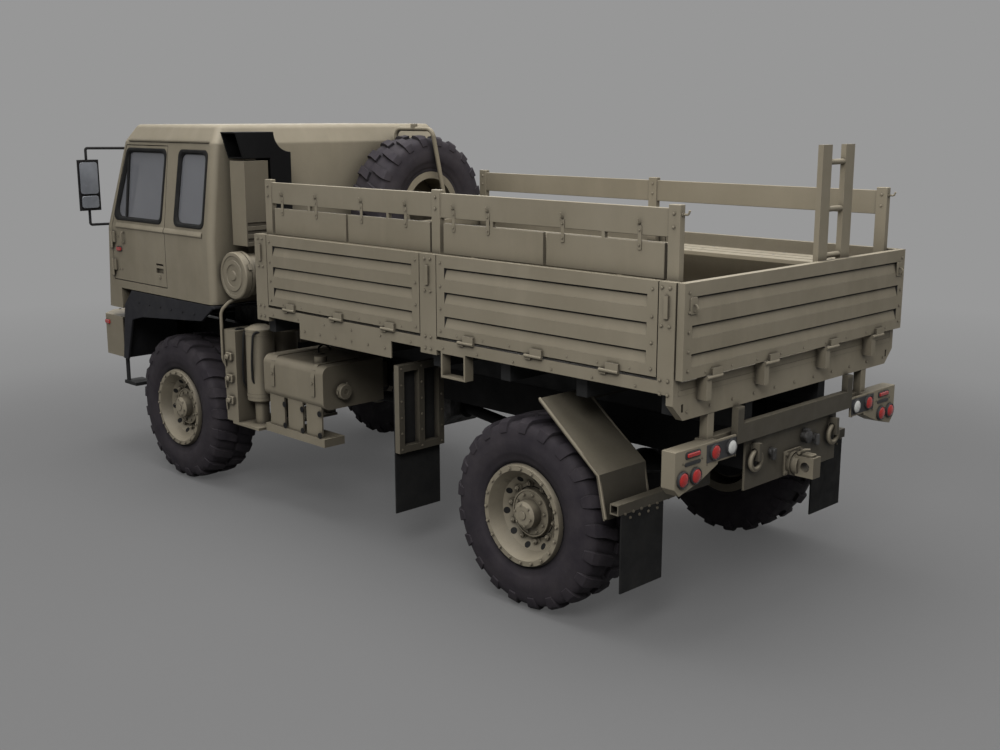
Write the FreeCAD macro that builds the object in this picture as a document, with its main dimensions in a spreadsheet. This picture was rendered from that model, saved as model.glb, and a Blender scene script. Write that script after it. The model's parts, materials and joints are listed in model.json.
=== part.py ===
# A four-wheel-drive cab-over cargo truck with a drop-side bed, built as its separate pieces.
# Millimetres and degrees. +X points forward, +Y to the truck's left, +Z up.
# The origin is on the ground under the middle of the truck's length.
import FreeCAD, Part
import Sketcher
import math
import os
import re

Vector = FreeCAD.Vector

# Driving sizes. Each becomes one aliased cell of the sheet that every piece is bound to.
SIZES = {
    # Fits
    "seat_gap": 0.3, "swing_gap": 7, "overrun": 60, "pin_gap": 0.5,
    # Axles and wheels
    "rear_axle_x": -1990, "wheel_base": 3900, "wheel_centre_y": 1007.5,
    "tyre_radius": 590, "tyre_half_width": 197.5, "tyre_bore_radius": 262, "tread_half_width": 165,
    "tyre_shoulder": 22, "lug_height": 26, "lug_gap": 28, "sidewall_bulge_radius": 430, "bead_half_width": 160, "bead_height": 58,
    "rim_barrel_wall": 20, "rim_flange_height": 34, "rim_flange_wall": 10,
    "rim_ring_radius": 316, "rim_ring_width": 38, "rim_disc_offset": 62, "rim_disc_wall": 16,
    "hub_radius": 150, "hub_length": 34, "hub_cap_radius": 88, "hub_cap_length": 70,
    "drum_radius": 205, "drum_inner_offset": 98, "backing_radius": 190, "backing_wall": 15,
    "spindle_radius": 40, "spindle_length": 170, "axle_tube_radius": 66, "diff_radius": 185,
    "diff_half_width": 130, "diff_nose_radius": 78, "diff_nose_length": 330,
    "kingpin_y": 800, "kingpin_radius": 25, "knuckle_boss_radius": 50, "knuckle_boss_half": 98,
    "chamber_radius": 78, "chamber_length": 150, "chamber_rise": 40, "rear_chamber_y": 610,
    "front_chamber_y": 545, "yoke_radius": 62, "yoke_arm": 40, "yoke_web": 36,
    # Chassis frame
    "rail_front_lead": 104, "rail_rear_x": -3050, "rail_outer_y": 430, "rail_flange": 75,
    "rail_bottom_z": 930, "rail_height": 230, "rail_wall": 8, "cross_width": 64, "cross_drop": 28,
    # Leaf springs
    "leaf_half_length": 620, "leaf_sag": 115, "leaf_wall": 22, "leaf_width": 74, "leaf_seat": 12,
    "eye_radius": 32, "hanger_wall": 12,
    # Engine, gearbox and shafts
    "engine_rear_x": 1220, "engine_front_x": 2420, "engine_half_width": 300, "engine_bottom_z": 870,
    "engine_top_z": 1450, "gearbox_length": 740, "gearbox_half_width": 190, "gearbox_height": 280,
    "transfer_x": -75, "transfer_half_length": 175, "transfer_half_width": 170, "transfer_height": 330,
    "shaft_radius": 42, "shaft_flange_radius": 72, "shaft_flange_wall": 16,
    # Bed
    "bed_rear_x": -3108, "bed_front_x": 754, "bed_half_width": 1169, "floor_top_z": 1550,
    "floor_wall": 50, "side_rail_height": 80, "side_rail_width": 60, "sill_height": 140,
    "sill_width": 80, "bed_beam_half_gap": 355, "gate_wall": 45, "gate_height": 508,
    "gate_rise": 22, "front_post_width": 144, "middle_post_x": -1067, "middle_post_width": 150,
    "rear_post_width": 108, "post_wall": 69, "post_foot_z": 1452, "groove_depth": 14,
    "groove_height": 70, "groove_pitch": 150, "groove_drop": 74, "groove_inset": 70,
    "latch_width": 26, "latch_height": 120, "latch_wall": 14, "latch_drop": 70,
    "gate_hinge_radius": 11, "gate_hinge_length": 90, "gate_hinge_rise": 11,
    "rear_sill_bottom_z": 1340, "rear_sill_wall": 46, "rear_sill_chamfer": 90,
    "apron_length": 1003, "apron_front_x": 230, "apron_bottom_z": 1372, "apron_wall": 10,
    "bracket_x": -1477, "bracket_length": 220, "bracket_height": 166, "bracket_wall": 14,
    # Racks, benches and ladder
    "rack_post_y": 1075, "rack_post_wall": 44, "rack_post_width": 76, "rack_post_top_z": 2470,
    "rack_board_drop": 20, "rack_board_height": 150, "rack_board_wall": 28,
    "seat_board_height": 190, "seat_board_gap": 24, "seat_board_drop": 32,
    "bench_top_z": 2005, "bench_wall": 30, "bench_inner_y": 700, "bench_leg": 40,
    "ladder_left_y": -180, "ladder_width": 355, "ladder_rail": 100, "ladder_rail_wall": 34,
    "ladder_top_z": 2750, "ladder_foot_rise": 60, "ladder_rung_radius": 17, "ladder_rung_rise": 221,
    "ladder_rung_drop": 100,
    # Cab
    "cab_rear_x": 1280, "cab_nose_x": 2956, "cab_belt_rake": 56, "cab_brow_rake": 291,
    "cab_skirt": 174, "cab_floor_z": 1500, "cab_step_inset": 45, "cab_belt_z": 2000,
    "cab_drip_z": 2710, "roof_rise": 140, "cab_half_width": 1220, "cab_lean": 80,
    "roof_lean": 80, "cab_wall": 40, "cab_corner": 55, "roof_bevel": 60, "roof_seam": 0.3,
    "door_front_inset": 156, "door_rear_x": 1950, "door_sill": 72, "door_top_drop": 28,
    "door_brow_inset": 65, "hinge_radius": 12, "hinge_length": 90, "hinge_stand_off": 16,
    "glass_wall": 5, "glass_inset": 18, "handle_inset": 40, "handle_width": 110, "handle_rise": 108,
    "handle_height": 75, "handle_depth": 20,
    "window_sill": 85, "window_top_edge": 37, "window_front_edge": 45, "window_brow_edge": 25,
    "window_rear_edge": 60, "quarter_post": 155, "quarter_inset": 110, "quarter_lean": 36,
    "screen_sill": 70, "screen_top_drop": 60, "screen_post": 90, "screen_side_inset": 135,
    "screen_top_inset": 100,
    "grille_half_width": 470, "grille_bottom_z": 1400, "grille_height": 330, "grille_wall": 24,
    "grille_slat": 16, "grille_frame": 34,
    "tilt_pivot_inset": 26, "tilt_pivot_z": 1270, "tilt_pin_radius": 20, "tilt_pin_y": 500,
    "tilt_ear": 40, "tilt_ear_radius": 40,
    # Cab inside
    "seat_width": 500, "seat_pitch": 720, "seat_setback": 160, "seat_depth": 520, "seat_cushion": 130,
    "seat_base_z": 1800, "seat_back_height": 620, "seat_back_wall": 120, "seat_post": 240,
    "dash_depth": 330, "dash_drop": 2, "dash_height": 300, "steering_ring_radius": 230,
    "steering_bar_radius": 16, "steering_inset": 686, "steering_z": 2130, "steering_y": 720,
    "steering_tilt": 38.5, "steering_column_radius": 28, "steering_column_length": 470,
    # Fenders, bumper and front steps
    "fender_rear_lap": 18, "fender_front_inset": 211, "fender_inner_y": 730, "fender_gap": 8,
    "fender_wall": 22, "fender_skirt": 150, "fender_front_bottom_z": 889, "fender_corner": 130,
    "bumper_lead": 254, "bumper_depth": 450, "bumper_top_z": 1240, "bumper_height": 350,
    "bumper_lip_drop": 165, "bumper_toe_inset": 150, "bumper_half_width": 1200, "bumper_wall": 12,
    "bumper_corner": 150, "headlamp_y": 900, "headlamp_drop": 82, "headlamp_radius": 74,
    "headlamp_depth": 40, "marker_radius": 34, "marker_y": 1060, "side_lamp_radius": 30,
    "step_front_inset": 116, "step_depth": 200, "step_z": 650, "step_wall": 28, "step_width": 165,
    "step_outer_y": 1175, "step_rod_radius": 11,
    # Mirrors
    "mirror_lead": 4, "mirror_y": 1330, "mirror_width": 190, "mirror_wall": 60, "mirror_rise": 140,
    "mirror_height": 420, "mirror_arm_radius": 11, "mirror_arm_drop": 55, "mirror_arm_rise": 20,
    # Fuel tank and side boxes
    "tank_rear_x": 60, "tank_length": 730, "tank_outer_y": 1110, "tank_width": 550,
    "tank_bottom_z": 860, "tank_height": 315, "tank_step_drop": 270, "tank_step_wall": 60,
    "strap_width": 46, "strap_wall": 5, "tank_bracket": 60,
    "battery_front_x": 10, "battery_length": 560, "battery_outer_y": 1050, "battery_bottom_z": 760,
    "battery_height": 400, "battery_width": 490,
    "air_tank_radius": 108, "air_tank_bottom_z": 770, "air_tank_height": 600, "air_tank_x": 950,
    "air_tank_y": 1030, "air_tank_pitch": 270, "side_base_z": 590, "side_base_front_x": 1150,
    "side_base_rear_x": 800, "side_base_wall": 20,
    "valve_box_rear_x": 1070, "valve_box_length": 155, "valve_box_bottom_z": 640,
    "valve_box_height": 680, "valve_box_outer_y": 1170, "valve_box_width": 210,
    # Air intake behind the cab
    "cleaner_radius": 176, "cleaner_x": 1085, "cleaner_z": 1740, "cleaner_outer_y": 1140,
    "cleaner_length": 620, "housing_rear_x": 1000, "housing_depth": 190, "housing_outer_y": 1070,
    "housing_width": 210, "housing_bottom_z": 1960, "housing_gap": 15,
    "duct_outer_y": 1130, "duct_width": 490, "duct_top_z": 2800, "duct_mouth_height": 195,
    "duct_rear_x": 1010, "duct_depth": 200, "duct_wall": 12, "duct_leg_bottom_z": 1950,
    "duct_leg_width": 190, "duct_bend": 150, "duct_slant": 60,
    # Exhaust on the right side
    "muffler_radius": 150, "muffler_x": 1000, "muffler_y": -1000, "muffler_bottom_z": 800,
    "muffler_height": 680, "stack_radius": 52, "stack_rise": 65,
    # Spare wheel and its carrier
    "spare_x": 1010, "spare_y": -625, "spare_z": 2170, "carrier_bar": 40, "carrier_foot_z": 1160,
    "davit_x": 785, "davit_top_z": 2810, "davit_front_gap": 32, "davit_drop": 340,
    "davit_outer_y": -600, "davit_hook_reach": 145, "davit_bend": 60,
    # Mudguards and flaps
    "guard_x": -790, "guard_width": 397, "guard_outer_y": 1142, "guard_top_z": 1320,
    "guard_height": 595, "guard_bar": 46, "guard_flap_z": 300, "flap_wall": 12,
    "mud_top_x": -2130, "mud_top_z": 1330, "mud_knee_x": -2585, "mud_knee_z": 960,
    "mud_low_x": -2640, "mud_low_z": 715, "mud_wall": 12, "mud_width": 405, "mud_outer_y": 1205,
    "mud_bar": 60, "mud_bar_x": -2735, "mud_bar_z": 765, "rear_flap_bottom_z": 300,
    # Rear lamps and towing
    "lamp_box_x": -3000, "lamp_box_outer_y": 1180, "lamp_box_width": 390, "lamp_box_bottom_z": 940,
    "lamp_box_height": 250, "lamp_box_depth": 90, "lamp_radius": 44, "lamp_wall": 14,
    "tow_bar_x": -3108, "tow_bar_depth": 56, "tow_bar_half_width": 600, "tow_bar_bottom_z": 1130,
    "tow_bar_height": 110, "tow_post": 60, "tow_post_y": 560,
    "shackle_y": 420, "shackle_z": 1050, "shackle_ring_radius": 52, "shackle_bar_radius": 15,
    "shackle_lug": 70, "shackle_bore_radius": 20,
    "pintle_z": 895, "pintle_radius": 62, "pintle_rear_x": -3235, "pintle_jaw": 40,
    "pintle_throat_radius": 30, "pintle_plate": 260,
}

LADDER_RUNGS = 4

# Places that follow from the sizes; a formula may use another place
PLACES = {
    "rail_front_x": "cab_nose_x + rail_front_lead",
    "bumper_front_x": "cab_nose_x + bumper_lead",
    "fender_front_x": "cab_nose_x - fender_front_inset",
    "step_front_x": "cab_nose_x - step_front_inset",
    "ladder_rung_pitch": "(ladder_top_z - ladder_foot_z - ladder_rung_drop - ladder_rung_rise)/%d"
                         % (LADDER_RUNGS - 1),
    "cab_belt_x": "cab_nose_x - cab_belt_rake",
    "cab_brow_x": "cab_nose_x - cab_brow_rake",
    "door_front_x": "cab_nose_x - door_front_inset",
    "door_brow_x": "cab_brow_x - door_brow_inset",
    "window_front_x": "door_front_x - window_front_edge",
    "window_brow_x": "door_brow_x - window_brow_edge",
    "window_rear_x": "door_rear_x + window_rear_edge",
    "quarter_front_x": "door_rear_x - quarter_post",
    "quarter_rear_x": "cab_rear_x + quarter_inset",
    "tilt_pivot_x": "cab_nose_x - tilt_pivot_inset",
    "mirror_x": "cab_nose_x + mirror_lead",
    "seat_rear_x": "cab_rear_x + seat_setback",
    "steering_x": "cab_nose_x - steering_inset",
    "cab_step_x": "fender_front_x - cab_step_inset",
    "fender_rear_x": "cab_rear_x - fender_rear_lap",
    "cab_roof_z": "cab_drip_z + roof_rise",
    "door_top_z": "cab_drip_z - door_top_drop",
    "window_top_z": "door_top_z - window_top_edge",
    "screen_top_z": "cab_drip_z - screen_top_drop",
    "window_bottom_z": "cab_belt_z + window_sill",
    "screen_bottom_z": "cab_belt_z + screen_sill",
    "mirror_arm_top_z": "cab_drip_z - mirror_arm_drop",
    "mirror_arm_low_z": "cab_belt_z + mirror_arm_rise",
    "mirror_bottom_z": "cab_belt_z + mirror_rise",
    "dash_top_z": "cab_belt_z - dash_drop",
    "door_bottom_z": "cab_floor_z + door_sill",
    "cab_bottom_z": "cab_floor_z - cab_skirt",
    "fender_top_z": "cab_floor_z - fender_gap",
    "cab_drip_half_width": "cab_half_width - cab_lean",
    "cab_crest_half_width": "cab_drip_half_width - roof_lean",
    "screen_outer_y": "cab_half_width - screen_side_inset",
    "screen_outer_top_y": "cab_drip_half_width - screen_top_inset",
    "gate_bottom_z": "floor_top_z + gate_rise",
    "gate_hinge_z": "floor_top_z + gate_hinge_rise",
    "gate_top_z": "gate_bottom_z + gate_height",
    "rack_board_top_z": "rack_post_top_z - rack_board_drop",
    "ladder_foot_z": "floor_top_z + ladder_foot_rise",
    "ladder_right_y": "ladder_left_y - ladder_width",
    "duct_mouth_z": "duct_top_z - duct_mouth_height",
    "housing_top_z": "duct_mouth_z - housing_gap",
    "duct_inner_y": "duct_outer_y - duct_width",
    "duct_front_x": "duct_rear_x + duct_depth",
    "bumper_toe_x": "bumper_front_x - bumper_toe_inset",
    "bumper_rear_x": "bumper_front_x - bumper_depth",
    "bumper_bottom_z": "bumper_top_z - bumper_height",
    "bumper_lip_z": "bumper_top_z - bumper_lip_drop",
    "headlamp_z": "bumper_top_z - headlamp_drop",
    "step_rear_x": "step_front_x - step_depth",
    "step_inner_y": "step_outer_y - step_width",
    "tank_front_x": "tank_rear_x + tank_length",
    "tank_inner_y": "tank_outer_y - tank_width",
    "tank_top_z": "tank_bottom_z + tank_height",
    "tank_step_z": "tank_bottom_z - tank_step_drop",
    "battery_inner_y": "battery_outer_y - battery_width",
    "battery_top_z": "battery_bottom_z + battery_height",
    "housing_front_x": "housing_rear_x + housing_depth",
    "housing_inner_y": "housing_outer_y - housing_width",
    "valve_box_front_x": "valve_box_rear_x + valve_box_length",
    "valve_box_inner_y": "valve_box_outer_y - valve_box_width",
    "valve_box_top_z": "valve_box_bottom_z + valve_box_height",
    "air_tank_top_z": "air_tank_bottom_z + air_tank_height",
    "muffler_top_z": "muffler_bottom_z + muffler_height",
    "stack_top_z": "muffler_top_z + stack_rise",
    "davit_low_y": "davit_outer_y - davit_hook_reach",
    "davit_front_x": "spare_x + tyre_half_width + davit_front_gap",
    "davit_end_z": "davit_top_z - davit_drop",
    "guard_inner_y": "guard_outer_y - guard_width",
    "guard_bottom_z": "guard_top_z - guard_height",
    "mud_inner_y": "mud_outer_y - mud_width",
    "lamp_box_inner_y": "lamp_box_outer_y - lamp_box_width",
    "lamp_box_top_z": "lamp_box_bottom_z + lamp_box_height",
    "tow_bar_top_z": "tow_bar_bottom_z + tow_bar_height",
}

FRONT_AXLE_X = "(rear_axle_x + wheel_base)"
RAIL_TOP_Z = "(rail_bottom_z + rail_height)"
RAIL_WEB_Y = "(rail_outer_y - rail_wall)"
FLOOR_BOTTOM_Z = "(floor_top_z - floor_wall)"
SILL_BOTTOM_Z = "(%s - sill_height)" % FLOOR_BOTTOM_Z
BACKING_Y = "(wheel_centre_y - drum_inner_offset - swing_gap - backing_wall)"
FRONT_POST_X = "(bed_front_x - front_post_width)"
MIDDLE_POST_REAR_X = "(middle_post_x - middle_post_width)"
REAR_POST_FRONT_X = "(bed_rear_x + gate_wall + swing_gap + rear_post_width)"
GATE_INNER_Y = "(bed_half_width - gate_wall)"
HINGE_Y = "(bed_half_width + gate_hinge_radius)"
RACK_OUTER_Y = "(rack_post_y + rack_post_wall/2)"
RACK_INNER_Y = "(rack_post_y - rack_post_wall/2)"

doc = FreeCAD.newDocument("CargoTruck")
sheet = doc.addObject("Spreadsheet::Sheet", "Sizes")
for row, (alias, size) in enumerate(SIZES.items(), 1):
    sheet.set("A%d" % row, alias)
    sheet.set("B%d" % row, str(size))
    sheet.setAlias("B%d" % row, alias)
doc.recompute()

ALIAS = re.compile(r"\b(%s)\b" % "|".join(SIZES))
PLACE = re.compile(r"\b(%s)\b" % "|".join(PLACES))
PLANES = {"XY": "XY_Plane", "XZ": "XZ_Plane", "YZ": "YZ_Plane"}
AXIS_TURNS = {
    "X": FreeCAD.Rotation(Vector(0, 1, 0), 90),
    "Y": FreeCAD.Rotation(Vector(1, 0, 0), -90),
    "Z": FreeCAD.Rotation(),
}
nodes = {}


def spelled(text):
    """An expression with each worked-out place written in the sizes that it follows."""
    text = str(text)
    while PLACE.search(text):
        text = PLACE.sub(lambda found: "(%s)" % PLACES[found.group(1)], text)
    return text


def bound(text):
    """An expression in sheet names, as the document's expression engine reads it."""
    return ALIAS.sub(lambda found: "Sizes." + found.group(1), spelled(text))


def number(text):
    """The present value of an expression in sheet names."""
    value = sheet.evalExpression(spelled(text))
    return float(getattr(value, "Value", value))


def point(x, y, z):
    return Vector(number(x), number(y), number(z))


def seat(piece, x, y, z):
    """Binds where a piece's own origin lies."""
    for axis, text in zip("xyz", (x, y, z)):
        piece.setExpression("Placement.Base." + axis, bound(text))


def length(low, high):
    return "(%s) - (%s)" % (high, low)


def block(name, xs, ys, zs):
    """A box over three spans, each (low, high)."""
    box = doc.addObject("Part::Box", name)
    for side, (low, high) in zip(("Length", "Width", "Height"), (xs, ys, zs)):
        box.setExpression(side, bound(length(low, high)))
    seat(box, xs[0], ys[0], zs[0])
    return box


def rod(name, axis, along, place, radius):
    """A round bar along one axis; place is its two other coordinates in X, Y, Z order."""
    bar = doc.addObject("Part::Cylinder", name)
    bar.setExpression("Radius", bound(radius))
    bar.setExpression("Height", bound(length(*along)))
    bar.Placement = FreeCAD.Placement(Vector(), AXIS_TURNS[axis])
    foot = list(place)
    foot.insert("XYZ".index(axis), along[0])
    seat(bar, *foot)
    return bar


def arc_between(start, end, radius, side):
    """The short arc from start to end that bulges to the named side of the way there."""
    chord = end.sub(start)
    rise = math.sqrt(max(radius ** 2 - (chord.Length / 2) ** 2, 0))
    left = Vector(-chord.y, chord.x, 0).normalize()
    inward = left.negative() if side == "left" else left
    centre = start.add(end).multiply(0.5).add(inward.multiply(rise))
    turns = [math.atan2(p.y - centre.y, p.x - centre.x) for p in (start, end)]
    first, last = turns if side == "right" else turns[::-1]
    if last < first:
        last += 2 * math.pi
    circle = Part.Circle(centre, Vector(0, 0, 1), radius)
    return Part.ArcOfCircle(circle, first, last)


def draw_loop(sketch, outline):
    """Draws one closed outline. A point is (x, y), or (x, y, radius, side) where an arc leaves it."""
    places = [Vector(number(p[0]), number(p[1]), 0) for p in outline]
    first = sketch.GeometryCount
    ends = []
    for index, spot in enumerate(outline):
        start = places[index]
        end = places[(index + 1) % len(places)]
        if len(spot) == 4:
            sketch.addGeometry(arc_between(start, end, number(spot[2]), spot[3]), False)
            ends.append((1, 2) if spot[3] == "right" else (2, 1))
        else:
            sketch.addGeometry(Part.LineSegment(start, end), False)
            ends.append((1, 2))
    for index, spot in enumerate(outline):
        after = (index + 1) % len(outline)
        line = first + index
        sketch.addConstraint(Sketcher.Constraint("Coincident", line, ends[index][1],
                                                 first + after, ends[after][0]))
        for way, text, place in (("DistanceX", spot[0], places[index].x),
                                 ("DistanceY", spot[1], places[index].y)):
            rule = sketch.addConstraint(Sketcher.Constraint(way, -1, 1, line, ends[index][0], place))
            sketch.setExpression("Constraints[%d]" % rule, bound(text))
        if len(spot) == 4:
            rule = sketch.addConstraint(Sketcher.Constraint("Radius", line, number(spot[2])))
            sketch.setExpression("Constraints[%d]" % rule, bound(spot[2]))


def sketched_body(name, plane, outline, holes):
    body = doc.addObject("PartDesign::Body", name)
    sketch = body.newObject("Sketcher::SketchObject", name + "_outline")
    origin_plane = [o for o in body.Origin.OriginFeatures if o.Role == PLANES[plane]][0]
    sketch.AttachmentSupport = [(origin_plane, "")]
    sketch.MapMode = "FlatFace"
    draw_loop(sketch, outline)
    for hole in holes:
        draw_loop(sketch, hole)
    return body, sketch


def plate(name, plane, outline, span, holes=()):
    """An outline on a plane, padded over a span of the third axis."""
    body, sketch = sketched_body(name, plane, outline, holes)
    pad = body.newObject("PartDesign::Pad", name + "_pad")
    pad.Profile = sketch
    pad.setExpression("Length", bound(length(*span)))
    if plane == "XZ":
        seat(body, "0", span[1], "0")
    elif plane == "XY":
        seat(body, "0", "0", span[0])
    else:
        seat(body, span[0], "0", "0")
    return body


def turned(name, axis, outline, place):
    """A profile of (along, radius) points turned round an axis through place."""
    plane = "YZ" if axis == "Y" else "XZ"
    if axis == "Z":
        outline = [(radius, along) for along, radius in outline]
    body, sketch = sketched_body(name, plane, outline, ())
    turn = body.newObject("PartDesign::Revolution", name + "_turn")
    turn.Profile = sketch
    turn.ReferenceAxis = (sketch, ["V_Axis" if axis == "Z" else "H_Axis"])
    turn.Angle = 360
    seat(body, *place)
    return body


def bent_bar(name, stops, radius, bend="0"):
    """A round bar through straight runs, its corners rounded to the bend radius."""
    spots = [point(*stop) for stop in stops]
    reach = number(bend)
    edges = []
    here = spots[0]
    for before, corner, after in zip(spots, spots[1:], spots[2:]):
        back = before.sub(corner).normalize()
        ahead = after.sub(corner).normalize()
        half = back.getAngle(ahead) / 2
        cut_back = reach / math.tan(half)
        enter = corner.add(Vector(back).multiply(cut_back))
        leave = corner.add(Vector(ahead).multiply(cut_back))
        middle = Vector(back).add(ahead).normalize()
        crown = corner.add(middle.multiply(reach / math.sin(half) - reach))
        edges += [Part.makeLine(here, enter), Part.Arc(enter, crown, leave).toShape()]
        here = leave
    edges.append(Part.makeLine(here, spots[-1]))
    path = Part.Wire(edges)
    ring = Part.Wire(Part.makeCircle(number(radius), spots[0], spots[1].sub(spots[0])))
    bar = doc.addObject("Part::Feature", name)
    bar.Shape = path.makePipeShell([ring], True, False)
    return bar


def fused(name, pieces):
    if len(pieces) == 1:
        return pieces[0]
    whole = doc.addObject("Part::MultiFuse", name)
    whole.Shapes = pieces
    return whole


def common(name, one, other):
    shared = doc.addObject("Part::Common", name)
    shared.Base = one
    shared.Tool = other
    return shared


def cut(name, base, tools):
    """The base less each tool."""
    rest = doc.addObject("Part::Cut", name)
    rest.Base = base
    rest.Tool = fused(name + "_tools", tools)
    return rest


def rounded(name, base, radius, chosen):
    """The base with its chosen edges rounded; chosen judges an edge by its middle."""
    doc.recompute()
    reach = number(radius)
    fillet = doc.addObject("Part::Fillet", name)
    fillet.Base = base
    fillet.Edges = [(n, reach, reach) for n, edge in enumerate(base.Shape.Edges, 1)
                    if chosen(edge.CenterOfMass)]
    return fillet


def mirrored(name, piece):
    """The piece on the truck's other side."""
    twin = doc.addObject("Part::Mirroring", name)
    twin.Source = piece
    twin.Normal = Vector(0, 1, 0)
    return twin


def together(name, pieces):
    """Like pieces that do not touch, as one node."""
    group = doc.addObject("Part::Compound", name)
    group.Links = pieces
    return group


def both_sides(name, piece):
    return together(name, [piece, mirrored(name + "_right_side", piece)])


def node(name, piece):
    piece.Label = name
    nodes[name] = piece
    return piece


def rail_outline(side):
    """A channel section open towards the truck's middle; side is 1 on the left, -1 on the right."""
    web, flange = "(%d*rail_outer_y)" % side, "(%d*(rail_outer_y - rail_flange))" % side
    inner = "(%d*%s)" % (side, RAIL_WEB_Y)
    low, high = "rail_bottom_z", RAIL_TOP_Z
    return [(web, low), (web, high), (flange, high), (flange, high + " - rail_wall"),
            (inner, high + " - rail_wall"), (inner, low + " + rail_wall"), (flange, low + " + rail_wall"),
            (flange, low)]


def cross_member(name, rear_x):
    """A channel across the frame, open to the front."""
    low, high = "(rail_bottom_z + cross_drop)", "(%s - cross_drop)" % RAIL_TOP_Z
    rear, front = rear_x, "(%s + cross_width)" % rear_x
    skin = rear + " + rail_wall"
    outline = [(rear, low), (front, low), (front, low + " + rail_wall"), (skin, low + " + rail_wall"),
               (skin, high + " - rail_wall"), (front, high + " - rail_wall"), (front, high), (rear, high)]
    return plate(name, "XZ", outline, ("-" + RAIL_WEB_Y, RAIL_WEB_Y))


def chassis_frame():
    span = ("rail_rear_x", "rail_front_x")
    rails = [plate("rail_left", "YZ", rail_outline(1), span),
             plate("rail_right", "YZ", rail_outline(-1), span)]
    places = ["rail_rear_x", "(rear_axle_x + leaf_half_length)", "(transfer_x - cross_width/2)",
              "(engine_rear_x - gearbox_length - 2.5*cross_width)", "(rail_front_x - 2*cross_width)",
              "(rear_axle_x - leaf_half_length)"]
    members = [cross_member("cross_member_%d" % n, x) for n, x in enumerate(places, 1)]
    eyes = []
    for tag, ys in (("left", ("rail_outer_y - tilt_ear", "rail_outer_y")),
                    ("right", ("-rail_outer_y", "-(rail_outer_y - tilt_ear)"))):
        eyes.append(block("tilt_ear_" + tag, ("tilt_pivot_x - tilt_ear_radius", "tilt_pivot_x + tilt_ear_radius"),
                          ys, (RAIL_TOP_Z, "tilt_pivot_z")))
        eyes.append(rod("tilt_ear_end_" + tag, "Y", ys, ("tilt_pivot_x", "tilt_pivot_z"), "tilt_ear_radius"))
        eyes.append(block("cab_mount_" + tag, ("cab_rear_x + cross_drop", "cab_rear_x + cross_drop + cross_width"),
                          ys, (RAIL_TOP_Z, "cab_floor_z - seat_gap")))
    bore = rod("tilt_bore", "Y", ("-rail_outer_y - overrun", "rail_outer_y + overrun"),
               ("tilt_pivot_x", "tilt_pivot_z"), "tilt_pin_radius + pin_gap")
    whole = fused("frame_members", rails + members + eyes)
    node("chassis_frame", cut("frame", whole, [bore]))


def leaf(name, centre_x, share, layer):
    """One curved leaf: half its length is a share of the main leaf's, layers stack downwards."""
    radius = "((leaf_half_length^2 + leaf_sag^2)/(2*leaf_sag))"
    crown_z = "(tyre_radius + axle_tube_radius + leaf_seat + 3*leaf_wall)"
    half = "(leaf_half_length*%s)" % share
    upper = "(%s + %d*leaf_wall)" % (radius, layer - 1)
    lower = "(%s + %d*leaf_wall)" % (radius, layer)
    centre_z = "(%s + %s)" % (crown_z, radius)
    high = "(%s - sqrt(%s^2 - %s^2))" % (centre_z, upper, half)
    low = "(%s - sqrt(%s^2 - %s^2))" % (centre_z, lower, half)
    outline = [("%s - %s" % (centre_x, half), low, lower, "right"),
               ("%s + %s" % (centre_x, half), low),
               ("%s + %s" % (centre_x, half), high, upper, "left"),
               ("%s - %s" % (centre_x, half), high)]
    span = ("rail_outer_y - leaf_width", "rail_outer_y")
    return plate(name, "XZ", outline, span)


LEAF_SHARES = (1, 0.74, 0.46)


def spring_pack(name, centre_x):
    """A stack of leaves, its eyes and the hangers that carry them under the rail."""
    pieces = [leaf("%s_leaf_%d" % (name, n), centre_x, share, n)
              for n, share in enumerate(LEAF_SHARES, 1)]
    radius = "((leaf_half_length^2 + leaf_sag^2)/(2*leaf_sag))"
    eye_z = "(tyre_radius + axle_tube_radius + leaf_seat + 3*leaf_wall + leaf_sag)"
    for end in (-1, 1):
        eye_x = "(%s + %d*leaf_half_length)" % (centre_x, end)
        tag = "%s_%s" % (name, "front" if end > 0 else "rear")
        pieces.append(rod(tag + "_eye", "Y", ("rail_outer_y - leaf_width", "rail_outer_y"),
                          (eye_x, eye_z), "eye_radius"))
        hanger = [(eye_x + " - 1.6*eye_radius", "rail_bottom_z"), (eye_x + " - eye_radius", eye_z),
                  (eye_x + " + eye_radius", eye_z), (eye_x + " + 1.6*eye_radius", "rail_bottom_z")]
        for cheek, low in (("inner", "rail_outer_y - leaf_width"), ("outer", "rail_outer_y - hanger_wall")):
            pieces.append(plate("%s_%s_cheek" % (tag, cheek), "XZ", hanger,
                                (low, low + " + hanger_wall")))
    pieces.append(block(name + "_seat", (centre_x + " - axle_tube_radius", centre_x + " + axle_tube_radius"),
                        ("rail_outer_y - leaf_width", "rail_outer_y"),
                        ("tyre_radius + axle_tube_radius + seat_gap",
                         "tyre_radius + axle_tube_radius + leaf_seat + leaf_wall/2")))
    return fused(name, pieces)


def leaf_springs():
    packs = [spring_pack("front_spring", FRONT_AXLE_X), spring_pack("rear_spring", "rear_axle_x")]
    packs += [mirrored(pack.Name + "_twin", pack) for pack in packs]
    node("leaf_springs", together("spring_packs", packs))


def axle_beam(name, centre_x, end_y):
    """The axle tube with the gear bowl in its middle and the drive nose behind or ahead of it."""
    tube = rod(name + "_tube", "Y", ("-" + end_y, end_y), (centre_x, "tyre_radius"), "axle_tube_radius")
    bowl_outline = [("-diff_half_width", "0"), ("-diff_half_width", "diff_radius/2"),
                    ("-diff_half_width/2", "diff_radius*0.92"), ("0", "diff_radius"),
                    ("diff_half_width/2", "diff_radius*0.92"), ("diff_half_width", "diff_radius/2"),
                    ("diff_half_width", "0")]
    bowl = turned(name + "_bowl", "Y", bowl_outline, (centre_x, "0", "tyre_radius"))
    return [tube, bowl]


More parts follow.
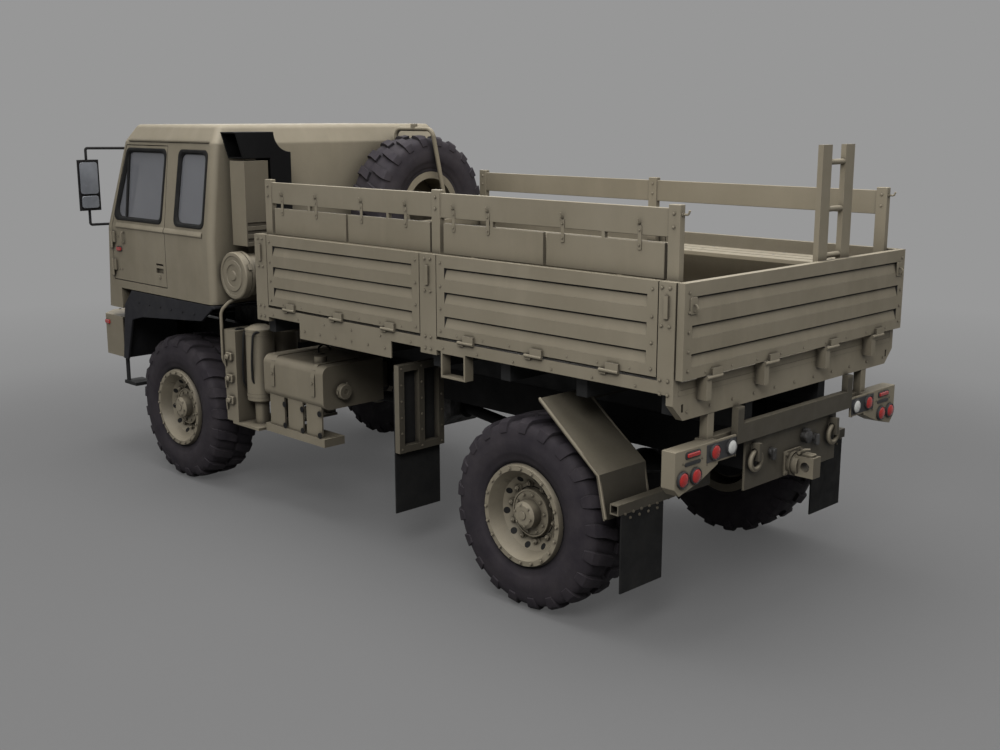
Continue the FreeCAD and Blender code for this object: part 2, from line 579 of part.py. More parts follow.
def nose(name, centre_x, way):
    """The nose that the propeller shaft drives, way 1 to the front and -1 to the rear."""
    tip = "(%s + %d*diff_nose_length)" % (centre_x, way)
    along = (centre_x, tip) if way > 0 else (tip, centre_x)
    return rod(name + "_nose", "X", along, ("0", "tyre_radius"), "diff_nose_radius")


def brake_chambers(name, centre_x, centre_y):
    """The two air-brake chambers on the front of an axle's tube."""
    along = ("%s + axle_tube_radius/2" % centre_x, "%s + axle_tube_radius + chamber_length" % centre_x)
    return [rod("%s_chamber_%s" % (name, tag), "X", along, (y, "tyre_radius + chamber_rise"), "chamber_radius")
            for tag, y in (("left", centre_y), ("right", "-" + centre_y))]


def rear_axle():
    pieces = axle_beam("rear_axle", "rear_axle_x", BACKING_Y) + [nose("rear_axle", "rear_axle_x", 1)]
    pieces += brake_chambers("rear_axle", "rear_axle_x", "rear_chamber_y")
    for side in (1, -1):
        tag = "rear_%s" % ("left" if side > 0 else "right")
        faces = (BACKING_Y, BACKING_Y + " + backing_wall")
        tip = (BACKING_Y, BACKING_Y + " + spindle_length")
        if side < 0:
            faces, tip = [("-(%s)" % b, "-(%s)" % a) for a, b in (faces, tip)]
        pieces.append(rod(tag + "_backing", "Y", faces, ("rear_axle_x", "tyre_radius"), "backing_radius"))
        pieces.append(rod(tag + "_spindle", "Y", tip, ("rear_axle_x", "tyre_radius"), "spindle_radius"))
    node("rear_axle", fused("rear_axle_casting", pieces))


def yoke(side):
    """The fork at the axle's end that holds the kingpin above and below the knuckle."""
    tag = "yoke_%s" % ("left" if side > 0 else "right")
    web = ("kingpin_y - yoke_radius - yoke_web", "kingpin_y - yoke_radius")
    arm_reach = ("kingpin_y - yoke_radius - yoke_web", "kingpin_y")
    half = "(knuckle_boss_half + swing_gap)"
    spread = ("%s - yoke_radius" % FRONT_AXLE_X, "%s + yoke_radius" % FRONT_AXLE_X)
    if side < 0:
        web, arm_reach = [("-(%s)" % b, "-(%s)" % a) for a, b in (web, arm_reach)]
    pieces = [block(tag + "_web", spread, web, ("tyre_radius - %s - yoke_arm" % half,
                                               "tyre_radius + %s + yoke_arm" % half))]
    centre_y = "kingpin_y" if side > 0 else "-kingpin_y"
    for level in (1, -1):
        near = "tyre_radius + %d*%s" % (level, half)
        far = "tyre_radius + %d*(%s + yoke_arm)" % (level, half)
        zs = (near, far) if level > 0 else (far, near)
        arm = tag + ("_upper" if level > 0 else "_lower")
        pieces.append(block(arm + "_arm", spread, arm_reach, zs))
        pieces.append(rod(arm + "_end", "Z", zs, (FRONT_AXLE_X, centre_y), "yoke_radius"))
    return pieces


def front_axle():
    pieces = axle_beam("front_axle", FRONT_AXLE_X, "(kingpin_y - yoke_radius)")
    pieces += [nose("front_axle", FRONT_AXLE_X, -1)] + yoke(1) + yoke(-1)
    pieces += brake_chambers("front_axle", FRONT_AXLE_X, "front_chamber_y")
    reach = "(knuckle_boss_half + swing_gap + yoke_arm + overrun)"
    bores = [rod("kingpin_bore_" + tag, "Z", ("tyre_radius - " + reach, "tyre_radius + " + reach),
                 (FRONT_AXLE_X, y), "kingpin_radius + pin_gap")
             for tag, y in (("left", "kingpin_y"), ("right", "-kingpin_y"))]
    node("front_axle", cut("front_axle_casting", fused("front_axle_blank", pieces), bores))


def knuckles():
    """The steered knuckle: boss and kingpin, a bridge outwards, backing plate and spindle."""
    boss = rod("knuckle_boss", "Z", ("tyre_radius - knuckle_boss_half", "tyre_radius + knuckle_boss_half"),
               (FRONT_AXLE_X, "kingpin_y"), "knuckle_boss_radius")
    reach = "(knuckle_boss_half + swing_gap + yoke_arm)"
    pin = rod("kingpin", "Z", ("tyre_radius - " + reach, "tyre_radius + " + reach),
              (FRONT_AXLE_X, "kingpin_y"), "kingpin_radius")
    bridge = block("knuckle_bridge", (FRONT_AXLE_X + " - knuckle_boss_radius",
                                      FRONT_AXLE_X + " + knuckle_boss_radius"),
                   ("kingpin_y", BACKING_Y),
                   ("tyre_radius - 0.8*knuckle_boss_half", "tyre_radius + 0.8*knuckle_boss_half"))
    backing = rod("knuckle_backing", "Y", (BACKING_Y, BACKING_Y + " + backing_wall"),
                  (FRONT_AXLE_X, "tyre_radius"), "backing_radius")
    spindle = rod("knuckle_spindle", "Y", (BACKING_Y, BACKING_Y + " + spindle_length"),
                  (FRONT_AXLE_X, "tyre_radius"), "spindle_radius")
    left = fused("knuckle_casting", [boss, pin, bridge, backing, spindle])
    node("knuckle_left", left)
    node("knuckle_right", mirrored("knuckle_casting_right", left))


TYRE_SECTORS = 36
LUG_SLANT_SHARE = 0.45


def tyre_points(height, place):
    """Half of the tyre's section, from bead to tread centre; the tread part is raised by a height."""
    flat = math.cos(math.pi / TYRE_SECTORS)
    bead = number("tyre_bore_radius") / flat
    floor = number("tyre_radius - lug_height")
    spots = [("bead_half_width", bead), ("bead_half_width", number("tyre_bore_radius + bead_height")),
             ("tyre_half_width", number("sidewall_bulge_radius")),
             ("tyre_half_width - tyre_shoulder/2", number("tyre_radius - 2.6*tyre_shoulder")),
             ("tread_half_width", floor + height), ("lug_gap/2", floor + height)]
    y, radius = spots[place]
    return number(y), radius


def tyre_spot(side, sector, height, place):
    """One corner of the tyre: which half, which sector line, groove or lug, and which section point."""
    y, radius = tyre_points(height, place)
    turn = sector + (0 if place == TREAD_CENTRE else LUG_SLANT_SHARE)
    angle = 2 * math.pi * turn / TYRE_SECTORS
    return Vector(radius * math.cos(angle), side * y, radius * math.sin(angle))


BEAD, SHOULDER, TREAD_EDGE, TREAD_CENTRE = 0, 3, 4, 5


def tyre_sector(side, sector):
    """The flat faces of one sector on one half, a lug in every second one."""
    lug = number("lug_height")
    raised = (sector + (side < 0)) % 2 == 0
    top = lug if raised else 0
    faces = []
    for place in range(BEAD, TREAD_EDGE):
        faces.append([tyre_spot(side, sector, top, place), tyre_spot(side, sector + 1, top, place),
                      tyre_spot(side, sector + 1, top, place + 1), tyre_spot(side, sector, top, place + 1)])
    edge = [tyre_spot(side, sector + n, top, TREAD_EDGE) for n in (0, 1)]
    crown = [tyre_spot(side, sector + n, top, TREAD_CENTRE) for n in (0, 1)]
    faces += [[edge[0], edge[1], crown[1]], [edge[0], crown[1], crown[0]]]
    shoulder = tyre_spot(side, sector, 0, SHOULDER)
    low_edge, high_edge = [tyre_spot(side, sector, height, TREAD_EDGE) for height in (0, lug)]
    low_crown, high_crown = [tyre_spot(side, sector, height, TREAD_CENTRE) for height in (0, lug)]
    faces += [[shoulder, low_edge, high_edge], [low_edge, low_crown, high_crown], [low_edge, high_crown, high_edge]]
    if raised:
        floor = [tyre_spot(side, sector + n, 0, TREAD_CENTRE) for n in (0, 1)]
        faces.append([floor[0], floor[1], crown[1], crown[0]])
    return faces


def lugged_tyre(name, axis, place):
    """A tyre of flat faces with two rows of slanted lugs, standing on its axis at a place."""
    outlines = []
    for sector in range(TYRE_SECTORS):
        for side in (1, -1):
            outlines += tyre_sector(side, sector)
        for ring in (BEAD, TREAD_CENTRE):
            across = [tyre_spot(side, sector + n, 0, ring) for side in (1, -1) for n in (0, 1)]
            outlines.append([across[0], across[1], across[3], across[2]])
    faces = [Part.Face(Part.makePolygon(corners + corners[:1])) for corners in outlines]
    skin = Part.makeShell(faces)
    skin.sewShape()
    solid = Part.makeSolid(skin)
    if solid.Volume < 0:
        solid.reverse()
    tyre = doc.addObject("Part::Feature", name)
    if axis == "X":
        solid.rotate(Vector(), Vector(0, 0, 1), -90)
    tyre.Shape = solid
    seat(tyre, *place)
    return tyre


def rim_outline():
    """The wheel's section: barrel and inner flange, the outer clamp ring, and the dished disc."""
    bore = "(tyre_bore_radius - seat_gap)"
    inside = "(%s - rim_barrel_wall)" % bore
    edge = "(bead_half_width + rim_flange_wall)"
    ring = "(bead_half_width + seat_gap)"
    lip = "(%s + rim_ring_width)" % ring
    disc = "rim_disc_offset"
    disc_face = "(rim_disc_offset + rim_disc_wall)"
    return [("-" + edge, inside), ("-" + edge, bore + " + rim_flange_height"),
            ("-bead_half_width - seat_gap", bore + " + rim_flange_height"),
            ("-bead_half_width - seat_gap", bore), (ring, bore),
            (ring, "rim_ring_radius - rim_flange_wall"), (ring + " + rim_flange_wall", "rim_ring_radius"),
            (lip, "rim_ring_radius - rim_flange_wall"), (lip, inside + " + rim_flange_height"),
            (disc_face + " + rim_ring_width", inside + " - rim_flange_wall"),
            (disc_face, "(hub_radius + drum_radius)/2"), (disc_face, "hub_radius/2"),
            (disc, "hub_radius/2"), (disc, "drum_radius"), (disc, inside)]


def wheel(tag, centre_x, side):
    """One wheel: the tyre, and the rim with the brake drum, hub and hub cap that turn with it."""
    place = (centre_x, "wheel_centre_y" if side > 0 else "-wheel_centre_y", "tyre_radius")
    node("tyre_" + tag, lugged_tyre("tyre_ring_" + tag, "Y", place))

    def spread(points):
        return [("%d*(%s)" % (side, along), radius) for along, radius in points]

    rim = turned("rim_ring_" + tag, "Y", spread(rim_outline()), place)
    disc_face = "(rim_disc_offset + rim_disc_wall)"
    bore = "(spindle_radius + pin_gap)"
    bore_end = "(-drum_inner_offset - swing_gap - backing_wall + spindle_length + pin_gap)"
    cap = disc_face + " + hub_length"
    hub_points = [("-drum_inner_offset", bore), ("-drum_inner_offset", "drum_radius"),
                  ("rim_disc_offset + rim_disc_wall/2", "drum_radius"),
                  ("rim_disc_offset + rim_disc_wall/2", "hub_radius"), (cap, "hub_radius - hub_length/2"),
                  (cap, "hub_cap_radius"), (cap + " + hub_cap_length*0.8", "hub_cap_radius*0.94"),
                  (cap + " + hub_cap_length", "hub_cap_radius*0.7"), (cap + " + hub_cap_length", "0"),
                  (bore_end, "0"), (bore_end, bore)]
    hub = turned("hub_" + tag, "Y", spread(hub_points), place)
    node("rim_" + tag, fused("wheel_centre_" + tag, [rim, hub]))


def wheels():
    wheel("front_left", FRONT_AXLE_X, 1)
    wheel("front_right", FRONT_AXLE_X, -1)
    wheel("rear_left", "rear_axle_x", 1)
    wheel("rear_right", "rear_axle_x", -1)


def engine():
    body = block("engine_body", ("engine_rear_x", "engine_front_x"),
                 ("-engine_half_width", "engine_half_width"), ("engine_bottom_z", "engine_top_z"))
    middle = "((engine_rear_x + engine_front_x)/2)"
    level = "(rail_bottom_z + rail_height/2)"
    foot = (middle + " - cross_width", middle + " + cross_width")
    feet = block("engine_feet", foot, ("-(%s - seat_gap)" % RAIL_WEB_Y, RAIL_WEB_Y + " - seat_gap"),
                 (level + " - cross_drop", level + " + cross_drop"))
    node("engine_block", fused("engine", [body, feet]))


def gearbox():
    rear = "(engine_rear_x - gearbox_length)"
    top = "(engine_bottom_z + gearbox_height)"
    outline = [(rear, "engine_bottom_z - cross_drop"),
               ("engine_rear_x - gearbox_length/3", "engine_bottom_z - 2*cross_drop"),
               ("engine_rear_x - seat_gap", "engine_bottom_z"), ("engine_rear_x - seat_gap", top),
               ("engine_rear_x - gearbox_length/3", top + " - cross_drop"),
               (rear, top + " - 4*cross_drop")]
    case = plate("gearbox_case", "XZ", outline, ("-gearbox_half_width", "gearbox_half_width"))
    level = "(rail_bottom_z + rail_height/2)"
    foot = (rear + " + cross_width/2", rear + " + 1.5*cross_width")
    feet = block("gearbox_feet", foot, ("-(%s - seat_gap)" % RAIL_WEB_Y, RAIL_WEB_Y + " - seat_gap"),
                 (level + " - cross_drop", level))
    return fused("gearbox_with_feet", [case, feet])


def transfer_case():
    top = "(rail_bottom_z + cross_drop - seat_gap)"
    low = "(%s - transfer_height)" % top
    spread = ("transfer_x - transfer_half_length", "transfer_x + transfer_half_length")
    corner = "(transfer_height/4)"
    outline = [(spread[0], low + " + " + corner), (spread[0] + " + " + corner, low),
               (spread[1] + " - " + corner, low), (spread[1], low + " + " + corner),
               (spread[1], top), (spread[0], top)]
    return plate("transfer_housing", "XZ", outline, ("-transfer_half_width", "transfer_half_width"))


def gearboxes():
    node("gearboxes", together("gearbox_pair", [gearbox(), transfer_case()]))


def shaft(name, start, end):
    """A propeller shaft between two flanges, each a little short of what it drives."""
    inner = [(start[0] + " + shaft_flange_wall/2",) + start[1:], (end[0] + " - shaft_flange_wall/2",) + end[1:]]
    bar = bent_bar(name + "_tube", inner, "shaft_radius")
    flanges = []
    for tag, here, way in (("rear", start, 1), ("front", end, -1)):
        along = (here[0], here[0] + " + shaft_flange_wall")
        if way < 0:
            along = (here[0] + " - shaft_flange_wall", here[0])
        flanges.append(rod("%s_%s_flange" % (name, tag), "X", along, here[1:], "shaft_flange_radius"))
    return fused(name, [bar] + flanges)


def propeller_shafts():
    top = "(rail_bottom_z + cross_drop)"
    front_face = "(transfer_x + transfer_half_length + seat_gap)"
    rear_face = "(transfer_x - transfer_half_length - seat_gap)"
    drive_z = "(%s - transfer_height*0.62)" % top
    input_z = "(%s - transfer_height*0.24)" % top
    rear = shaft("rear_shaft", ("rear_axle_x + diff_nose_length + seat_gap", "0", "tyre_radius"),
                 (rear_face, "0", drive_z))
    front = shaft("front_shaft", (front_face, "0", drive_z),
                  ("%s - diff_nose_length - seat_gap" % FRONT_AXLE_X, "0", "tyre_radius"))
    middle = shaft("input_shaft", (front_face, "0", input_z),
                   ("engine_rear_x - gearbox_length - seat_gap", "0", "engine_bottom_z + 1.4*cross_drop"))
    node("propeller_shafts", together("shaft_set", [rear, front, middle]))


def bed_floor():
    """The floor, its cross sills and the two long beams that rest on the chassis rails."""
    rear = "(bed_rear_x + gate_wall + swing_gap)"
    front = "(bed_front_x - gate_wall)"
    inner = "(bed_half_width - post_wall)"
    floor = block("floor_sheet", (rear, front), ("-" + inner, inner), (FLOOR_BOTTOM_Z, "floor_top_z"))
    sills = []
    count = 7
    for n in range(count):
        share = n / (count - 1)
        low = "(%s + rear_sill_wall + (%s - sill_width - %s - rear_sill_wall)*%r)" % (rear, front, rear, share)
        sills.append(block("floor_sill_%d" % (n + 1), (low, low + " + sill_width"), ("-" + inner, inner),
                           (SILL_BOTTOM_Z, FLOOR_BOTTOM_Z)))
    beams = [block("floor_beam_" + tag, (rear + " + rear_sill_wall", front), ys,
                   (RAIL_TOP_Z, SILL_BOTTOM_Z))
             for tag, ys in (("left", ("rail_outer_y - rail_flange", "rail_outer_y")),
                             ("right", ("-rail_outer_y", "-(rail_outer_y - rail_flange)")))]
    side_rails = [block("side_rail_" + tag, (rear, "bed_front_x"), ys,
                        ("floor_top_z + groove_depth - side_rail_height", "floor_top_z + groove_depth"))
                  for tag, ys in (("left", (inner, GATE_INNER_Y)),
                                  ("right", ("-" + GATE_INNER_Y, "-" + inner)))]
    node("bed_floor", fused("floor", [floor] + sills + beams + side_rails))


def bed_posts():
    """The six side posts, the front wall's frame and the apron and bracket under each side."""
    inner, outer = GATE_INNER_Y, "bed_half_width"
    top = "gate_top_z"
    foot = "(floor_top_z + groove_depth - side_rail_height)"
    deep = (inner, outer)
    pieces = [block("front_post", (FRONT_POST_X, "bed_front_x"), deep, ("post_foot_z", top)),
              block("middle_post", (MIDDLE_POST_REAR_X, "middle_post_x"), deep, ("post_foot_z", top)),
              block("rear_post", ("bed_rear_x + gate_wall + swing_gap", REAR_POST_FRONT_X), deep,
                    (foot, top)),
              block("side_strip", ("bed_rear_x + gate_wall + swing_gap", "bed_front_x"), deep,
                    (foot, "gate_bottom_z - swing_gap - gate_hinge_radius")),
              block("apron", ("apron_front_x - apron_length", "apron_front_x"),
                    (outer + " - apron_wall", outer), ("apron_bottom_z", foot))]
    ring = [("bracket_x", foot), ("bracket_x", foot + " - bracket_height"),
            ("bracket_x + bracket_length", foot + " - bracket_height"), ("bracket_x + bracket_length", foot)]
    wall = "bracket_wall"
    hole = [("bracket_x + " + wall, foot + " - " + wall),
            ("bracket_x + " + wall, foot + " - bracket_height + " + wall),
            ("bracket_x + bracket_length - " + wall, foot + " - bracket_height + " + wall),
            ("bracket_x + bracket_length - " + wall, foot + " - " + wall)]
    pieces.append(plate("bracket", "XZ", ring, (outer + " - post_wall", outer), [hole]))
    for tag, middle in (("front", "bed_front_x - front_post_width/2"),
                        ("middle", "middle_post_x - middle_post_width/2"),
                        ("rear", REAR_POST_FRONT_X + " - rear_post_width/2")):
        pieces.append(block("latch_" + tag, (middle + " - latch_width/2", middle + " + latch_width/2"),
                            (outer, outer + " + latch_wall"),
                            (top + " - latch_drop - latch_height", top + " - latch_drop")))
    for tag, xs in (("front", SIDE_FRONT_SPAN), ("rear", SIDE_REAR_SPAN)):
        for n, reach in enumerate(hinge_reaches(xs), 1):
            name = "%s_knuckle_%d" % (tag, n)
            beside = (reach[1] + " + pin_gap", reach[1] + " + pin_gap + gate_hinge_length/2")
            pieces.append(rod(name, "X", beside, (HINGE_Y, "gate_hinge_z"), "gate_hinge_radius - pin_gap"))
            pieces.append(block(name + "_web", beside, (outer, HINGE_Y),
                                ("gate_hinge_z - 2*gate_hinge_radius", "gate_hinge_z")))
    side = fused("bed_side", pieces)
    node("bed_posts", both_sides("bed_post_sides", side))


SIDE_FRONT_SPAN = ("(middle_post_x + swing_gap)", "(%s - swing_gap)" % FRONT_POST_X)
SIDE_REAR_SPAN = ("(%s + swing_gap)" % REAR_POST_FRONT_X, "(%s - swing_gap)" % MIDDLE_POST_REAR_X)
HINGE_SHARES = (0.17, 0.5, 0.83)
GATE_HINGE_SHARES = (-0.75, -0.28, 0.28, 0.75)


def hinge_reaches(span):
    """Where a drop side's own hinge barrels lie along its foot."""
    reaches = []
    for share in HINGE_SHARES:
        middle = "(%s + (%s - %s)*%r)" % (span[0], span[1], span[0], share)
        reaches.append((middle + " - gate_hinge_length/2", middle + " + gate_hinge_length/2"))
    return reaches


def grooves(name, xs, face_y):
    """Three long pressed grooves in a panel's outer face."""
    tools = []
    for n in range(3):
        high = "(gate_top_z - groove_drop - %d*groove_pitch)" % n
        tools.append(block("%s_groove_%d" % (name, n + 1), (xs[0] + " + groove_inset", xs[1] + " - groove_inset"),
                           (face_y + " - groove_depth", face_y + " + overrun"),
                           (high + " - groove_height", high)))
    return tools


def drop_side(name, span):
    """One folding side panel with its pressed grooves and hinge barrels, on the left."""
    panel = block(name + "_panel", span, (GATE_INNER_Y, "bed_half_width"), ("gate_bottom_z", "gate_top_z"))
    pressed = cut(name + "_pressed", panel, grooves(name, span, "bed_half_width"))
    barrels = []
    for n, reach in enumerate(hinge_reaches(span), 1):
        barrels.append(rod("%s_barrel_%d" % (name, n), "X", reach, (HINGE_Y, "gate_hinge_z"),
                           "gate_hinge_radius - pin_gap"))
        barrels.append(block("%s_strap_%d" % (name, n), reach,
                             ("bed_half_width", HINGE_Y + " + gate_hinge_radius/2"),
                             ("gate_hinge_z", "gate_bottom_z + groove_height/2")))
    return fused(name, [pressed] + barrels)


def drop_sides():
    front = drop_side("side_front", SIDE_FRONT_SPAN)
    rear = drop_side("side_rear", SIDE_REAR_SPAN)
    node("side_front_left", front)
    node("side_rear_left", rear)
    node("side_front_right", mirrored("side_front_twin", front))
    node("side_rear_right", mirrored("side_rear_twin", rear))


def front_wall():
    """The bed's front wall between the front posts."""
    wall = block("front_wall_sheet", ("bed_front_x - gate_wall + seat_gap", "bed_front_x"),
                 ("-" + GATE_INNER_Y + " + seat_gap", GATE_INNER_Y + " - seat_gap"),
                 ("floor_top_z + groove_depth + seat_gap", "gate_top_z"))
    half = "(%s - groove_inset)" % GATE_INNER_Y
    tools = []
    for n in range(3):
        high = "(gate_top_z - groove_drop - %d*groove_pitch)" % n
        tools.append(block("front_wall_groove_%d" % (n + 1), ("bed_front_x - groove_depth", "bed_front_x + overrun"),
                           ("-" + half, half), (high + " - groove_height", high)))
    node("bed_front_wall", cut("front_wall", wall, tools))


def rear_sill():
    """The deep sill across the bed's rear, its lower corners cut away."""
    low, high = "rear_sill_bottom_z", "(floor_top_z + groove_depth - side_rail_height - seat_gap)"
    half, cut_in = "bed_half_width", "rear_sill_chamfer"
    outline = [("-%s + %s" % (half, cut_in), low), ("%s - %s" % (half, cut_in), low),
               (half, low + " + rear_sill_chamfer"), (half, high), ("-" + half, high),
               ("-" + half, low + " + rear_sill_chamfer")]
    rear = "(bed_rear_x + gate_wall + swing_gap)"
    sheet_piece = plate("rear_sill_sheet", "YZ", outline, (rear, rear + " + rear_sill_wall - seat_gap"))
    slots = [block("rear_sill_slot_" + tag, (rear + " - overrun", rear + " + rear_sill_wall + overrun"), ys,
                   ("rear_sill_bottom_z + rear_sill_chamfer/2", "rear_sill_bottom_z + rear_sill_chamfer"))
             for tag, ys in (("left", ("bed_half_width - 2*rear_sill_wall", "bed_half_width - 1.6*rear_sill_wall")),
                             ("right", ("-bed_half_width + 1.6*rear_sill_wall", "-bed_half_width + 2*rear_sill_wall")))]
    pieces = [cut("rear_sill_slotted", sheet_piece, slots)]
    for n, share in enumerate(GATE_HINGE_SHARES, 1):
        middle = "((bed_half_width - swing_gap)*%r)" % share
        beside = (middle + " + gate_hinge_length/2 + pin_gap", middle + " + gate_hinge_length + pin_gap")
        name = "tailgate_knuckle_%d" % n
        pieces.append(rod(name, "Y", beside, ("bed_rear_x - gate_hinge_radius", "gate_hinge_z"),
                          "gate_hinge_radius - pin_gap"))
        pieces.append(block(name + "_web", ("bed_rear_x - gate_hinge_radius", rear + " - seat_gap"), beside,
                            (high + " - gate_hinge_length/2", "gate_hinge_z")))
        pieces.append(block(name + "_foot", ("bed_rear_x", rear + " + rear_sill_wall/2"), beside,
                            (high + " - gate_hinge_length/2", high)))
    node("rear_sill", fused("rear_sill_with_knuckles", pieces))


def tailgate():
    """The rear gate with three pressed grooves, hinged along its foot."""
    outer, inner = "bed_rear_x", "(bed_rear_x + gate_wall)"
    half = "(bed_half_width - swing_gap)"
    panel = block("tailgate_panel", (outer, inner), ("-" + half, half), ("gate_bottom_z", "gate_top_z"))
    tools = []
    for n in range(3):
        high = "(gate_top_z - groove_drop - %d*groove_pitch)" % n
        tools.append(block("tailgate_groove_%d" % (n + 1), (outer + " - overrun", outer + " + groove_depth"),
                           ("-(%s - groove_inset)" % half, half + " - groove_inset"),
                           (high + " - groove_height", high)))
    pressed = cut("tailgate_pressed", panel, tools)
    axis_x = "(bed_rear_x - gate_hinge_radius)"
    barrels = []
    for n, share in enumerate(GATE_HINGE_SHARES, 1):
        middle = "(%s*%r)" % (half, share)
        reach = (middle + " - gate_hinge_length/2", middle + " + gate_hinge_length/2")
        barrels.append(rod("tailgate_barrel_%d" % n, "Y", reach, (axis_x, "gate_hinge_z"),
                           "gate_hinge_radius - pin_gap"))
        barrels.append(block("tailgate_strap_%d" % n, (axis_x + " - gate_hinge_radius/2", "bed_rear_x"), reach,
                             ("gate_hinge_z", "gate_bottom_z + groove_height/2")))
    node("tailgate", fused("tailgate_with_hinges", [pressed] + barrels))


def ladder():
    """The boarding ladder that stands against the tailgate's inner face."""
    near = "(bed_rear_x + gate_wall + seat_gap)"
    deep = (near, near + " + ladder_rail_wall")
    rails = [block("ladder_left", deep, ("ladder_left_y - ladder_rail", "ladder_left_y"),
                   ("ladder_foot_z", "ladder_top_z")),
             block("ladder_right", deep, ("ladder_right_y", "ladder_right_y + ladder_rail"),
                   ("ladder_foot_z", "ladder_top_z"))]
    rungs = [rod("ladder_rung_%d" % (n + 1), "Y", ("ladder_right_y + ladder_rail/2", "ladder_left_y - ladder_rail/2"),
                 (near + " + ladder_rail_wall/2", "ladder_top_z - ladder_rung_drop - %d*ladder_rung_pitch" % n),
                 "ladder_rung_radius - pin_gap")
             for n in range(LADDER_RUNGS)]
    node("ladder", fused("ladder_frame", rails + rungs))


RACK_REAR_X = "(bed_rear_x + gate_wall + ladder_rail_wall + 2*swing_gap)"


def rack_posts(tag):
    """The three posts of one side's rack, standing on the bed floor."""
    places = [("(%s)" % RACK_REAR_X), "(middle_post_x - middle_post_width/2 - rack_post_width/2)",
              "(bed_front_x - gate_wall - swing_gap - rack_post_width)"]
    return [block("%s_post_%d" % (tag, n), (x, x + " + rack_post_width"), (RACK_INNER_Y, RACK_OUTER_Y),
                  ("floor_top_z + seat_gap", "rack_post_top_z")) for n, x in enumerate(places, 1)]


def rack_board(tag):
    """The long top board, let into the posts' outer half."""
    span = (RACK_REAR_X, "bed_front_x - gate_wall - swing_gap")
    faces = ("rack_post_y - rack_board_wall/2", "rack_post_y + rack_board_wall/2")
    return block(tag + "_board", span, faces, ("rack_board_top_z - rack_board_height", "rack_board_top_z"))


def left_rack():
    """The left rack with its two pairs of folded seat boards hung from the top board."""
    top = "(rack_board_top_z - rack_board_height - seat_board_drop)"
    low = "(%s - seat_board_height)" % top
    faces = ("rack_post_y - rack_board_wall/2", "rack_post_y + rack_board_wall/2")
    middle_front = "(middle_post_x - middle_post_width/2 + rack_post_width/2)"
    middle_rear = "(middle_post_x - middle_post_width/2 - rack_post_width/2)"
    bays = [("(%s + rack_post_width)" % RACK_REAR_X, middle_rear),
            (middle_front, "(bed_front_x - gate_wall - swing_gap - rack_post_width)")]
    pieces = rack_posts("left_rack") + [rack_board("left_rack")]
    for n, (rear, front) in enumerate(bays, 1):
        middle = "((%s + %s)/2)" % (rear, front)
        halves = [(rear + " + seat_board_gap", middle + " - seat_board_gap/2"),
                  (middle + " + seat_board_gap/2", front + " - seat_board_gap")]
        for m, span in enumerate(halves, 1):
            tag = "left_rack_seat_%d_%d" % (n, m)
            pieces.append(block(tag, span, faces, (low, top)))
            centre = "((%s + %s)/2)" % span
            pieces.append(block(tag + "_hanger", (centre + " - seat_board_gap/2", centre + " + seat_board_gap/2"),
                                faces, (top, top + " + seat_board_drop")))
    return fused("left_rack", pieces)


def side_racks():
    plain = fused("right_rack", rack_posts("right_rack") + [rack_board("right_rack")])
    node("side_racks", together("rack_pair", [left_rack(), mirrored("right_rack_twin", plain)]))


def right_bench():
    """The folded-down bench along the right side, its slats on three legs."""
    outer = "(%s - seat_gap)" % RACK_INNER_Y
    span = (RACK_REAR_X, "bed_front_x - gate_wall - swing_gap")
    slat = "((%s - bench_inner_y - 2*seat_board_gap)/3)" % outer
    pieces = []
    for n in range(3):
        low = "(bench_inner_y + %d*(%s + seat_board_gap))" % (n, slat)
        pieces.append(block("bench_slat_%d" % (n + 1), span, (low, low + " + " + slat),
                            ("bench_top_z - bench_wall", "bench_top_z")))
    for n, share in enumerate((0.04, 0.5, 0.92), 1):
        x = "(%s + (%s - (%s))*%r)" % (span[0], span[1], span[0], share)
        wide = (x, x + " + bench_leg")
        pieces.append(block("bench_bearer_%d" % n, wide, ("bench_inner_y", outer),
                            ("bench_top_z - bench_wall - bench_leg", "bench_top_z - bench_wall")))
        pieces.append(block("bench_leg_%d" % n, wide, ("bench_inner_y", "bench_inner_y + bench_leg"),
                            ("floor_top_z + seat_gap", "bench_top_z - bench_wall")))
    node("bench_right", mirrored("bench_twin", fused("bench", pieces)))


def cab_side_outline(inset="0"):
    """The cab's side profile, drawn in by the wall where inset is the wall."""
    step_in = "(%s)" % inset
    return [("cab_rear_x + " + step_in, "cab_floor_z + " + step_in),
            ("cab_step_x + " + step_in, "cab_floor_z + " + step_in),
            ("cab_step_x + " + step_in, "cab_bottom_z + " + step_in),
            ("cab_nose_x - " + step_in, "cab_bottom_z + " + step_in),
            ("cab_belt_x - " + step_in, "cab_belt_z"), ("cab_brow_x - " + step_in, "cab_drip_z"),
            ("cab_brow_x - 1.5*roof_bevel - " + step_in, "cab_roof_z - " + step_in),
            ("cab_rear_x + roof_bevel + " + step_in, "cab_roof_z - " + step_in),
            ("cab_rear_x + " + step_in, "cab_drip_z")]


def cab_end_outline(inset="0"):
    """The cab's cross section, upright to the belt and leaning in above it."""
    right = [("cab_half_width - %s" % inset, "cab_bottom_z + %s" % inset),
             ("cab_half_width - %s" % inset, "cab_belt_z"),
             ("cab_drip_half_width - %s" % inset, "cab_drip_z"),
             ("cab_crest_half_width - %s" % inset, "cab_roof_z - %s" % inset)]
    return right + [("-(%s)" % y, z) for y, z in reversed(right)]


def cab_form(name, inset):
    """The solid that both profiles share."""
    wide = ("-cab_half_width - overrun", "cab_half_width + overrun")
    long = ("cab_rear_x - overrun", "cab_nose_x + overrun")
    block_form = common(name + "_sharp", plate(name + "_profile", "XZ", cab_side_outline(inset), wide),
                        plate(name + "_section", "YZ", cab_end_outline(inset), long))
    return rounded(name, block_form, "cab_corner - %s" % inset, is_cab_corner)


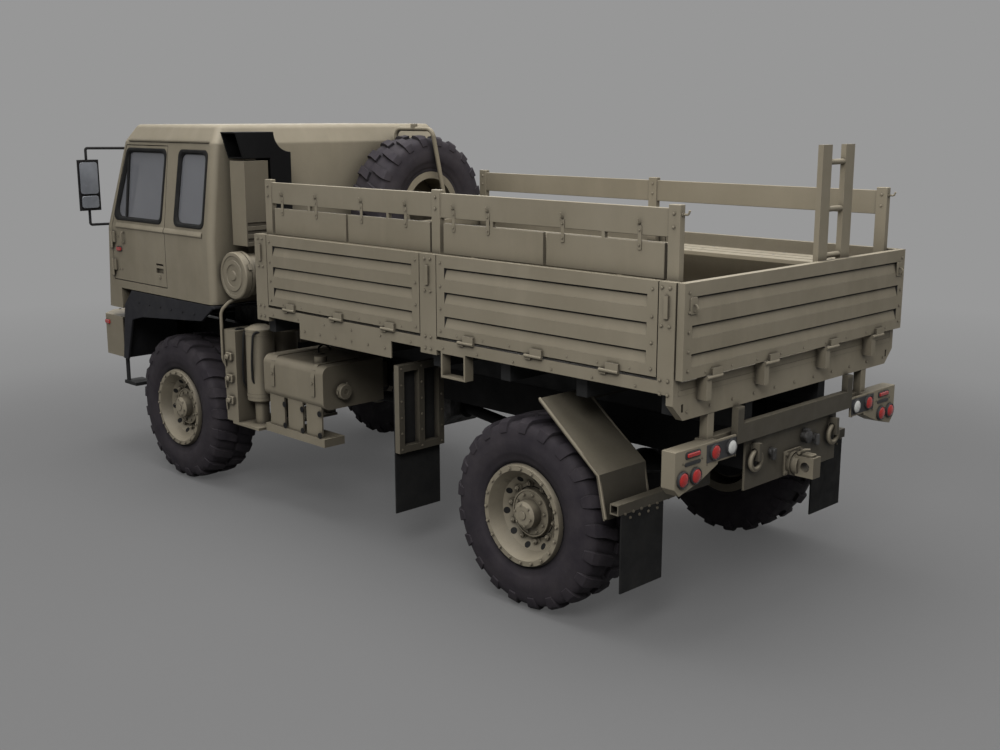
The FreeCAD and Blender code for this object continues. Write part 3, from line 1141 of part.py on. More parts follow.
def is_cab_corner(middle):
    """Tells the cab's upright corners and its roof edges by their middles."""
    if middle.z > number("cab_drip_z - 1.5*cab_wall"):
        return True
    outer = abs(middle.y) > number("cab_crest_half_width") and middle.z > number("cab_floor_z")
    rear = middle.x < number("cab_rear_x + 2*cab_wall")
    return outer and (rear or middle.x > number("door_front_x - 2*cab_wall"))


def door_outline(gap):
    """The left door's outline in side view, grown by a gap."""
    front, rear = "door_front_x + %s" % gap, "door_rear_x - %s" % gap
    low, high = "door_bottom_z - %s" % gap, "door_top_z + %s" % gap
    return [(rear, low), (front, low), (front, "cab_belt_z"), ("door_brow_x + %s" % gap, high), (rear, high)]


def window_outline(gap):
    """The door window, its front edge leaning with the windscreen pillar."""
    return [("window_rear_x - %s" % gap, "window_bottom_z - %s" % gap),
            ("window_front_x + %s" % gap, "window_bottom_z - %s" % gap),
            ("window_brow_x + %s" % gap, "window_top_z + %s" % gap),
            ("window_rear_x - quarter_lean - %s" % gap, "window_top_z + %s" % gap)]


def quarter_outline(gap):
    return [("quarter_rear_x - %s" % gap, "window_bottom_z - %s" % gap),
            ("quarter_front_x + %s" % gap, "window_bottom_z - %s" % gap),
            ("quarter_front_x - quarter_lean + %s" % gap, "window_top_z + %s" % gap),
            ("quarter_rear_x - quarter_lean/2 - %s" % gap, "window_top_z + %s" % gap)]


def screen_outline(gap):
    """One half of the windscreen, seen from the front, on the left."""
    return [("screen_post/2 - %s" % gap, "screen_bottom_z - %s" % gap),
            ("screen_outer_y + %s" % gap, "screen_bottom_z - %s" % gap),
            ("screen_outer_top_y + %s" % gap, "screen_top_z + %s" % gap),
            ("screen_post/2 - %s" % gap, "screen_top_z + %s" % gap)]


SIDE_CUT = ("cab_crest_half_width - cab_wall", "cab_half_width + overrun")
SCREEN_CUT = ("cab_brow_x - 3*cab_wall", "cab_nose_x + overrun")


def cab_panes():
    """Thin sheets just inside the cab's left wall and its windscreen plane."""
    lean = [("cab_half_width - glass_inset - glass_wall", "cab_belt_z"),
            ("cab_half_width - glass_inset", "cab_belt_z"),
            ("cab_drip_half_width - glass_inset", "cab_drip_z"),
            ("cab_drip_half_width - glass_inset - glass_wall", "cab_drip_z")]
    side = plate("side_pane", "YZ", lean, ("cab_rear_x", "cab_nose_x"))
    slope = [("cab_belt_x - glass_inset - glass_wall", "cab_belt_z"), ("cab_belt_x - glass_inset", "cab_belt_z"),
             ("cab_brow_x - glass_inset", "cab_drip_z"),
             ("cab_brow_x - glass_inset - glass_wall", "cab_drip_z")]
    screen = plate("screen_pane", "XZ", slope, ("-cab_half_width", "cab_half_width"))
    return side, screen


def cab():
    """The hollow cab: lower shell, roof cap, two doors and the glass, split at the real seams."""
    walls = cut("cab_walls", cab_form("cab_outside", "0"), [cab_form("cab_inside", "cab_wall")])
    roof_zone = block("roof_zone", ("cab_rear_x - overrun", "cab_nose_x"),
                      ("-cab_half_width", "cab_half_width"), ("cab_drip_z", "cab_roof_z + overrun"))
    roof_cap = common("roof_cap", walls, roof_zone)
    node("cab_roof", roof_cap)
    below = block("roof_cut", ("cab_rear_x - overrun", "cab_nose_x"), ("-cab_half_width", "cab_half_width"),
                  ("cab_drip_z - roof_seam", "cab_roof_z + overrun"))
    hole = plate("door_hole", "XZ", door_outline("swing_gap"), SIDE_CUT)
    quarter_hole = plate("quarter_hole", "XZ", quarter_outline("0"), SIDE_CUT)
    screen_hole = plate("screen_hole", "YZ", screen_outline("0"), SCREEN_CUT)
    holes = [hole, quarter_hole, screen_hole]
    holes += [mirrored(piece.Name + "_twin", piece) for piece in holes]
    pin = rod("tilt_pin", "Y", ("rail_outer_y - tilt_ear", "tilt_pin_y + tilt_ear"),
              ("tilt_pivot_x", "tilt_pivot_z"), "tilt_pin_radius")
    lug = block("tilt_lug", ("tilt_pivot_x - tilt_ear_radius", "cab_nose_x - cab_wall/2"),
                ("tilt_pin_y", "tilt_pin_y + tilt_ear"), ("tilt_pivot_z - tilt_pin_radius", "cab_bottom_z + cab_wall/2"))
    ears = [pin, lug]
    ears += [mirrored(piece.Name + "_twin", piece) for piece in ears]
    shell = cut("cab_shell_walls", walls, [below] + holes)
    knuckle_pieces = []
    for n, low in enumerate(door_hinge_feet(), 1):
        zs = (low + " - pin_gap - hinge_length/2", low + " - pin_gap")
        name = "door_knuckle_%d" % n
        knuckle_pieces += [
            rod(name, "Z", zs, (DOOR_HINGE_X, DOOR_HINGE_Y), "hinge_radius - pin_gap"),
            block(name + "_arm", (DOOR_HINGE_X, "door_front_x + 2*hinge_stand_off"),
                  ("cab_half_width + hinge_radius/2", DOOR_HINGE_Y), zs),
            block(name + "_pad", ("door_front_x + hinge_stand_off", "door_front_x + 2*hinge_stand_off"),
                  ("cab_half_width", DOOR_HINGE_Y), zs)]
    knuckle_pieces += [mirrored(piece.Name + "_twin", piece) for piece in knuckle_pieces]
    node("cab_shell", fused("cab_shell_with_lugs", [shell] + ears + knuckle_pieces))

    side_pane, screen_pane = cab_panes()
    window_hole = plate("window_hole", "XZ", window_outline("0"), SIDE_CUT)
    door_zone = plate("door_zone", "XZ", door_outline("0"), SIDE_CUT)
    leaf_piece = cut("door_leaf", common("door_blank", walls, door_zone), [window_hole])
    barrels = []
    for n, low in enumerate(door_hinge_feet(), 1):
        zs = (low, low + " + hinge_length")
        barrels.append(rod("door_barrel_%d" % n, "Z", zs, (DOOR_HINGE_X, DOOR_HINGE_Y), "hinge_radius - pin_gap"))
        barrels.append(block("door_strap_%d" % n, (DOOR_HINGE_X + " - 4*hinge_radius", DOOR_HINGE_X),
                             ("cab_half_width", DOOR_HINGE_Y), zs))
    cup_xs = ("door_rear_x + handle_inset", "door_rear_x + handle_inset + handle_width")
    cup_foot = "(door_bottom_z + handle_rise)"
    cup = block("handle_cup", cup_xs, ("cab_half_width - handle_depth", "cab_half_width + overrun"),
                (cup_foot, cup_foot + " + handle_height"))
    lever = block("handle_lever", (cup_xs[0] + " - handle_depth/2", cup_xs[1] + " + handle_depth/2"),
                  ("cab_half_width - handle_depth*3/4", "cab_half_width"),
                  (cup_foot + " + handle_height/2", cup_foot + " + handle_height*4/5"))
    skin = cut("door_leaf_recessed", leaf_piece, [cup])
    door_left = fused("door_with_hinges", [skin, lever] + barrels)
    node("door_left", door_left)
    node("door_right", mirrored("door_twin", door_left))
    pane = common("door_glass_pane", side_pane, plate("window_glass", "XZ", window_outline("(-seat_gap)"), SIDE_CUT))
    node("door_glass_left", pane)
    node("door_glass_right", mirrored("door_glass_twin", pane))
    quarter = common("quarter_pane", side_pane, plate("quarter_glass", "XZ", quarter_outline("(-seat_gap)"), SIDE_CUT))
    screen = common("screen_half", screen_pane, plate("screen_glass", "YZ", screen_outline("(-seat_gap)"), SCREEN_CUT))
    panes = [quarter, screen]
    panes += [mirrored(piece.Name + "_twin", piece) for piece in panes]
    node("cab_glass", together("cab_panes", panes))


DOOR_HINGE_X = "(door_front_x - hinge_radius)"
DOOR_HINGE_Y = "(cab_half_width + hinge_stand_off)"
DOOR_HINGE_SHARES = (0.18, 0.72)


def door_hinge_feet():
    """The level of each door hinge barrel's foot."""
    return ["(door_bottom_z + (cab_belt_z - door_bottom_z)*%r)" % share for share in DOOR_HINGE_SHARES]


def grille():
    """The flat radiator grille on the cab's nose: a frame and level slats."""
    zs = ("grille_bottom_z", "grille_bottom_z + grille_height")
    lean = "((cab_nose_x - cab_belt_x)/(cab_belt_z - cab_bottom_z))"
    low_x = "(cab_nose_x - %s*(grille_bottom_z - cab_bottom_z))" % lean
    high_x = "(cab_nose_x - %s*(grille_bottom_z + grille_height - cab_bottom_z))" % lean
    gap = "seat_gap"
    slab = [(low_x + " + " + gap, zs[0]), (low_x + " + %s + grille_wall" % gap, zs[0]),
            (high_x + " + %s + grille_wall" % gap, zs[1]), (high_x + " + " + gap, zs[1])]
    half = "grille_half_width"
    whole = plate("grille_slab", "XZ", slab, ("-" + half, half))
    slots = []
    count = 7
    pitch = "((grille_height - 2*grille_frame + grille_slat)/%d)" % count
    for n in range(count):
        low = "(grille_bottom_z + grille_frame + %d*%s)" % (n, pitch)
        slots.append(block("grille_slot_%d" % (n + 1), (low_x + " - grille_wall/2", low_x + " + 2*grille_wall"),
                           ("-(%s - grille_frame)" % half, half + " - grille_frame"),
                           (low, low + " + %s - grille_slat" % pitch)))
    slots = [common("grille_slots", fused("grille_slot_set", slots), whole_slot_zone())]
    node("grille", cut("grille_frame_and_slats", whole, slots))


def whole_slot_zone():
    """Keeps the grille's slots off its back sheet."""
    lean = "((cab_nose_x - cab_belt_x)/(cab_belt_z - cab_bottom_z))"
    low_x = "(cab_nose_x + seat_gap + grille_wall/4)"
    high_x = "(cab_belt_x + seat_gap + grille_wall/4)"
    zone = [(low_x, "cab_bottom_z"), (low_x + " + 3*grille_wall", "cab_bottom_z"),
            (high_x + " + 3*grille_wall", "cab_belt_z"), (high_x, "cab_belt_z")]
    return plate("grille_slot_zone", "XZ", zone, ("-cab_half_width", "cab_half_width"))


def cab_seats():
    """Three seats: cushion and backrest in one rounded profile, each on a post."""
    floor = "(cab_floor_z + cab_wall + seat_gap)"
    base = "seat_base_z"
    low_back = "(seat_rear_x + seat_back_wall)"
    profile = [("seat_rear_x", base), ("seat_rear_x + seat_depth", base),
               ("seat_rear_x + seat_depth", base + " + seat_cushion*0.7", "seat_cushion*0.6", "right"),
               ("seat_rear_x + seat_depth - seat_cushion*0.5", base + " + seat_cushion"),
               (low_back, base + " + seat_cushion"),
               ("seat_rear_x + seat_back_wall*0.7", base + " + seat_cushion + seat_back_height",
                "seat_back_wall*0.6", "right"),
               ("seat_rear_x - seat_back_wall*0.4", base + " + seat_cushion + seat_back_height")]
    pieces = []
    for n in (-1, 0, 1):
        middle = "(%d*seat_pitch)" % n
        pad = plate("seat_pad_%d" % (n + 2), "XZ", profile,
                    (middle + " - seat_width/2", middle + " + seat_width/2"))
        post = block("seat_post_%d" % (n + 2), (low_back, low_back + " + seat_post"),
                     (middle + " - seat_post/2", middle + " + seat_post/2"), (floor, base))
        pieces.append(fused("seat_%d" % (n + 2), [pad, post]))
    node("seats", together("seat_row", pieces))


def dashboard():
    """The dash with the steering wheel and its column."""
    front = "(cab_belt_x - cab_wall - seat_gap)"
    outline = [(front, "dash_top_z"), (front + " - dash_depth", "dash_top_z - dash_height*0.25"),
               (front + " - dash_depth*0.8", "dash_top_z - dash_height"), (front, "dash_top_z - dash_height")]
    half = "(cab_half_width - 3*cab_wall)"
    panel = plate("dash_panel", "XZ", outline, ("-" + half, half))
    column = bent_bar("steering_column", [("steering_x", "steering_y", "steering_z"),
                                          ("steering_x + steering_column_length*sin(steering_tilt)",
                                           "steering_y",
                                           "steering_z - steering_column_length*cos(steering_tilt)")],
                      "steering_column_radius")
    ring = doc.addObject("Part::Torus", "steering_ring")
    ring.setExpression("Radius1", bound("steering_ring_radius"))
    ring.setExpression("Radius2", bound("steering_bar_radius"))
    ring.Placement = FreeCAD.Placement(Vector(), FreeCAD.Rotation(Vector(0, 1, 0), -number("steering_tilt")))
    seat(ring, "steering_x", "steering_y", "steering_z")
    spokes = []
    for n, turn in enumerate((90, 210, 330), 1):
        spoke = doc.addObject("Part::Cylinder", "steering_spoke_%d" % n)
        spoke.setExpression("Radius", bound("steering_bar_radius*0.7"))
        spoke.setExpression("Height", bound("steering_ring_radius"))
        flat = FreeCAD.Rotation(Vector(0, 0, 1), turn).multiply(AXIS_TURNS["X"])
        spoke.Placement = FreeCAD.Placement(Vector(), ring.Placement.Rotation.multiply(flat))
        seat(spoke, "steering_x", "steering_y", "steering_z")
        spokes.append(spoke)
    node("dashboard", fused("dash_with_wheel", [panel, column, ring] + spokes))


def fenders():
    """The black front fenders: a bent top sheet over the tyre with a skirt along its outer edge."""
    corner = "fender_corner"
    top_outer = "fender_top_z"
    outer = [("fender_rear_x", top_outer), ("fender_front_x - %s*1.6" % corner, top_outer),
             ("fender_front_x - %s*0.6" % corner, top_outer + " - %s" % corner),
             ("fender_front_x", "fender_front_bottom_z")]
    wall = "fender_wall"
    inner = [("fender_front_x - " + wall, "fender_front_bottom_z"),
             ("fender_front_x - %s*0.6 - %s" % (corner, wall), top_outer + " - %s - %s/2" % (corner, wall)),
             ("fender_front_x - %s*1.6 - %s/2" % (corner, wall), top_outer + " - " + wall),
             ("fender_rear_x", top_outer + " - " + wall)]
    sheet_piece = plate("fender_sheet", "XZ", outer + inner, ("fender_inner_y", "cab_half_width"))
    skirt_low = [("fender_front_x - fender_skirt*0.5", "fender_front_bottom_z"),
                 ("fender_front_x - %s*0.6 - fender_skirt*0.75" % corner, top_outer + " - %s - fender_skirt*0.8" % corner),
                 ("fender_front_x - %s*1.6 - fender_skirt" % corner, top_outer + " - fender_skirt*1.4"),
                 ("fender_rear_x + fender_skirt*1.3", top_outer + " - fender_skirt*0.9")]
    skirt = plate("fender_skirt", "XZ", outer + skirt_low, ("cab_half_width - " + wall, "cab_half_width"))
    stays = []
    level = ("fender_top_z - 3*" + wall, "fender_top_z - " + wall + "/2")
    for n, x in enumerate(("fender_rear_x + 2*cross_width", "fender_front_x - 5*cross_width"), 1):
        xs = (x, x + " + cross_width")
        stays.append(block("fender_stay_%d" % n, xs, ("rail_outer_y - tilt_ear", "fender_inner_y + " + wall), level))
        stays.append(block("fender_leg_%d" % n, xs, ("rail_outer_y - tilt_ear", "rail_outer_y"),
                           (RAIL_TOP_Z + " + seat_gap", level[1])))
    node("front_fenders", both_sides("fender_pair", fused("fender", [sheet_piece, skirt] + stays)))


def front_bumper():
    """The deep sheet bumper with angled corners, hollow behind, bored for its lamps."""
    def side(inset):
        return [("bumper_front_x - " + inset, "bumper_top_z - " + inset),
                ("bumper_front_x - " + inset, "bumper_lip_z + " + inset),
                ("bumper_toe_x - " + inset, "bumper_bottom_z + " + inset),
                ("bumper_rear_x - 2*" + inset, "bumper_bottom_z + " + inset),
                ("bumper_rear_x - 2*" + inset, "bumper_top_z - " + inset)]

    def plan(inset):
        half = "(bumper_half_width - %s)" % inset
        front = "(bumper_front_x - %s)" % inset
        rear = "(bumper_rear_x - 3*%s)" % inset
        return [(rear, "-" + half), (front + " - bumper_corner", "-" + half),
                (front, "-" + half + " + bumper_corner"), (front, half + " - bumper_corner"),
                (front + " - bumper_corner", half), (rear, half)]

    wide = ("-bumper_half_width - overrun", "bumper_half_width + overrun")
    tall = ("bumper_bottom_z - overrun", "bumper_top_z + overrun")
    outside = common("bumper_outside", plate("bumper_profile", "XZ", side("0*bumper_wall"), wide),
                     plate("bumper_plan", "XY", plan("0*bumper_wall"), tall))
    inside = common("bumper_inside", plate("bumper_inner_profile", "XZ", side("bumper_wall"), wide),
                    plate("bumper_inner_plan", "XY", plan("bumper_wall"), tall))
    clear_y = "(tilt_pin_y + tilt_ear + 2*swing_gap)"
    trims = [block("bumper_rear_trim", ("bumper_rear_x - 3*overrun", "tilt_pivot_x + tilt_ear_radius + 3*swing_gap"),
                   ("-" + clear_y, clear_y),
                   ("bumper_bottom_z - overrun", "bumper_top_z + overrun"))]
    bores = []
    for tag, y in (("left", "headlamp_y"), ("right", "-headlamp_y")):
        bores.append(rod("headlamp_bore_" + tag, "X", ("bumper_front_x - overrun", "bumper_front_x + overrun"),
                         (y, "headlamp_z"), "headlamp_radius + seat_gap"))
    rail_end = "rail_front_x + seat_gap"
    stays = [block("bumper_stay_" + tag, (rail_end, "bumper_front_x - bumper_wall/2"), ys,
                   ("rail_bottom_z + cross_drop", RAIL_TOP_Z))
             for tag, ys in (("left", ("rail_outer_y - rail_flange", "rail_outer_y")),
                             ("right", ("-rail_outer_y", "-(rail_outer_y - rail_flange)")))]
    skin = cut("bumper_skin", outside, [inside] + trims)
    whole = fused("bumper_with_stays", [skin] + stays)
    steps = front_steps()
    node("front_bumper", together("bumper_and_steps", [cut("bumper_bored", whole, bores)] + steps))
    lamps = []
    for tag, y in (("left", "headlamp_y"), ("right", "-headlamp_y")):
        face = "bumper_front_x"
        outline = [("-headlamp_depth", "0"), ("-headlamp_depth", "headlamp_radius*0.7"),
                   ("-headlamp_depth/2", "headlamp_radius"), ("0", "headlamp_radius"),
                   ("-bumper_wall/3", "headlamp_radius*0.86"), ("0", "headlamp_radius*0.5"),
                   ("bumper_wall/6", "0")]
        lamps.append(turned("headlamp_body_" + tag, "X", outline, (face, y, "headlamp_z")))
    node("headlamps", together("headlamp_pair", lamps))


def front_steps():
    """A step plate hung under each fender on two rods."""
    tread = block("step_tread", ("step_rear_x", "step_front_x"), ("step_inner_y", "step_outer_y"),
                  ("step_z", "step_z + step_wall"))
    rods = []
    y = "(step_outer_y - 2*step_rod_radius)"
    for n, x in enumerate(("bumper_rear_x + 3*step_rod_radius", "step_front_x - 2*step_rod_radius"), 1):
        rods.append(rod("step_rod_%d" % n, "Z", ("step_z + step_wall/2", "bumper_bottom_z - seat_gap"), (x, y),
                        "step_rod_radius"))
    step = fused("step", [tread] + rods)
    return [step, mirrored("step_twin", step)]


def screen_plane_x(level):
    """How far forward the windscreen's plane lies at a level."""
    return "(cab_belt_x - (cab_belt_x - cab_brow_x)*(%s - cab_belt_z)/(cab_drip_z - cab_belt_z))" % level


def mirrors():
    """A rear-view mirror on a bracket of round bar at each front corner of the cab."""
    bar_x = "mirror_x"
    start = "(mirror_arm_radius*(cab_belt_x - cab_brow_x)/(cab_drip_z - cab_belt_z) + seat_gap)"
    high_x = "(%s + %s)" % (screen_plane_x("mirror_arm_top_z"), start)
    low_x = "(%s + %s)" % (screen_plane_x("mirror_arm_low_z"), start)
    high_y, low_y = "(cab_drip_half_width - cab_wall)", "(cab_half_width - cab_wall)"
    arm = bent_bar("mirror_arm", [
        (high_x, high_y, "mirror_arm_top_z"), (high_x + " + 1.5*cab_wall", high_y, "mirror_arm_top_z"),
        (bar_x, "mirror_y", "mirror_arm_top_z"), (bar_x, "mirror_y", "mirror_arm_low_z"),
        (low_x + " + cab_wall", low_y, "mirror_arm_low_z"), (low_x, low_y, "mirror_arm_low_z")],
        "mirror_arm_radius", "1.6*mirror_arm_radius")
    reach = ("mirror_y - mirror_width/2", "mirror_y + mirror_width/2")
    outline = [("mirror_x - mirror_wall*0.4", reach[0]), ("mirror_x + mirror_wall*0.3", reach[0] + " + mirror_wall*0.3"),
               ("mirror_x + mirror_wall*0.5", "mirror_y"), ("mirror_x + mirror_wall*0.3", reach[1] + " - mirror_wall*0.3"),
               ("mirror_x - mirror_wall*0.4", reach[1])]
    housing = plate("mirror_housing", "XY", outline, ("mirror_bottom_z", "mirror_bottom_z + mirror_height"))
    node("mirrors", both_sides("mirror_pair", fused("mirror", [arm, housing])))


TANK_PLATES = 3


def fuel_tank():
    """The box-shaped tank on the left with rounded lower edges, its brackets, straps and step."""
    corner = "tank_step_wall"
    outline = [("tank_inner_y", "tank_bottom_z"), ("tank_outer_y - " + corner, "tank_bottom_z", corner, "right"),
               ("tank_outer_y", "tank_bottom_z + " + corner), ("tank_outer_y", "tank_top_z - " + corner, corner, "right"),
               ("tank_outer_y - " + corner, "tank_top_z"), ("tank_inner_y", "tank_top_z")]
    tank = plate("tank_shell", "YZ", outline, ("tank_rear_x", "tank_front_x"))
    pieces = [tank]
    for n, share in enumerate((0.15, 0.78), 1):
        x = "(tank_rear_x + (tank_front_x - tank_rear_x)*%r)" % share
        pieces.append(block("tank_bracket_%d" % n, (x, x + " + tank_bracket"), ("rail_outer_y + seat_gap", "tank_inner_y"),
                            ("tank_bottom_z + tank_bracket", "tank_top_z - tank_bracket")))
    for n in range(TANK_PLATES):
        width = "((tank_front_x - tank_rear_x - %d*strap_width)/%d)" % (TANK_PLATES + 1, TANK_PLATES)
        x = "(tank_rear_x + strap_width + %d*(%s + strap_width))" % (n, width)
        pieces.append(block("tank_plate_%d" % (n + 1), (x, x + " + " + width),
                            ("tank_outer_y - tank_step_wall/2", "tank_outer_y - tank_step_wall/4"),
                            ("tank_step_z", "tank_bottom_z + tank_step_wall")))
    pieces.append(block("tank_step", ("tank_rear_x", "tank_front_x"), ("tank_outer_y - 3*tank_step_wall", "tank_outer_y"),
                        ("tank_step_z", "tank_step_z + tank_step_wall")))
    pieces.append(rod("tank_filler", "Z", ("tank_top_z - strap_wall", "tank_top_z + strap_width"),
                      ("tank_rear_x + 3*tank_step_wall", "tank_outer_y - 2*tank_step_wall"), "strap_width"))
    node("fuel_tank", fused("tank", pieces))


def left_side_units():
    """Air reservoirs standing behind the left front wheel, the valve box ahead of them and their base."""
    base = block("unit_base", ("side_base_rear_x", "side_base_front_x"),
                 ("rail_outer_y + seat_gap", "valve_box_outer_y"), ("side_base_z", "side_base_z + side_base_wall"))
    post = block("unit_post", ("side_base_rear_x + side_base_wall", "side_base_rear_x + 4*side_base_wall"),
                 ("rail_outer_y + seat_gap", "rail_outer_y + 4*side_base_wall"),
                 ("side_base_z + side_base_wall", "rail_bottom_z + rail_height/2"))
    tanks = []
    floor = "(side_base_z + side_base_wall)"
    for n in range(2):
        place = ("air_tank_x + air_tank_radius*0.7*%d" % n, "air_tank_y - air_tank_pitch*%d" % n)
        outline = [(floor, "0"), (floor, "air_tank_radius/2"), ("air_tank_bottom_z", "air_tank_radius/2"),
                   ("air_tank_bottom_z + air_tank_radius/4", "air_tank_radius"),
                   ("air_tank_top_z - air_tank_radius/4", "air_tank_radius"),
                   ("air_tank_top_z", "air_tank_radius/2"), ("air_tank_top_z", "0")]
        tanks.append(turned("air_tank_%d" % (n + 1), "Z", outline, (place[0], place[1], "0")))
    box = block("valve_box", ("valve_box_rear_x", "valve_box_front_x"), ("valve_box_inner_y", "valve_box_outer_y"),
                ("side_base_z + side_base_wall", "valve_box_top_z"))
    node("air_tanks", fused("side_units", [base, post, box] + tanks))


def battery_box():
    """The battery box on the right, its lid standing a little proud."""
    outer, inner = "-battery_outer_y", "-battery_inner_y"
    xs = ("battery_front_x", "battery_front_x + battery_length")
    body = block("battery_body", xs, (outer, inner), ("battery_bottom_z", "battery_top_z - cross_drop"))
    lid = block("battery_lid", (xs[0] + " - strap_width/4", xs[1] + " + strap_width/4"),
                (outer + " - strap_width/4", inner), ("battery_top_z - cross_drop", "battery_top_z"))
    feet = []
    for n, share in enumerate((0.15, 0.75), 1):
        x = "(battery_front_x + battery_length*%r)" % share
        feet.append(block("battery_bracket_%d" % n, (x, x + " + tank_bracket"), (inner, "-rail_outer_y - seat_gap"),
                          ("rail_bottom_z", "battery_top_z - cross_drop")))
    node("battery_box", fused("battery", [body, lid] + feet))


def exhaust():
    """The upright muffler and stack behind the cab's right corner."""
    place = ("muffler_x", "muffler_y", "0")
    outline = [("muffler_bottom_z", "0"), ("muffler_bottom_z", "muffler_radius*0.8"),
               ("muffler_bottom_z + muffler_radius/3", "muffler_radius"),
               ("muffler_top_z - muffler_radius/3", "muffler_radius"),
               ("muffler_top_z", "stack_radius*1.2"), ("stack_top_z", "stack_radius*1.2"),
               ("stack_top_z", "0")]
    body = turned("muffler", "Z", outline, place)
    level = "(rail_bottom_z + rail_height/2)"
    stay = block("muffler_stay", ("muffler_x - cross_drop", "muffler_x + cross_drop"),
                 ("muffler_y", "-rail_outer_y - seat_gap"), (level, level + " + cross_drop"))
    node("exhaust", fused("exhaust_set", [body, stay]))


def air_intake():
    """Behind the cab's left corner: the cleaner drum, its housing with louvres and the black duct."""
    drum = [("cleaner_outer_y - cleaner_length", "0"), ("cleaner_outer_y - cleaner_length", "cleaner_radius*0.9"),
            ("cleaner_outer_y - cleaner_radius/4", "cleaner_radius*0.9"),
            ("cleaner_outer_y - cleaner_radius/5", "cleaner_radius"),
            ("cleaner_outer_y - cleaner_radius/12", "cleaner_radius"), ("cleaner_outer_y", "cleaner_radius*0.8"),
            ("cleaner_outer_y", "0")]
    cleaner = turned("cleaner_drum", "Y", drum, ("cleaner_x", "0", "cleaner_z"))
    leg = block("cleaner_leg", ("cleaner_x - cross_width/2", "cleaner_x + cross_width/2"),
                ("rail_outer_y - rail_flange", "cleaner_outer_y - cleaner_length + cross_width"),
                (RAIL_TOP_Z + " + seat_gap", "cleaner_z"))
    drum_piece = fused("cleaner", [cleaner, leg])
    xs = ("housing_rear_x", "housing_front_x")
    body = block("housing_body", xs, ("housing_inner_y", "housing_outer_y"), ("housing_bottom_z", "housing_top_z"))
    louvres = []
    pitch = "(cleaner_radius/3)"
    for n in range(3):
        low = "(housing_bottom_z + %s*%d + %s/2)" % (pitch, n, pitch)
        louvres.append(block("housing_louvre_%d" % (n + 1), ("housing_rear_x - overrun", "housing_rear_x + duct_wall"),
                             ("housing_inner_y + duct_wall", "housing_outer_y - duct_wall"),
                             (low, low + " + %s/2" % pitch)))
    foot = block("housing_foot", ("cleaner_x - cross_width/2", "housing_front_x"),
                 ("housing_inner_y + duct_wall", "housing_inner_y + duct_wall + cross_width"),
                 ("cleaner_z + cleaner_radius*0.9 + seat_gap", "housing_bottom_z"))
    housing = cut("housing", fused("housing_with_foot", [body, foot]), louvres)
    node("air_cleaner", together("cleaner_and_housing", [drum_piece, housing]))
    bend = "duct_bend"
    outer = [("duct_outer_y - duct_slant", "duct_mouth_z"), ("duct_outer_y", "duct_top_z"),
             ("duct_inner_y + " + bend, "duct_top_z", bend, "left"), ("duct_inner_y", "duct_top_z - " + bend),
             ("duct_inner_y", "duct_leg_bottom_z"), ("duct_inner_y + duct_leg_width", "duct_leg_bottom_z"),
             ("duct_inner_y + duct_leg_width", "duct_mouth_z")]
    solid = plate("duct_solid", "YZ", outer, ("duct_rear_x", "duct_front_x"))
    wall = "duct_wall"
    mouth = block("duct_mouth", ("duct_rear_x + " + wall, "duct_front_x - " + wall),
                  ("duct_inner_y + duct_leg_width", "duct_outer_y + overrun"),
                  ("duct_mouth_z + " + wall, "duct_top_z - " + wall))
    leg_foot = block("duct_foot", ("duct_rear_x + duct_wall", "duct_front_x - duct_wall"),
                     ("duct_inner_y + duct_wall", "duct_inner_y + duct_leg_width - duct_wall"),
                     ("cleaner_z + cleaner_radius*0.9 + seat_gap", "duct_leg_bottom_z"))
    node("air_duct", fused("duct", [cut("duct_hollow", solid, [mouth]), leg_foot]))


def spare_wheel():
    """The spare wheel standing across the truck behind the cab, with its carrier and lifting davit."""
    place = ("spare_x", "spare_y", "spare_z")
    node("tyre_spare", lugged_tyre("tyre_ring_spare", "X", place))
    node("rim_spare", turned("rim_spare_ring", "X", rim_outline(), place))
    bar = "carrier_bar"
    back = "(spare_x + rim_disc_offset - seat_gap)"
    post_ys = ("spare_y - %s/2" % bar, "spare_y + %s/2" % bar)
    plate_disc = rod("carrier_plate", "X", (back + " - carrier_bar/2", back), ("spare_y", "spare_z"), "hub_radius")
    arm = block("carrier_arm", ("spare_x - tyre_half_width - swing_gap - " + bar, back + " - carrier_bar/4"), post_ys,
                ("spare_z - %s/2" % bar, "spare_z + %s/2" % bar))
    rear = "(spare_x - tyre_half_width - swing_gap - %s)" % bar
    post = block("carrier_post", (rear, rear + " + " + bar), post_ys, (RAIL_TOP_Z + " + seat_gap", "spare_z + %s/2" % bar))
    foot = block("carrier_foot", (rear, rear + " + " + bar), ("spare_y - %s/2" % bar, "rail_outer_y"),
                 (RAIL_TOP_Z + " + seat_gap", RAIL_TOP_Z + " + seat_gap + " + bar))
    head = block("carrier_head", (rear, rear + " + " + bar), ("davit_low_y - " + bar, post_ys[1]),
                 ("spare_z - %s/2" % bar, "spare_z + %s/2" % bar))
    davit = bent_bar("davit_tube", [("davit_x", "davit_low_y", "spare_z"),
                                    ("davit_x", "davit_outer_y", "davit_top_z"),
                                    ("davit_front_x", "davit_outer_y", "davit_top_z"),
                                    ("davit_front_x", "davit_outer_y", "davit_end_z")],
                     "carrier_bar/2.2", "davit_bend")
    pulley = block("davit_pulley", ("spare_x - %s/2" % bar, "spare_x + %s/2" % bar),
                   ("davit_outer_y - %s/2" % bar, "davit_outer_y + %s/2" % bar), ("davit_top_z", "davit_top_z + " + bar))
    node("spare_carrier", fused("carrier", [plate_disc, arm, post, foot, head, davit, pulley]))


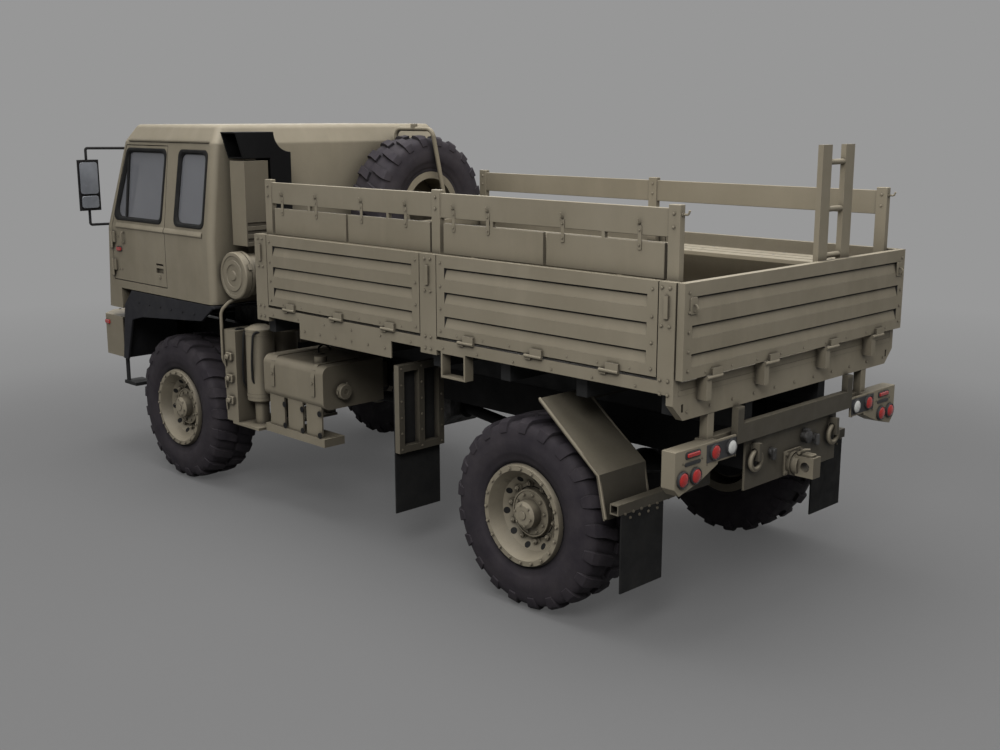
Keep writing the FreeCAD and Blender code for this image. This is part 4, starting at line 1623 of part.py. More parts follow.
def mudguards():
    """The frame and flap ahead of each rear wheel, and the curved guard, bar and flap behind it."""
    bar, wall = "guard_bar", "flap_wall"
    xs = ("guard_x - %s/2" % bar, "guard_x + %s/2" % bar)
    ys = ("guard_inner_y", "guard_outer_y")
    zs = ("guard_bottom_z", "guard_top_z")
    frame = [block("guard_bottom_bar", xs, ys, (zs[0], zs[0] + " + " + bar)),
             block("guard_top_bar", xs, ("rail_outer_y + seat_gap", ys[1]), (zs[1] + " - " + bar, zs[1])),
             block("guard_outer_bar", xs, (ys[1] + " - " + bar, ys[1]), zs),
             block("guard_inner_bar", xs, (ys[0], ys[0] + " + " + bar), zs),
             block("guard_middle_bar", xs, ("(%s + %s)/2 - %s/2" % (ys[0], ys[1], bar),
                                            "(%s + %s)/2 + %s/2" % (ys[0], ys[1], bar)), zs)]
    front_frame = fused("flap_frame", frame)
    ahead = xs[1] + " + seat_gap"
    flap = block("front_flap", (ahead, ahead + " + " + wall), ys, ("guard_flap_z", zs[1] + " - " + bar))
    rear_flap = block("rear_flap", ("mud_bar_x", "mud_bar_x + " + wall), ("mud_inner_y", "mud_outer_y - mud_bar/2"),
                      ("rear_flap_bottom_z", "mud_bar_z - seat_gap"))
    flaps = [flap, rear_flap]
    node("mud_flaps", together("flap_set", flaps + [mirrored(piece.Name + "_twin", piece) for piece in flaps]))
    skin = "mud_wall"
    outline = [("mud_top_x", "mud_top_z"), ("mud_top_x", "mud_top_z - " + skin),
               ("mud_knee_x + " + skin, "mud_knee_z"), ("mud_low_x + " + skin, "mud_low_z"),
               ("mud_low_x", "mud_low_z"), ("mud_knee_x - " + skin, "mud_knee_z + " + skin)]
    guard = plate("rear_guard_sheet", "XZ", outline, ("mud_inner_y", "mud_outer_y"))
    stay = block("rear_guard_stay", ("mud_top_x - mud_bar", "mud_top_x"), ("rail_outer_y + seat_gap", "mud_inner_y + mud_bar"),
                 ("mud_top_z - mud_bar", "mud_top_z - " + skin))
    outer = [("mud_bar_x", "mud_bar_z"), ("mud_bar_x + mud_bar", "mud_bar_z"),
             ("mud_bar_x + mud_bar", "mud_bar_z + mud_bar"), ("mud_bar_x", "mud_bar_z + mud_bar")]
    thick = "(mud_bar/8)"
    hole = [("mud_bar_x + " + thick, "mud_bar_z + " + thick),
            ("mud_bar_x + mud_bar - " + thick, "mud_bar_z + " + thick),
            ("mud_bar_x + mud_bar - " + thick, "mud_bar_z + mud_bar - " + thick),
            ("mud_bar_x + " + thick, "mud_bar_z + mud_bar - " + thick)]
    tube = plate("rear_guard_bar", "XZ", outer, ("rail_outer_y - rail_flange", "mud_outer_y"), [hole])
    drop = block("rear_guard_drop", ("mud_bar_x", "mud_bar_x + mud_bar"), ("rail_outer_y - rail_flange", "rail_outer_y"),
                 ("mud_bar_z + mud_bar", "rail_bottom_z - seat_gap"))
    tie = block("rear_guard_tie", ("mud_bar_x + mud_bar - seat_gap", "mud_low_x + " + skin), ("mud_inner_y", "mud_inner_y + mud_bar"),
                ("mud_bar_z", "mud_bar_z + mud_bar/2"))
    guards = [front_frame, fused("mudguard", [guard, stay, tube, drop, tie])]
    node("mudguards", together("mudguard_set", guards + [mirrored(piece.Name + "_twin", piece) for piece in guards]))


def rear_lamps():
    """The lamp boxes at the rear corners with their lamps, and the plates that carry them."""
    rear, front = "(lamp_box_x - lamp_box_depth)", "lamp_box_x"
    low, high = "lamp_box_bottom_z", "lamp_box_top_z"
    chamfer = "(lamp_box_depth/2)"
    outline = [("lamp_box_inner_y + (lamp_box_outer_y - lamp_box_inner_y)*0.42", low + " + " + chamfer),
               ("lamp_box_outer_y - " + chamfer, low), ("lamp_box_outer_y", low + " + " + chamfer),
               ("lamp_box_outer_y", high), ("lamp_box_inner_y", high),
               ("lamp_box_inner_y", high + " - (lamp_box_top_z - lamp_box_bottom_z)*0.55")]
    box = plate("lamp_box", "YZ", outline, (rear, front))
    reach = "rail_outer_y + seat_gap"
    stay = block("lamp_stay", ("lamp_box_x - mud_bar/2", "lamp_box_x + mud_bar/2"), (reach, "lamp_box_inner_y + mud_bar"),
                 (high + " - mud_bar", high))
    wing = block("lamp_plate", (rear, rear + " + lamp_wall"), ("tow_post_y + tow_post", "lamp_box_inner_y"),
                 (high + " - (lamp_box_top_z - lamp_box_bottom_z)*0.5", high))
    post = block("lamp_post", ("lamp_box_x - lamp_box_depth*0.6", front),
                 ("lamp_box_inner_y", "lamp_box_inner_y + tow_post"), (high, "rear_sill_bottom_z - seat_gap"))
    node("lamp_brackets", both_sides("lamp_bracket_pair", fused("lamp_bracket", [box, stay, wing, post])))
    lamps = []
    back = ("(%s - lamp_wall - seat_gap)" % rear, "(%s - seat_gap)" % rear)
    row = "(lamp_box_bottom_z + lamp_box_depth)"
    span = "(lamp_box_outer_y - lamp_box_inner_y)"
    for n, (y, z) in enumerate((("lamp_box_outer_y - %s*0.17" % span, row), ("lamp_box_outer_y - %s*0.46" % span, row),
                                ("lamp_box_inner_y + %s*0.1" % span, "(lamp_box_top_z - lamp_radius*1.4)"),
                                ("tow_post_y + tow_post + lamp_radius*1.3", "(lamp_box_top_z - lamp_radius*1.4)")), 1):
        lamps.append(rod("rear_lamp_%d" % n, "X", back, (y, z), "lamp_radius"))
    lamps.append(block("rear_marker", back, ("lamp_box_outer_y - %s*0.6" % span, "lamp_box_outer_y - %s*0.2" % span),
                       ("lamp_box_top_z - lamp_radius*1.2", "lamp_box_top_z - lamp_radius*0.5")))
    node("rear_lamps", together("rear_lamp_set", lamps + [mirrored(piece.Name + "_twin", piece) for piece in lamps]))


def towing_gear():
    """The cross bar under the bed's rear, the two shackles and the pintle hook."""
    rear, front = "tow_bar_x", "(tow_bar_x + tow_bar_depth)"
    bar = block("tow_bar", (rear + " + lamp_wall", front), ("-tow_bar_half_width", "tow_bar_half_width"),
                ("tow_bar_bottom_z", "tow_bar_top_z"))
    back = "(rail_rear_x - seat_gap)"
    plate_low = "(pintle_z - pintle_plate/2)"
    cheek = block("tow_plate", (back + " - lamp_wall", back), ("-rail_outer_y - tow_post", "rail_outer_y + tow_post"),
                  (plate_low + " + pintle_radius", "tow_bar_top_z"))
    pieces = [bar, cheek]
    for tag, y in (("left", "tow_post_y"), ("right", "(-tow_post_y - tow_post)")):
        pieces.append(block("tow_post_" + tag, (rear + " + lamp_wall", front), (y, y + " + tow_post"),
                            ("tow_bar_bottom_z", "rear_sill_bottom_z - seat_gap")))
    shackles = []
    for tag, y in (("left", "shackle_y"), ("right", "-shackle_y")):
        lug = block("shackle_lug_" + tag, (back + " - shackle_lug", back), (y + " - shackle_bar_radius", y + " + shackle_bar_radius"),
                    ("shackle_z - shackle_ring_radius", "shackle_z + shackle_ring_radius"))
        eye = rod("shackle_eye_" + tag, "Y", (y + " - overrun", y + " + overrun"),
                  (back + " - shackle_lug*0.55", "shackle_z"), "shackle_bore_radius")
        pieces.append(cut("shackle_lug_bored_" + tag, lug, [eye]))
        ring = doc.addObject("Part::Torus", "shackle_ring_" + tag)
        ring.setExpression("Radius1", bound("shackle_ring_radius"))
        ring.setExpression("Radius2", bound("shackle_bar_radius"))
        ring.Placement = FreeCAD.Placement(Vector(), AXIS_TURNS["X"])
        hang = "((shackle_bore_radius - shackle_bar_radius)/4)"
        seat(ring, back + " - shackle_lug*0.55", y, "shackle_z - shackle_ring_radius - " + hang)
        shackles.append(ring)
    pad = "(%s - lamp_wall)" % back
    body = rod("pintle_body", "X", ("pintle_rear_x + 2.5*pintle_jaw", pad), ("0", "pintle_z"), "pintle_radius")
    jaw_profile = [("pintle_rear_x", "pintle_z - pintle_radius"), ("pintle_rear_x + 3*pintle_jaw", "pintle_z - pintle_radius"),
                   ("pintle_rear_x + 3*pintle_jaw", "pintle_z + pintle_radius"), ("pintle_rear_x", "pintle_z + pintle_radius")]
    jaw = plate("pintle_jaw", "XZ", jaw_profile, ("-pintle_jaw", "pintle_jaw"))
    throat = rod("pintle_throat", "Y", ("-overrun", "overrun"), ("pintle_rear_x + 1.4*pintle_jaw", "pintle_z"), "pintle_throat_radius")
    node("tow_frame", fused("towing", pieces))
    hook = cut("pintle", fused("pintle_blank", [body, jaw]), [throat])
    node("towing_hooks", together("hook_and_shackles", [hook] + shackles))


def build():
    for make in (chassis_frame, leaf_springs, rear_axle, front_axle, knuckles, wheels, engine, gearboxes,
                 propeller_shafts, bed_floor, bed_posts, drop_sides, front_wall, rear_sill,
                 tailgate, ladder, side_racks, right_bench, cab, grille, cab_seats, dashboard,
                 fenders, front_bumper, mirrors, fuel_tank, left_side_units,
                 battery_box, exhaust, air_intake, spare_wheel, mudguards, rear_lamps, towing_gear):
        make()
    doc.recompute()
    faults = [thing.Name for thing in doc.Objects if "Invalid" in thing.State or "Error" in thing.State]
    for name, piece in nodes.items():
        if piece.Shape.isNull() or not piece.Shape.isValid() or not piece.Shape.Solids:
            faults.append(name)
    if faults:
        raise RuntimeError("pieces that failed: " + ", ".join(faults))
    os.makedirs("parts", exist_ok=True)
    for name, piece in nodes.items():
        piece.Shape.exportStep("parts/%s.step" % name)
    print(len(nodes), "pieces written")


build()
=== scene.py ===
"""The looks of a four-wheel-drive military cargo truck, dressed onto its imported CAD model.

Metres. +X points forward, +Y to the truck's left, +Z up, the ground is at Z 0.
"""
import json
import math

import bmesh
import bpy
from mathutils import Matrix, Vector


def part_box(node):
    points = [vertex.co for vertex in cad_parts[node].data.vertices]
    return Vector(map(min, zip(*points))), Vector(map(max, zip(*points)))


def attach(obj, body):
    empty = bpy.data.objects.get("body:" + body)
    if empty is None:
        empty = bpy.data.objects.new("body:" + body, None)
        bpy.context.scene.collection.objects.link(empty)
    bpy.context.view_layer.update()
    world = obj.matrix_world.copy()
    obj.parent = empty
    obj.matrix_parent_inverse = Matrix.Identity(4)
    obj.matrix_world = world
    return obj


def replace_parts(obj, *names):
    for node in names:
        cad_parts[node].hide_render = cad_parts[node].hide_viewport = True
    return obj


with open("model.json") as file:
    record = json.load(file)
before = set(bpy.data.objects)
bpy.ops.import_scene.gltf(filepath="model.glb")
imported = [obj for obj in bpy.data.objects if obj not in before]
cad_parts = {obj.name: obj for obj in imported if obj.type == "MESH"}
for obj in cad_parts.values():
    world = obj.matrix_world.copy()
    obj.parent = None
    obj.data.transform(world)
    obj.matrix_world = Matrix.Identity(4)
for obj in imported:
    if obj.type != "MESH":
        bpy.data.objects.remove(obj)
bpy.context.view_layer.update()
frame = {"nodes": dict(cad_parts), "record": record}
record = frame["record"]
SLOT_OF = {part["node"]: part["material_slot"] for part in record["subparts"]}
BODY_OF = {node: body for body, names in record["behaviour"]["bodies"].items() for node in names}

LEFT, RIGHT = 1, -1
AHEAD, LEFTWARD, UP = Vector((1, 0, 0)), Vector((0, 1, 0)), Vector((0, 0, 1))


# Materials

def srgb(red, green, blue):
    """A colour written as 0 to 255 display values, as linear light."""
    def linear(value):
        value /= 255
        return value / 12.92 if value <= 0.04045 else ((value + 0.055) / 1.055) ** 2.4
    return (linear(red), linear(green), linear(blue), 1.0)


class Look:
    """One procedural material under construction."""

    def __init__(self, name, **finish):
        self.material = bpy.data.materials.new(name)
        self.material.use_nodes = True
        self.tree = self.material.node_tree
        self.shader = self.tree.nodes["Principled BSDF"]
        self.feed(self.shader, {key.replace("_", " "): value for key, value in finish.items()})
        self.place = self.add("ShaderNodeTexCoord").outputs["Object"]

    def feed(self, node, inputs):
        """Sets each input to a value, or links it to another node's output."""
        for key, value in inputs.items():
            if isinstance(value, bpy.types.NodeSocket):
                self.tree.links.new(value, node.inputs[key])
            else:
                node.inputs[key].default_value = value

    def add(self, kind, inputs=None, **settings):
        """A new node with its settings and inputs."""
        node = self.tree.nodes.new(kind)
        for key, value in settings.items():
            setattr(node, key, value)
        self.feed(node, inputs or {})
        return node

    def noise(self, scale, detail=4.0, roughness=0.55, stretch=(1, 1, 1)):
        """Cloudy noise, its grain drawn out by the stretch."""
        spread = self.add("ShaderNodeMapping", {"Vector": self.place, "Scale": stretch}).outputs["Vector"]
        grain = {"Vector": spread, "Scale": scale, "Detail": detail, "Roughness": roughness}
        return self.add("ShaderNodeTexNoise", grain).outputs["Fac"]

    def cloud(self, scale, detail, low, high, out_low=0.0, out_high=1.0, **grain):
        """Noise whose stretch from low to high is spread over another."""
        return self.between(self.noise(scale, detail, **grain), low, high, out_low, out_high)

    def between(self, source, low, high, out_low=0.0, out_high=1.0, **settings):
        """Spreads a stretch of a value over another, held at its ends."""
        inputs = {"Value": source, "From Min": low, "From Max": high, "To Min": out_low, "To Max": out_high}
        return self.add("ShaderNodeMapRange", inputs, **settings).outputs["Result"]

    def times(self, one, other):
        """The product of two values."""
        return self.add("ShaderNodeMath", {0: one, 1: other}, operation="MULTIPLY").outputs["Value"]

    def mixed(self, amount, one, other):
        """One colour turning into another by an amount."""
        return self.add("ShaderNodeMix", {0: amount, 6: one, 7: other}, data_type="RGBA").outputs[2]

    def layer(self, colour, amount, strength, tint):
        """A colour with another laid over it, where and as strongly as said."""
        return self.mixed(self.times(amount, strength), colour, tint)

    def closeness(self, reach, open_to=0.95, closed_to=0.40):
        """1 where much of the sky within reach is hidden, 0 on open faces."""
        sky = self.add("ShaderNodeAmbientOcclusion", {"Distance": reach}, samples=8).outputs["AO"]
        return self.between(sky, open_to, closed_to)

    def normal(self):
        """The way a face looks, before any bump."""
        return self.add("ShaderNodeNewGeometry").outputs["Normal"]

    def edges(self, reach):
        """1 along sharp outer edges, 0 elsewhere."""
        rounded = self.add("ShaderNodeBevel", {"Radius": reach}, samples=4).outputs["Normal"]
        alike = self.add("ShaderNodeVectorMath", {0: rounded, 1: self.normal()}, operation="DOT_PRODUCT")
        return self.between(alike.outputs["Value"], 0.97, 0.80)

    def part_of(self, vector, axis):
        """The part of a vector along one axis."""
        return self.add("ShaderNodeSeparateXYZ", {"Vector": vector}).outputs[axis]

    def height(self):
        """How high a point lies, in metres."""
        return self.part_of(self.place, "Z")

    def facing(self, axis, low, high):
        """How far a face looks along an axis: 0 up to low, 1 from high."""
        return self.between(self.part_of(self.normal(), axis), low, high)

    def done(self, colour, rough=None, relief=None, strength=0.0, depth=0.0):
        """The material with its colour, and its roughness and relief where given."""
        inputs = {"Base Color": colour}
        if rough is not None:
            inputs["Roughness"] = rough
        if relief is not None:
            bump = {"Height": relief, "Strength": strength, "Distance": depth}
            inputs["Normal"] = self.add("ShaderNodeBump", bump).outputs["Normal"]
        self.feed(self.shader, inputs)
        return self.material


# Shares of a material's tints and painted shade, and where the vehicle paint's weather and painted shade begin and
# end

FADED, STREAKED, SPLASHED, SKY_SHADE, REAR_SHADE, GRIME_AND_SHADE = 0.45, 0.22, 0.5, 0.7, 0.62, 0.9
SKY_SHADE_REACH, CREVICE_REACH, TREAD_REACH, RUB_REACH = 0.85, 0.04, 0.06, 0.006
SPLASH_FOOT, REAR_SHADE_TOP, REAR_SHADE_BLEND, UNDER_BLEND = 0.25, 1.33, 0.01, 0.004
NO_REAR_SHADE, REAR_SHADE_ALL_OVER = 0.0, 4.0
UNDERSIDE_SHADE = srgb(30, 30, 30)


def painted(name, base, worn, dust, dark, wear=0.55, dust_top=0.9, gloss=0.35, under=None, rear_shade_top=REAR_SHADE_TOP):
    """Matt vehicle paint: faded patches, dust on what looks up, painted shade where nearby parts hide the sky,
    grime and painted shade in crevices, edges rubbed pale.

    Below the height given as under, painted shade turns the paint black. Painted shade darkens the rearward faces
    below the height given as the last argument.
    """
    look = Look(name, Roughness=0.62, Specular_IOR_Level=gloss)
    colour = look.layer(base, look.cloud(1.7, 5, 0.35, 0.68), FADED, worn)
    streaks = look.cloud(5.5, 4, 0.52, 0.72, roughness=0.6, stretch=(1.0, 1.0, 0.16))
    colour = look.layer(colour, streaks, STREAKED, dust)
    low = look.between(look.height(), dust_top, SPLASH_FOOT)
    splash = look.times(low, look.cloud(7.0, 6, 0.38, 0.62, roughness=0.65))
    colour = look.layer(colour, splash, SPLASHED, dust)
    settled = look.cloud(3.0, 5, 0.3, 0.7, 0.2, 0.55)
    colour = look.layer(colour, look.facing("Z", 0.45, 0.95), settled, dust)
    # Painted shade where nearby parts hide much of the sky.
    colour = look.layer(colour, look.closeness(SKY_SHADE_REACH, 0.82, 0.22), SKY_SHADE, dark)
    # Painted shade on faces that look rearward, below a given height.
    below = look.between(look.height(), rear_shade_top + REAR_SHADE_BLEND, rear_shade_top - REAR_SHADE_BLEND)
    colour = look.layer(colour, look.times(look.facing("X", -0.75, -0.97), below), REAR_SHADE, dark)
    # Grime and painted shade in crevices.
    colour = look.layer(colour, look.closeness(CREVICE_REACH), GRIME_AND_SHADE, dark)
    rub = look.times(look.edges(RUB_REACH), look.cloud(24.0, 3, 0.4, 0.62))
    colour = look.layer(colour, rub, wear, worn)
    # Painted shade: black below the given height.
    if under is not None:
        black = look.between(look.height(), under + UNDER_BLEND, under - UNDER_BLEND)
        colour = look.mixed(black, colour, UNDERSIDE_SHADE)
    return look.done(colour, look.cloud(9.0, 4, 0.3, 0.7, 0.52, 0.74), look.noise(230.0, 3), 0.08, 0.0006)


def rubber(name, base, dust, dark, scale=152.0):
    """Dry tyre rubber, greyed by dust, with painted shade in its crevices."""
    look = Look(name, Roughness=0.78, Specular_IOR_Level=0.25)
    colour = look.layer(base, look.cloud(6.0, 6, 0.35, 0.7, roughness=0.62), 0.55, dust)
    # Painted shade in crevices such as the tread's.
    colour = look.layer(colour, look.closeness(TREAD_REACH), 0.8, dark)
    rub = look.times(look.edges(RUB_REACH), look.cloud(20.0, 3, 0.35, 0.6))
    colour = look.layer(colour, rub, 0.5, dust)
    return look.done(colour, look.cloud(11.0, 4, 0.3, 0.7, 0.68, 0.9), look.noise(scale, 5), 0.22, 0.0015)


def bare_metal(name, base, stain, roughness):
    """Oily or worn steel, blotched with stains."""
    look = Look(name, Roughness=roughness, Metallic=0.75)
    colour = look.layer(base, look.cloud(14.0, 6, 0.42, 0.62, roughness=0.65), 0.7, stain)
    colour = look.layer(colour, look.closeness(CREVICE_REACH), 0.7, stain)
    rough = look.cloud(20.0, 4, 0.3, 0.7, roughness - 0.1, roughness + 0.25)
    return look.done(colour, rough, look.noise(90.0, 4), 0.12, 0.0008)


def scaled(colour, share, more=0.0):
    """A colour made lighter or darker."""
    return tuple(min(value * share + more, 1.0) for value in colour[:3]) + (1.0,)


def lens(name, base):
    """A moulded lamp lens with fine ribs under its gloss."""
    look = Look(name, Roughness=0.18, Coat_Weight=0.6, Coat_Roughness=0.08)
    ribs = look.add("ShaderNodeTexWave", {"Vector": look.place, "Scale": 60.0}).outputs["Fac"]
    shade = look.cloud(30.0, 3, 0.3, 0.7)
    return look.done(look.layer(base, shade, 0.4, scaled(base, 0.55)), None, ribs, 0.35, 0.0012)


def pane_look(name):
    """Window glass painted light grey for the reflection it shows, under an uneven film of dust."""
    look = Look(name, Transmission_Weight=0.35, IOR=1.45)
    colour = look.mixed(look.cloud(0.9, 3, 0.3, 0.7), srgb(136, 137, 141), srgb(122, 123, 128))
    return look.done(colour, look.cloud(2.6, 5, 0.35, 0.75, 0.03, 0.09))


def cloth(name, base, other):
    """Coarse woven seat cloth."""
    look = Look(name, Roughness=0.9, Sheen_Weight=0.3)
    threads = {"Vector": look.place, "Scale": 140.0}
    waves = [look.add("ShaderNodeTexWave", threads, bands_direction=way).outputs["Fac"] for way in ("X", "Z")]
    return look.done(look.mixed(look.cloud(6.0, 4, 0.3, 0.7), base, other), None, look.times(*waves), 0.4, 0.001)


def plastic(name, base, roughness=0.55):
    """Moulded plastic with a fine grain."""
    look = Look(name, Roughness=roughness)
    colour = look.mixed(look.cloud(4.0, 5, 0.35, 0.7), base, scaled(base, 1.6, 0.01))
    rough = look.cloud(16.0, 4, 0.3, 0.7, roughness - 0.08, roughness + 0.15)
    return look.done(colour, rough, look.noise(300.0, 2), 0.25, 0.0006)


SAND = srgb(126, 118, 101)
SAND_WORN = srgb(146, 138, 121)
SAND_DUST = srgb(152, 143, 124)
# The brown of grime and of painted shade on tan paint.
GRIME_AND_SHADE_TONE = srgb(52, 47, 39)
COAL = srgb(24, 24, 25)
# The black of soot and of painted shade on black parts and rubber.
SOOT_AND_SHADE_TONE = srgb(9, 9, 9)
TAN = (SAND, SAND_WORN, SAND_DUST, GRIME_AND_SHADE_TONE)

MATERIALS = {
    "tan_paint": painted("sand_paint", *TAN),
    "wheel_paint": painted("wheel_paint", srgb(128, 120, 103), *TAN[1:], wear=0.8, dust_top=1.6),
    "black_metal": painted("black_paint", COAL, srgb(52, 51, 50), srgb(38, 37, 35), SOOT_AND_SHADE_TONE, wear=0.5, gloss=0.15),
    "cast_metal": bare_metal("cast_metal", srgb(92, 91, 90), srgb(40, 37, 33), 0.55),
    "tyre_rubber": rubber("tyre_rubber", srgb(43, 39, 44), srgb(66, 61, 63), srgb(12, 11, 12)),
    "flap_rubber": rubber("flap_rubber", srgb(23, 23, 23), srgb(40, 39, 37), SOOT_AND_SHADE_TONE, 72.0),
    "window_glass": pane_look("window_glass"),
    "lamp_glass": lens("lamp_glass", srgb(205, 205, 200)),
    "lamp_red": lens("lamp_red", srgb(168, 24, 18)),
    "dark_plastic": plastic("dark_plastic", srgb(40, 40, 41)),
    "seat_cloth": cloth("seat_cloth", srgb(62, 63, 56), srgb(80, 80, 70)),
}
STEEL = bare_metal("worn_steel", srgb(150, 147, 140), srgb(84, 76, 64), 0.38)
AMBER = lens("lamp_amber", srgb(190, 92, 18))
MIRROR = plastic("mirror_silver", srgb(98, 100, 104), 0.14)
# Black paints; their last colour is their grime and painted shade.
FENDER = painted("fender_paint", srgb(33, 33, 37), srgb(50, 50, 52), srgb(47, 46, 44), srgb(12, 12, 12),
                 wear=0.5, gloss=0.25)
DUCT = painted("duct_black", srgb(14, 14, 15), srgb(30, 30, 30), srgb(26, 26, 25), srgb(5, 5, 5),
               wear=0.5, gloss=0.1)
# Sand paint without the painted shade on rearward faces.
REAR_PAINT = painted("rear_paint", *TAN, rear_shade_top=NO_REAR_SHADE)
# Sand paint whose painted shade in crevices is a lighter brown, and without the painted shade on rearward faces.
LADDER_PAINT = painted("ladder_paint", SAND, SAND_WORN, SAND_DUST, srgb(74, 67, 56), rear_shade_top=NO_REAR_SHADE)
# Sand paint with the painted shade on rearward faces at every height.
HOUSING_PAINT = painted("housing_paint", *TAN, rear_shade_top=REAR_SHADE_ALL_OVER)
# A darker copy of the sand paint: painted shade for the mudguards and tow frame, which lie in shadow.
SHADED_GUARD_PAINT = painted("guard_paint_shaded", srgb(98, 92, 79), srgb(122, 115, 100), srgb(116, 109, 94),
                      srgb(34, 31, 26))
# Sand paint turned black by painted shade below a height: under the bed floor and on the bumper's lower steps.
BED_PAINT_SHADED_BELOW = painted("bed_paint_shaded_below", *TAN, under=1.478)
BUMPER_PAINT_SHADED_BELOW = painted("bumper_paint_shaded_below", *TAN, under=0.870)
NODE_LOOKS = {"front_fenders": FENDER, "air_duct": DUCT, "bed_floor": BED_PAINT_SHADED_BELOW, "front_bumper": BUMPER_PAINT_SHADED_BELOW,
              "rear_sill": REAR_PAINT, "lamp_brackets": REAR_PAINT, "bed_posts": REAR_PAINT,
              "air_cleaner": HOUSING_PAINT, "ladder": LADDER_PAINT, "mudguards": SHADED_GUARD_PAINT,
              "tow_frame": SHADED_GUARD_PAINT}


# Shapes

SHARP_FROM, SOFT_FROM, SMOOTH_TO = 28, 35, 40
SMALL_BOLT, PLAIN_BOLT, LARGE_BOLT = 0.0065, 0.0075, 0.0085


def evenly(count, low, high):
    """Places spread from low to high, both ends taken."""
    return [low + (high - low) * n / (count - 1) for n in range(count)]


def grid(xs, ys, zs):
    """Every place where three lists of coordinates meet."""
    return [(x, y, z) for x in xs for y in ys for z in zs]


def spokes(count, radius, first, second, start=0.0):
    """Arms spread round a circle from first towards second; start is a share of one step."""
    angles = [2 * math.pi * (n + start) / count for n in range(count)]
    return [(first * math.cos(a) + second * math.sin(a)) * radius for a in angles]


def axes_round(axis):
    """An axis at unit length, with two others square to it."""
    axis = Vector(axis).normalized()
    side = axis.orthogonal().normalized()
    return axis, side, axis.cross(side)


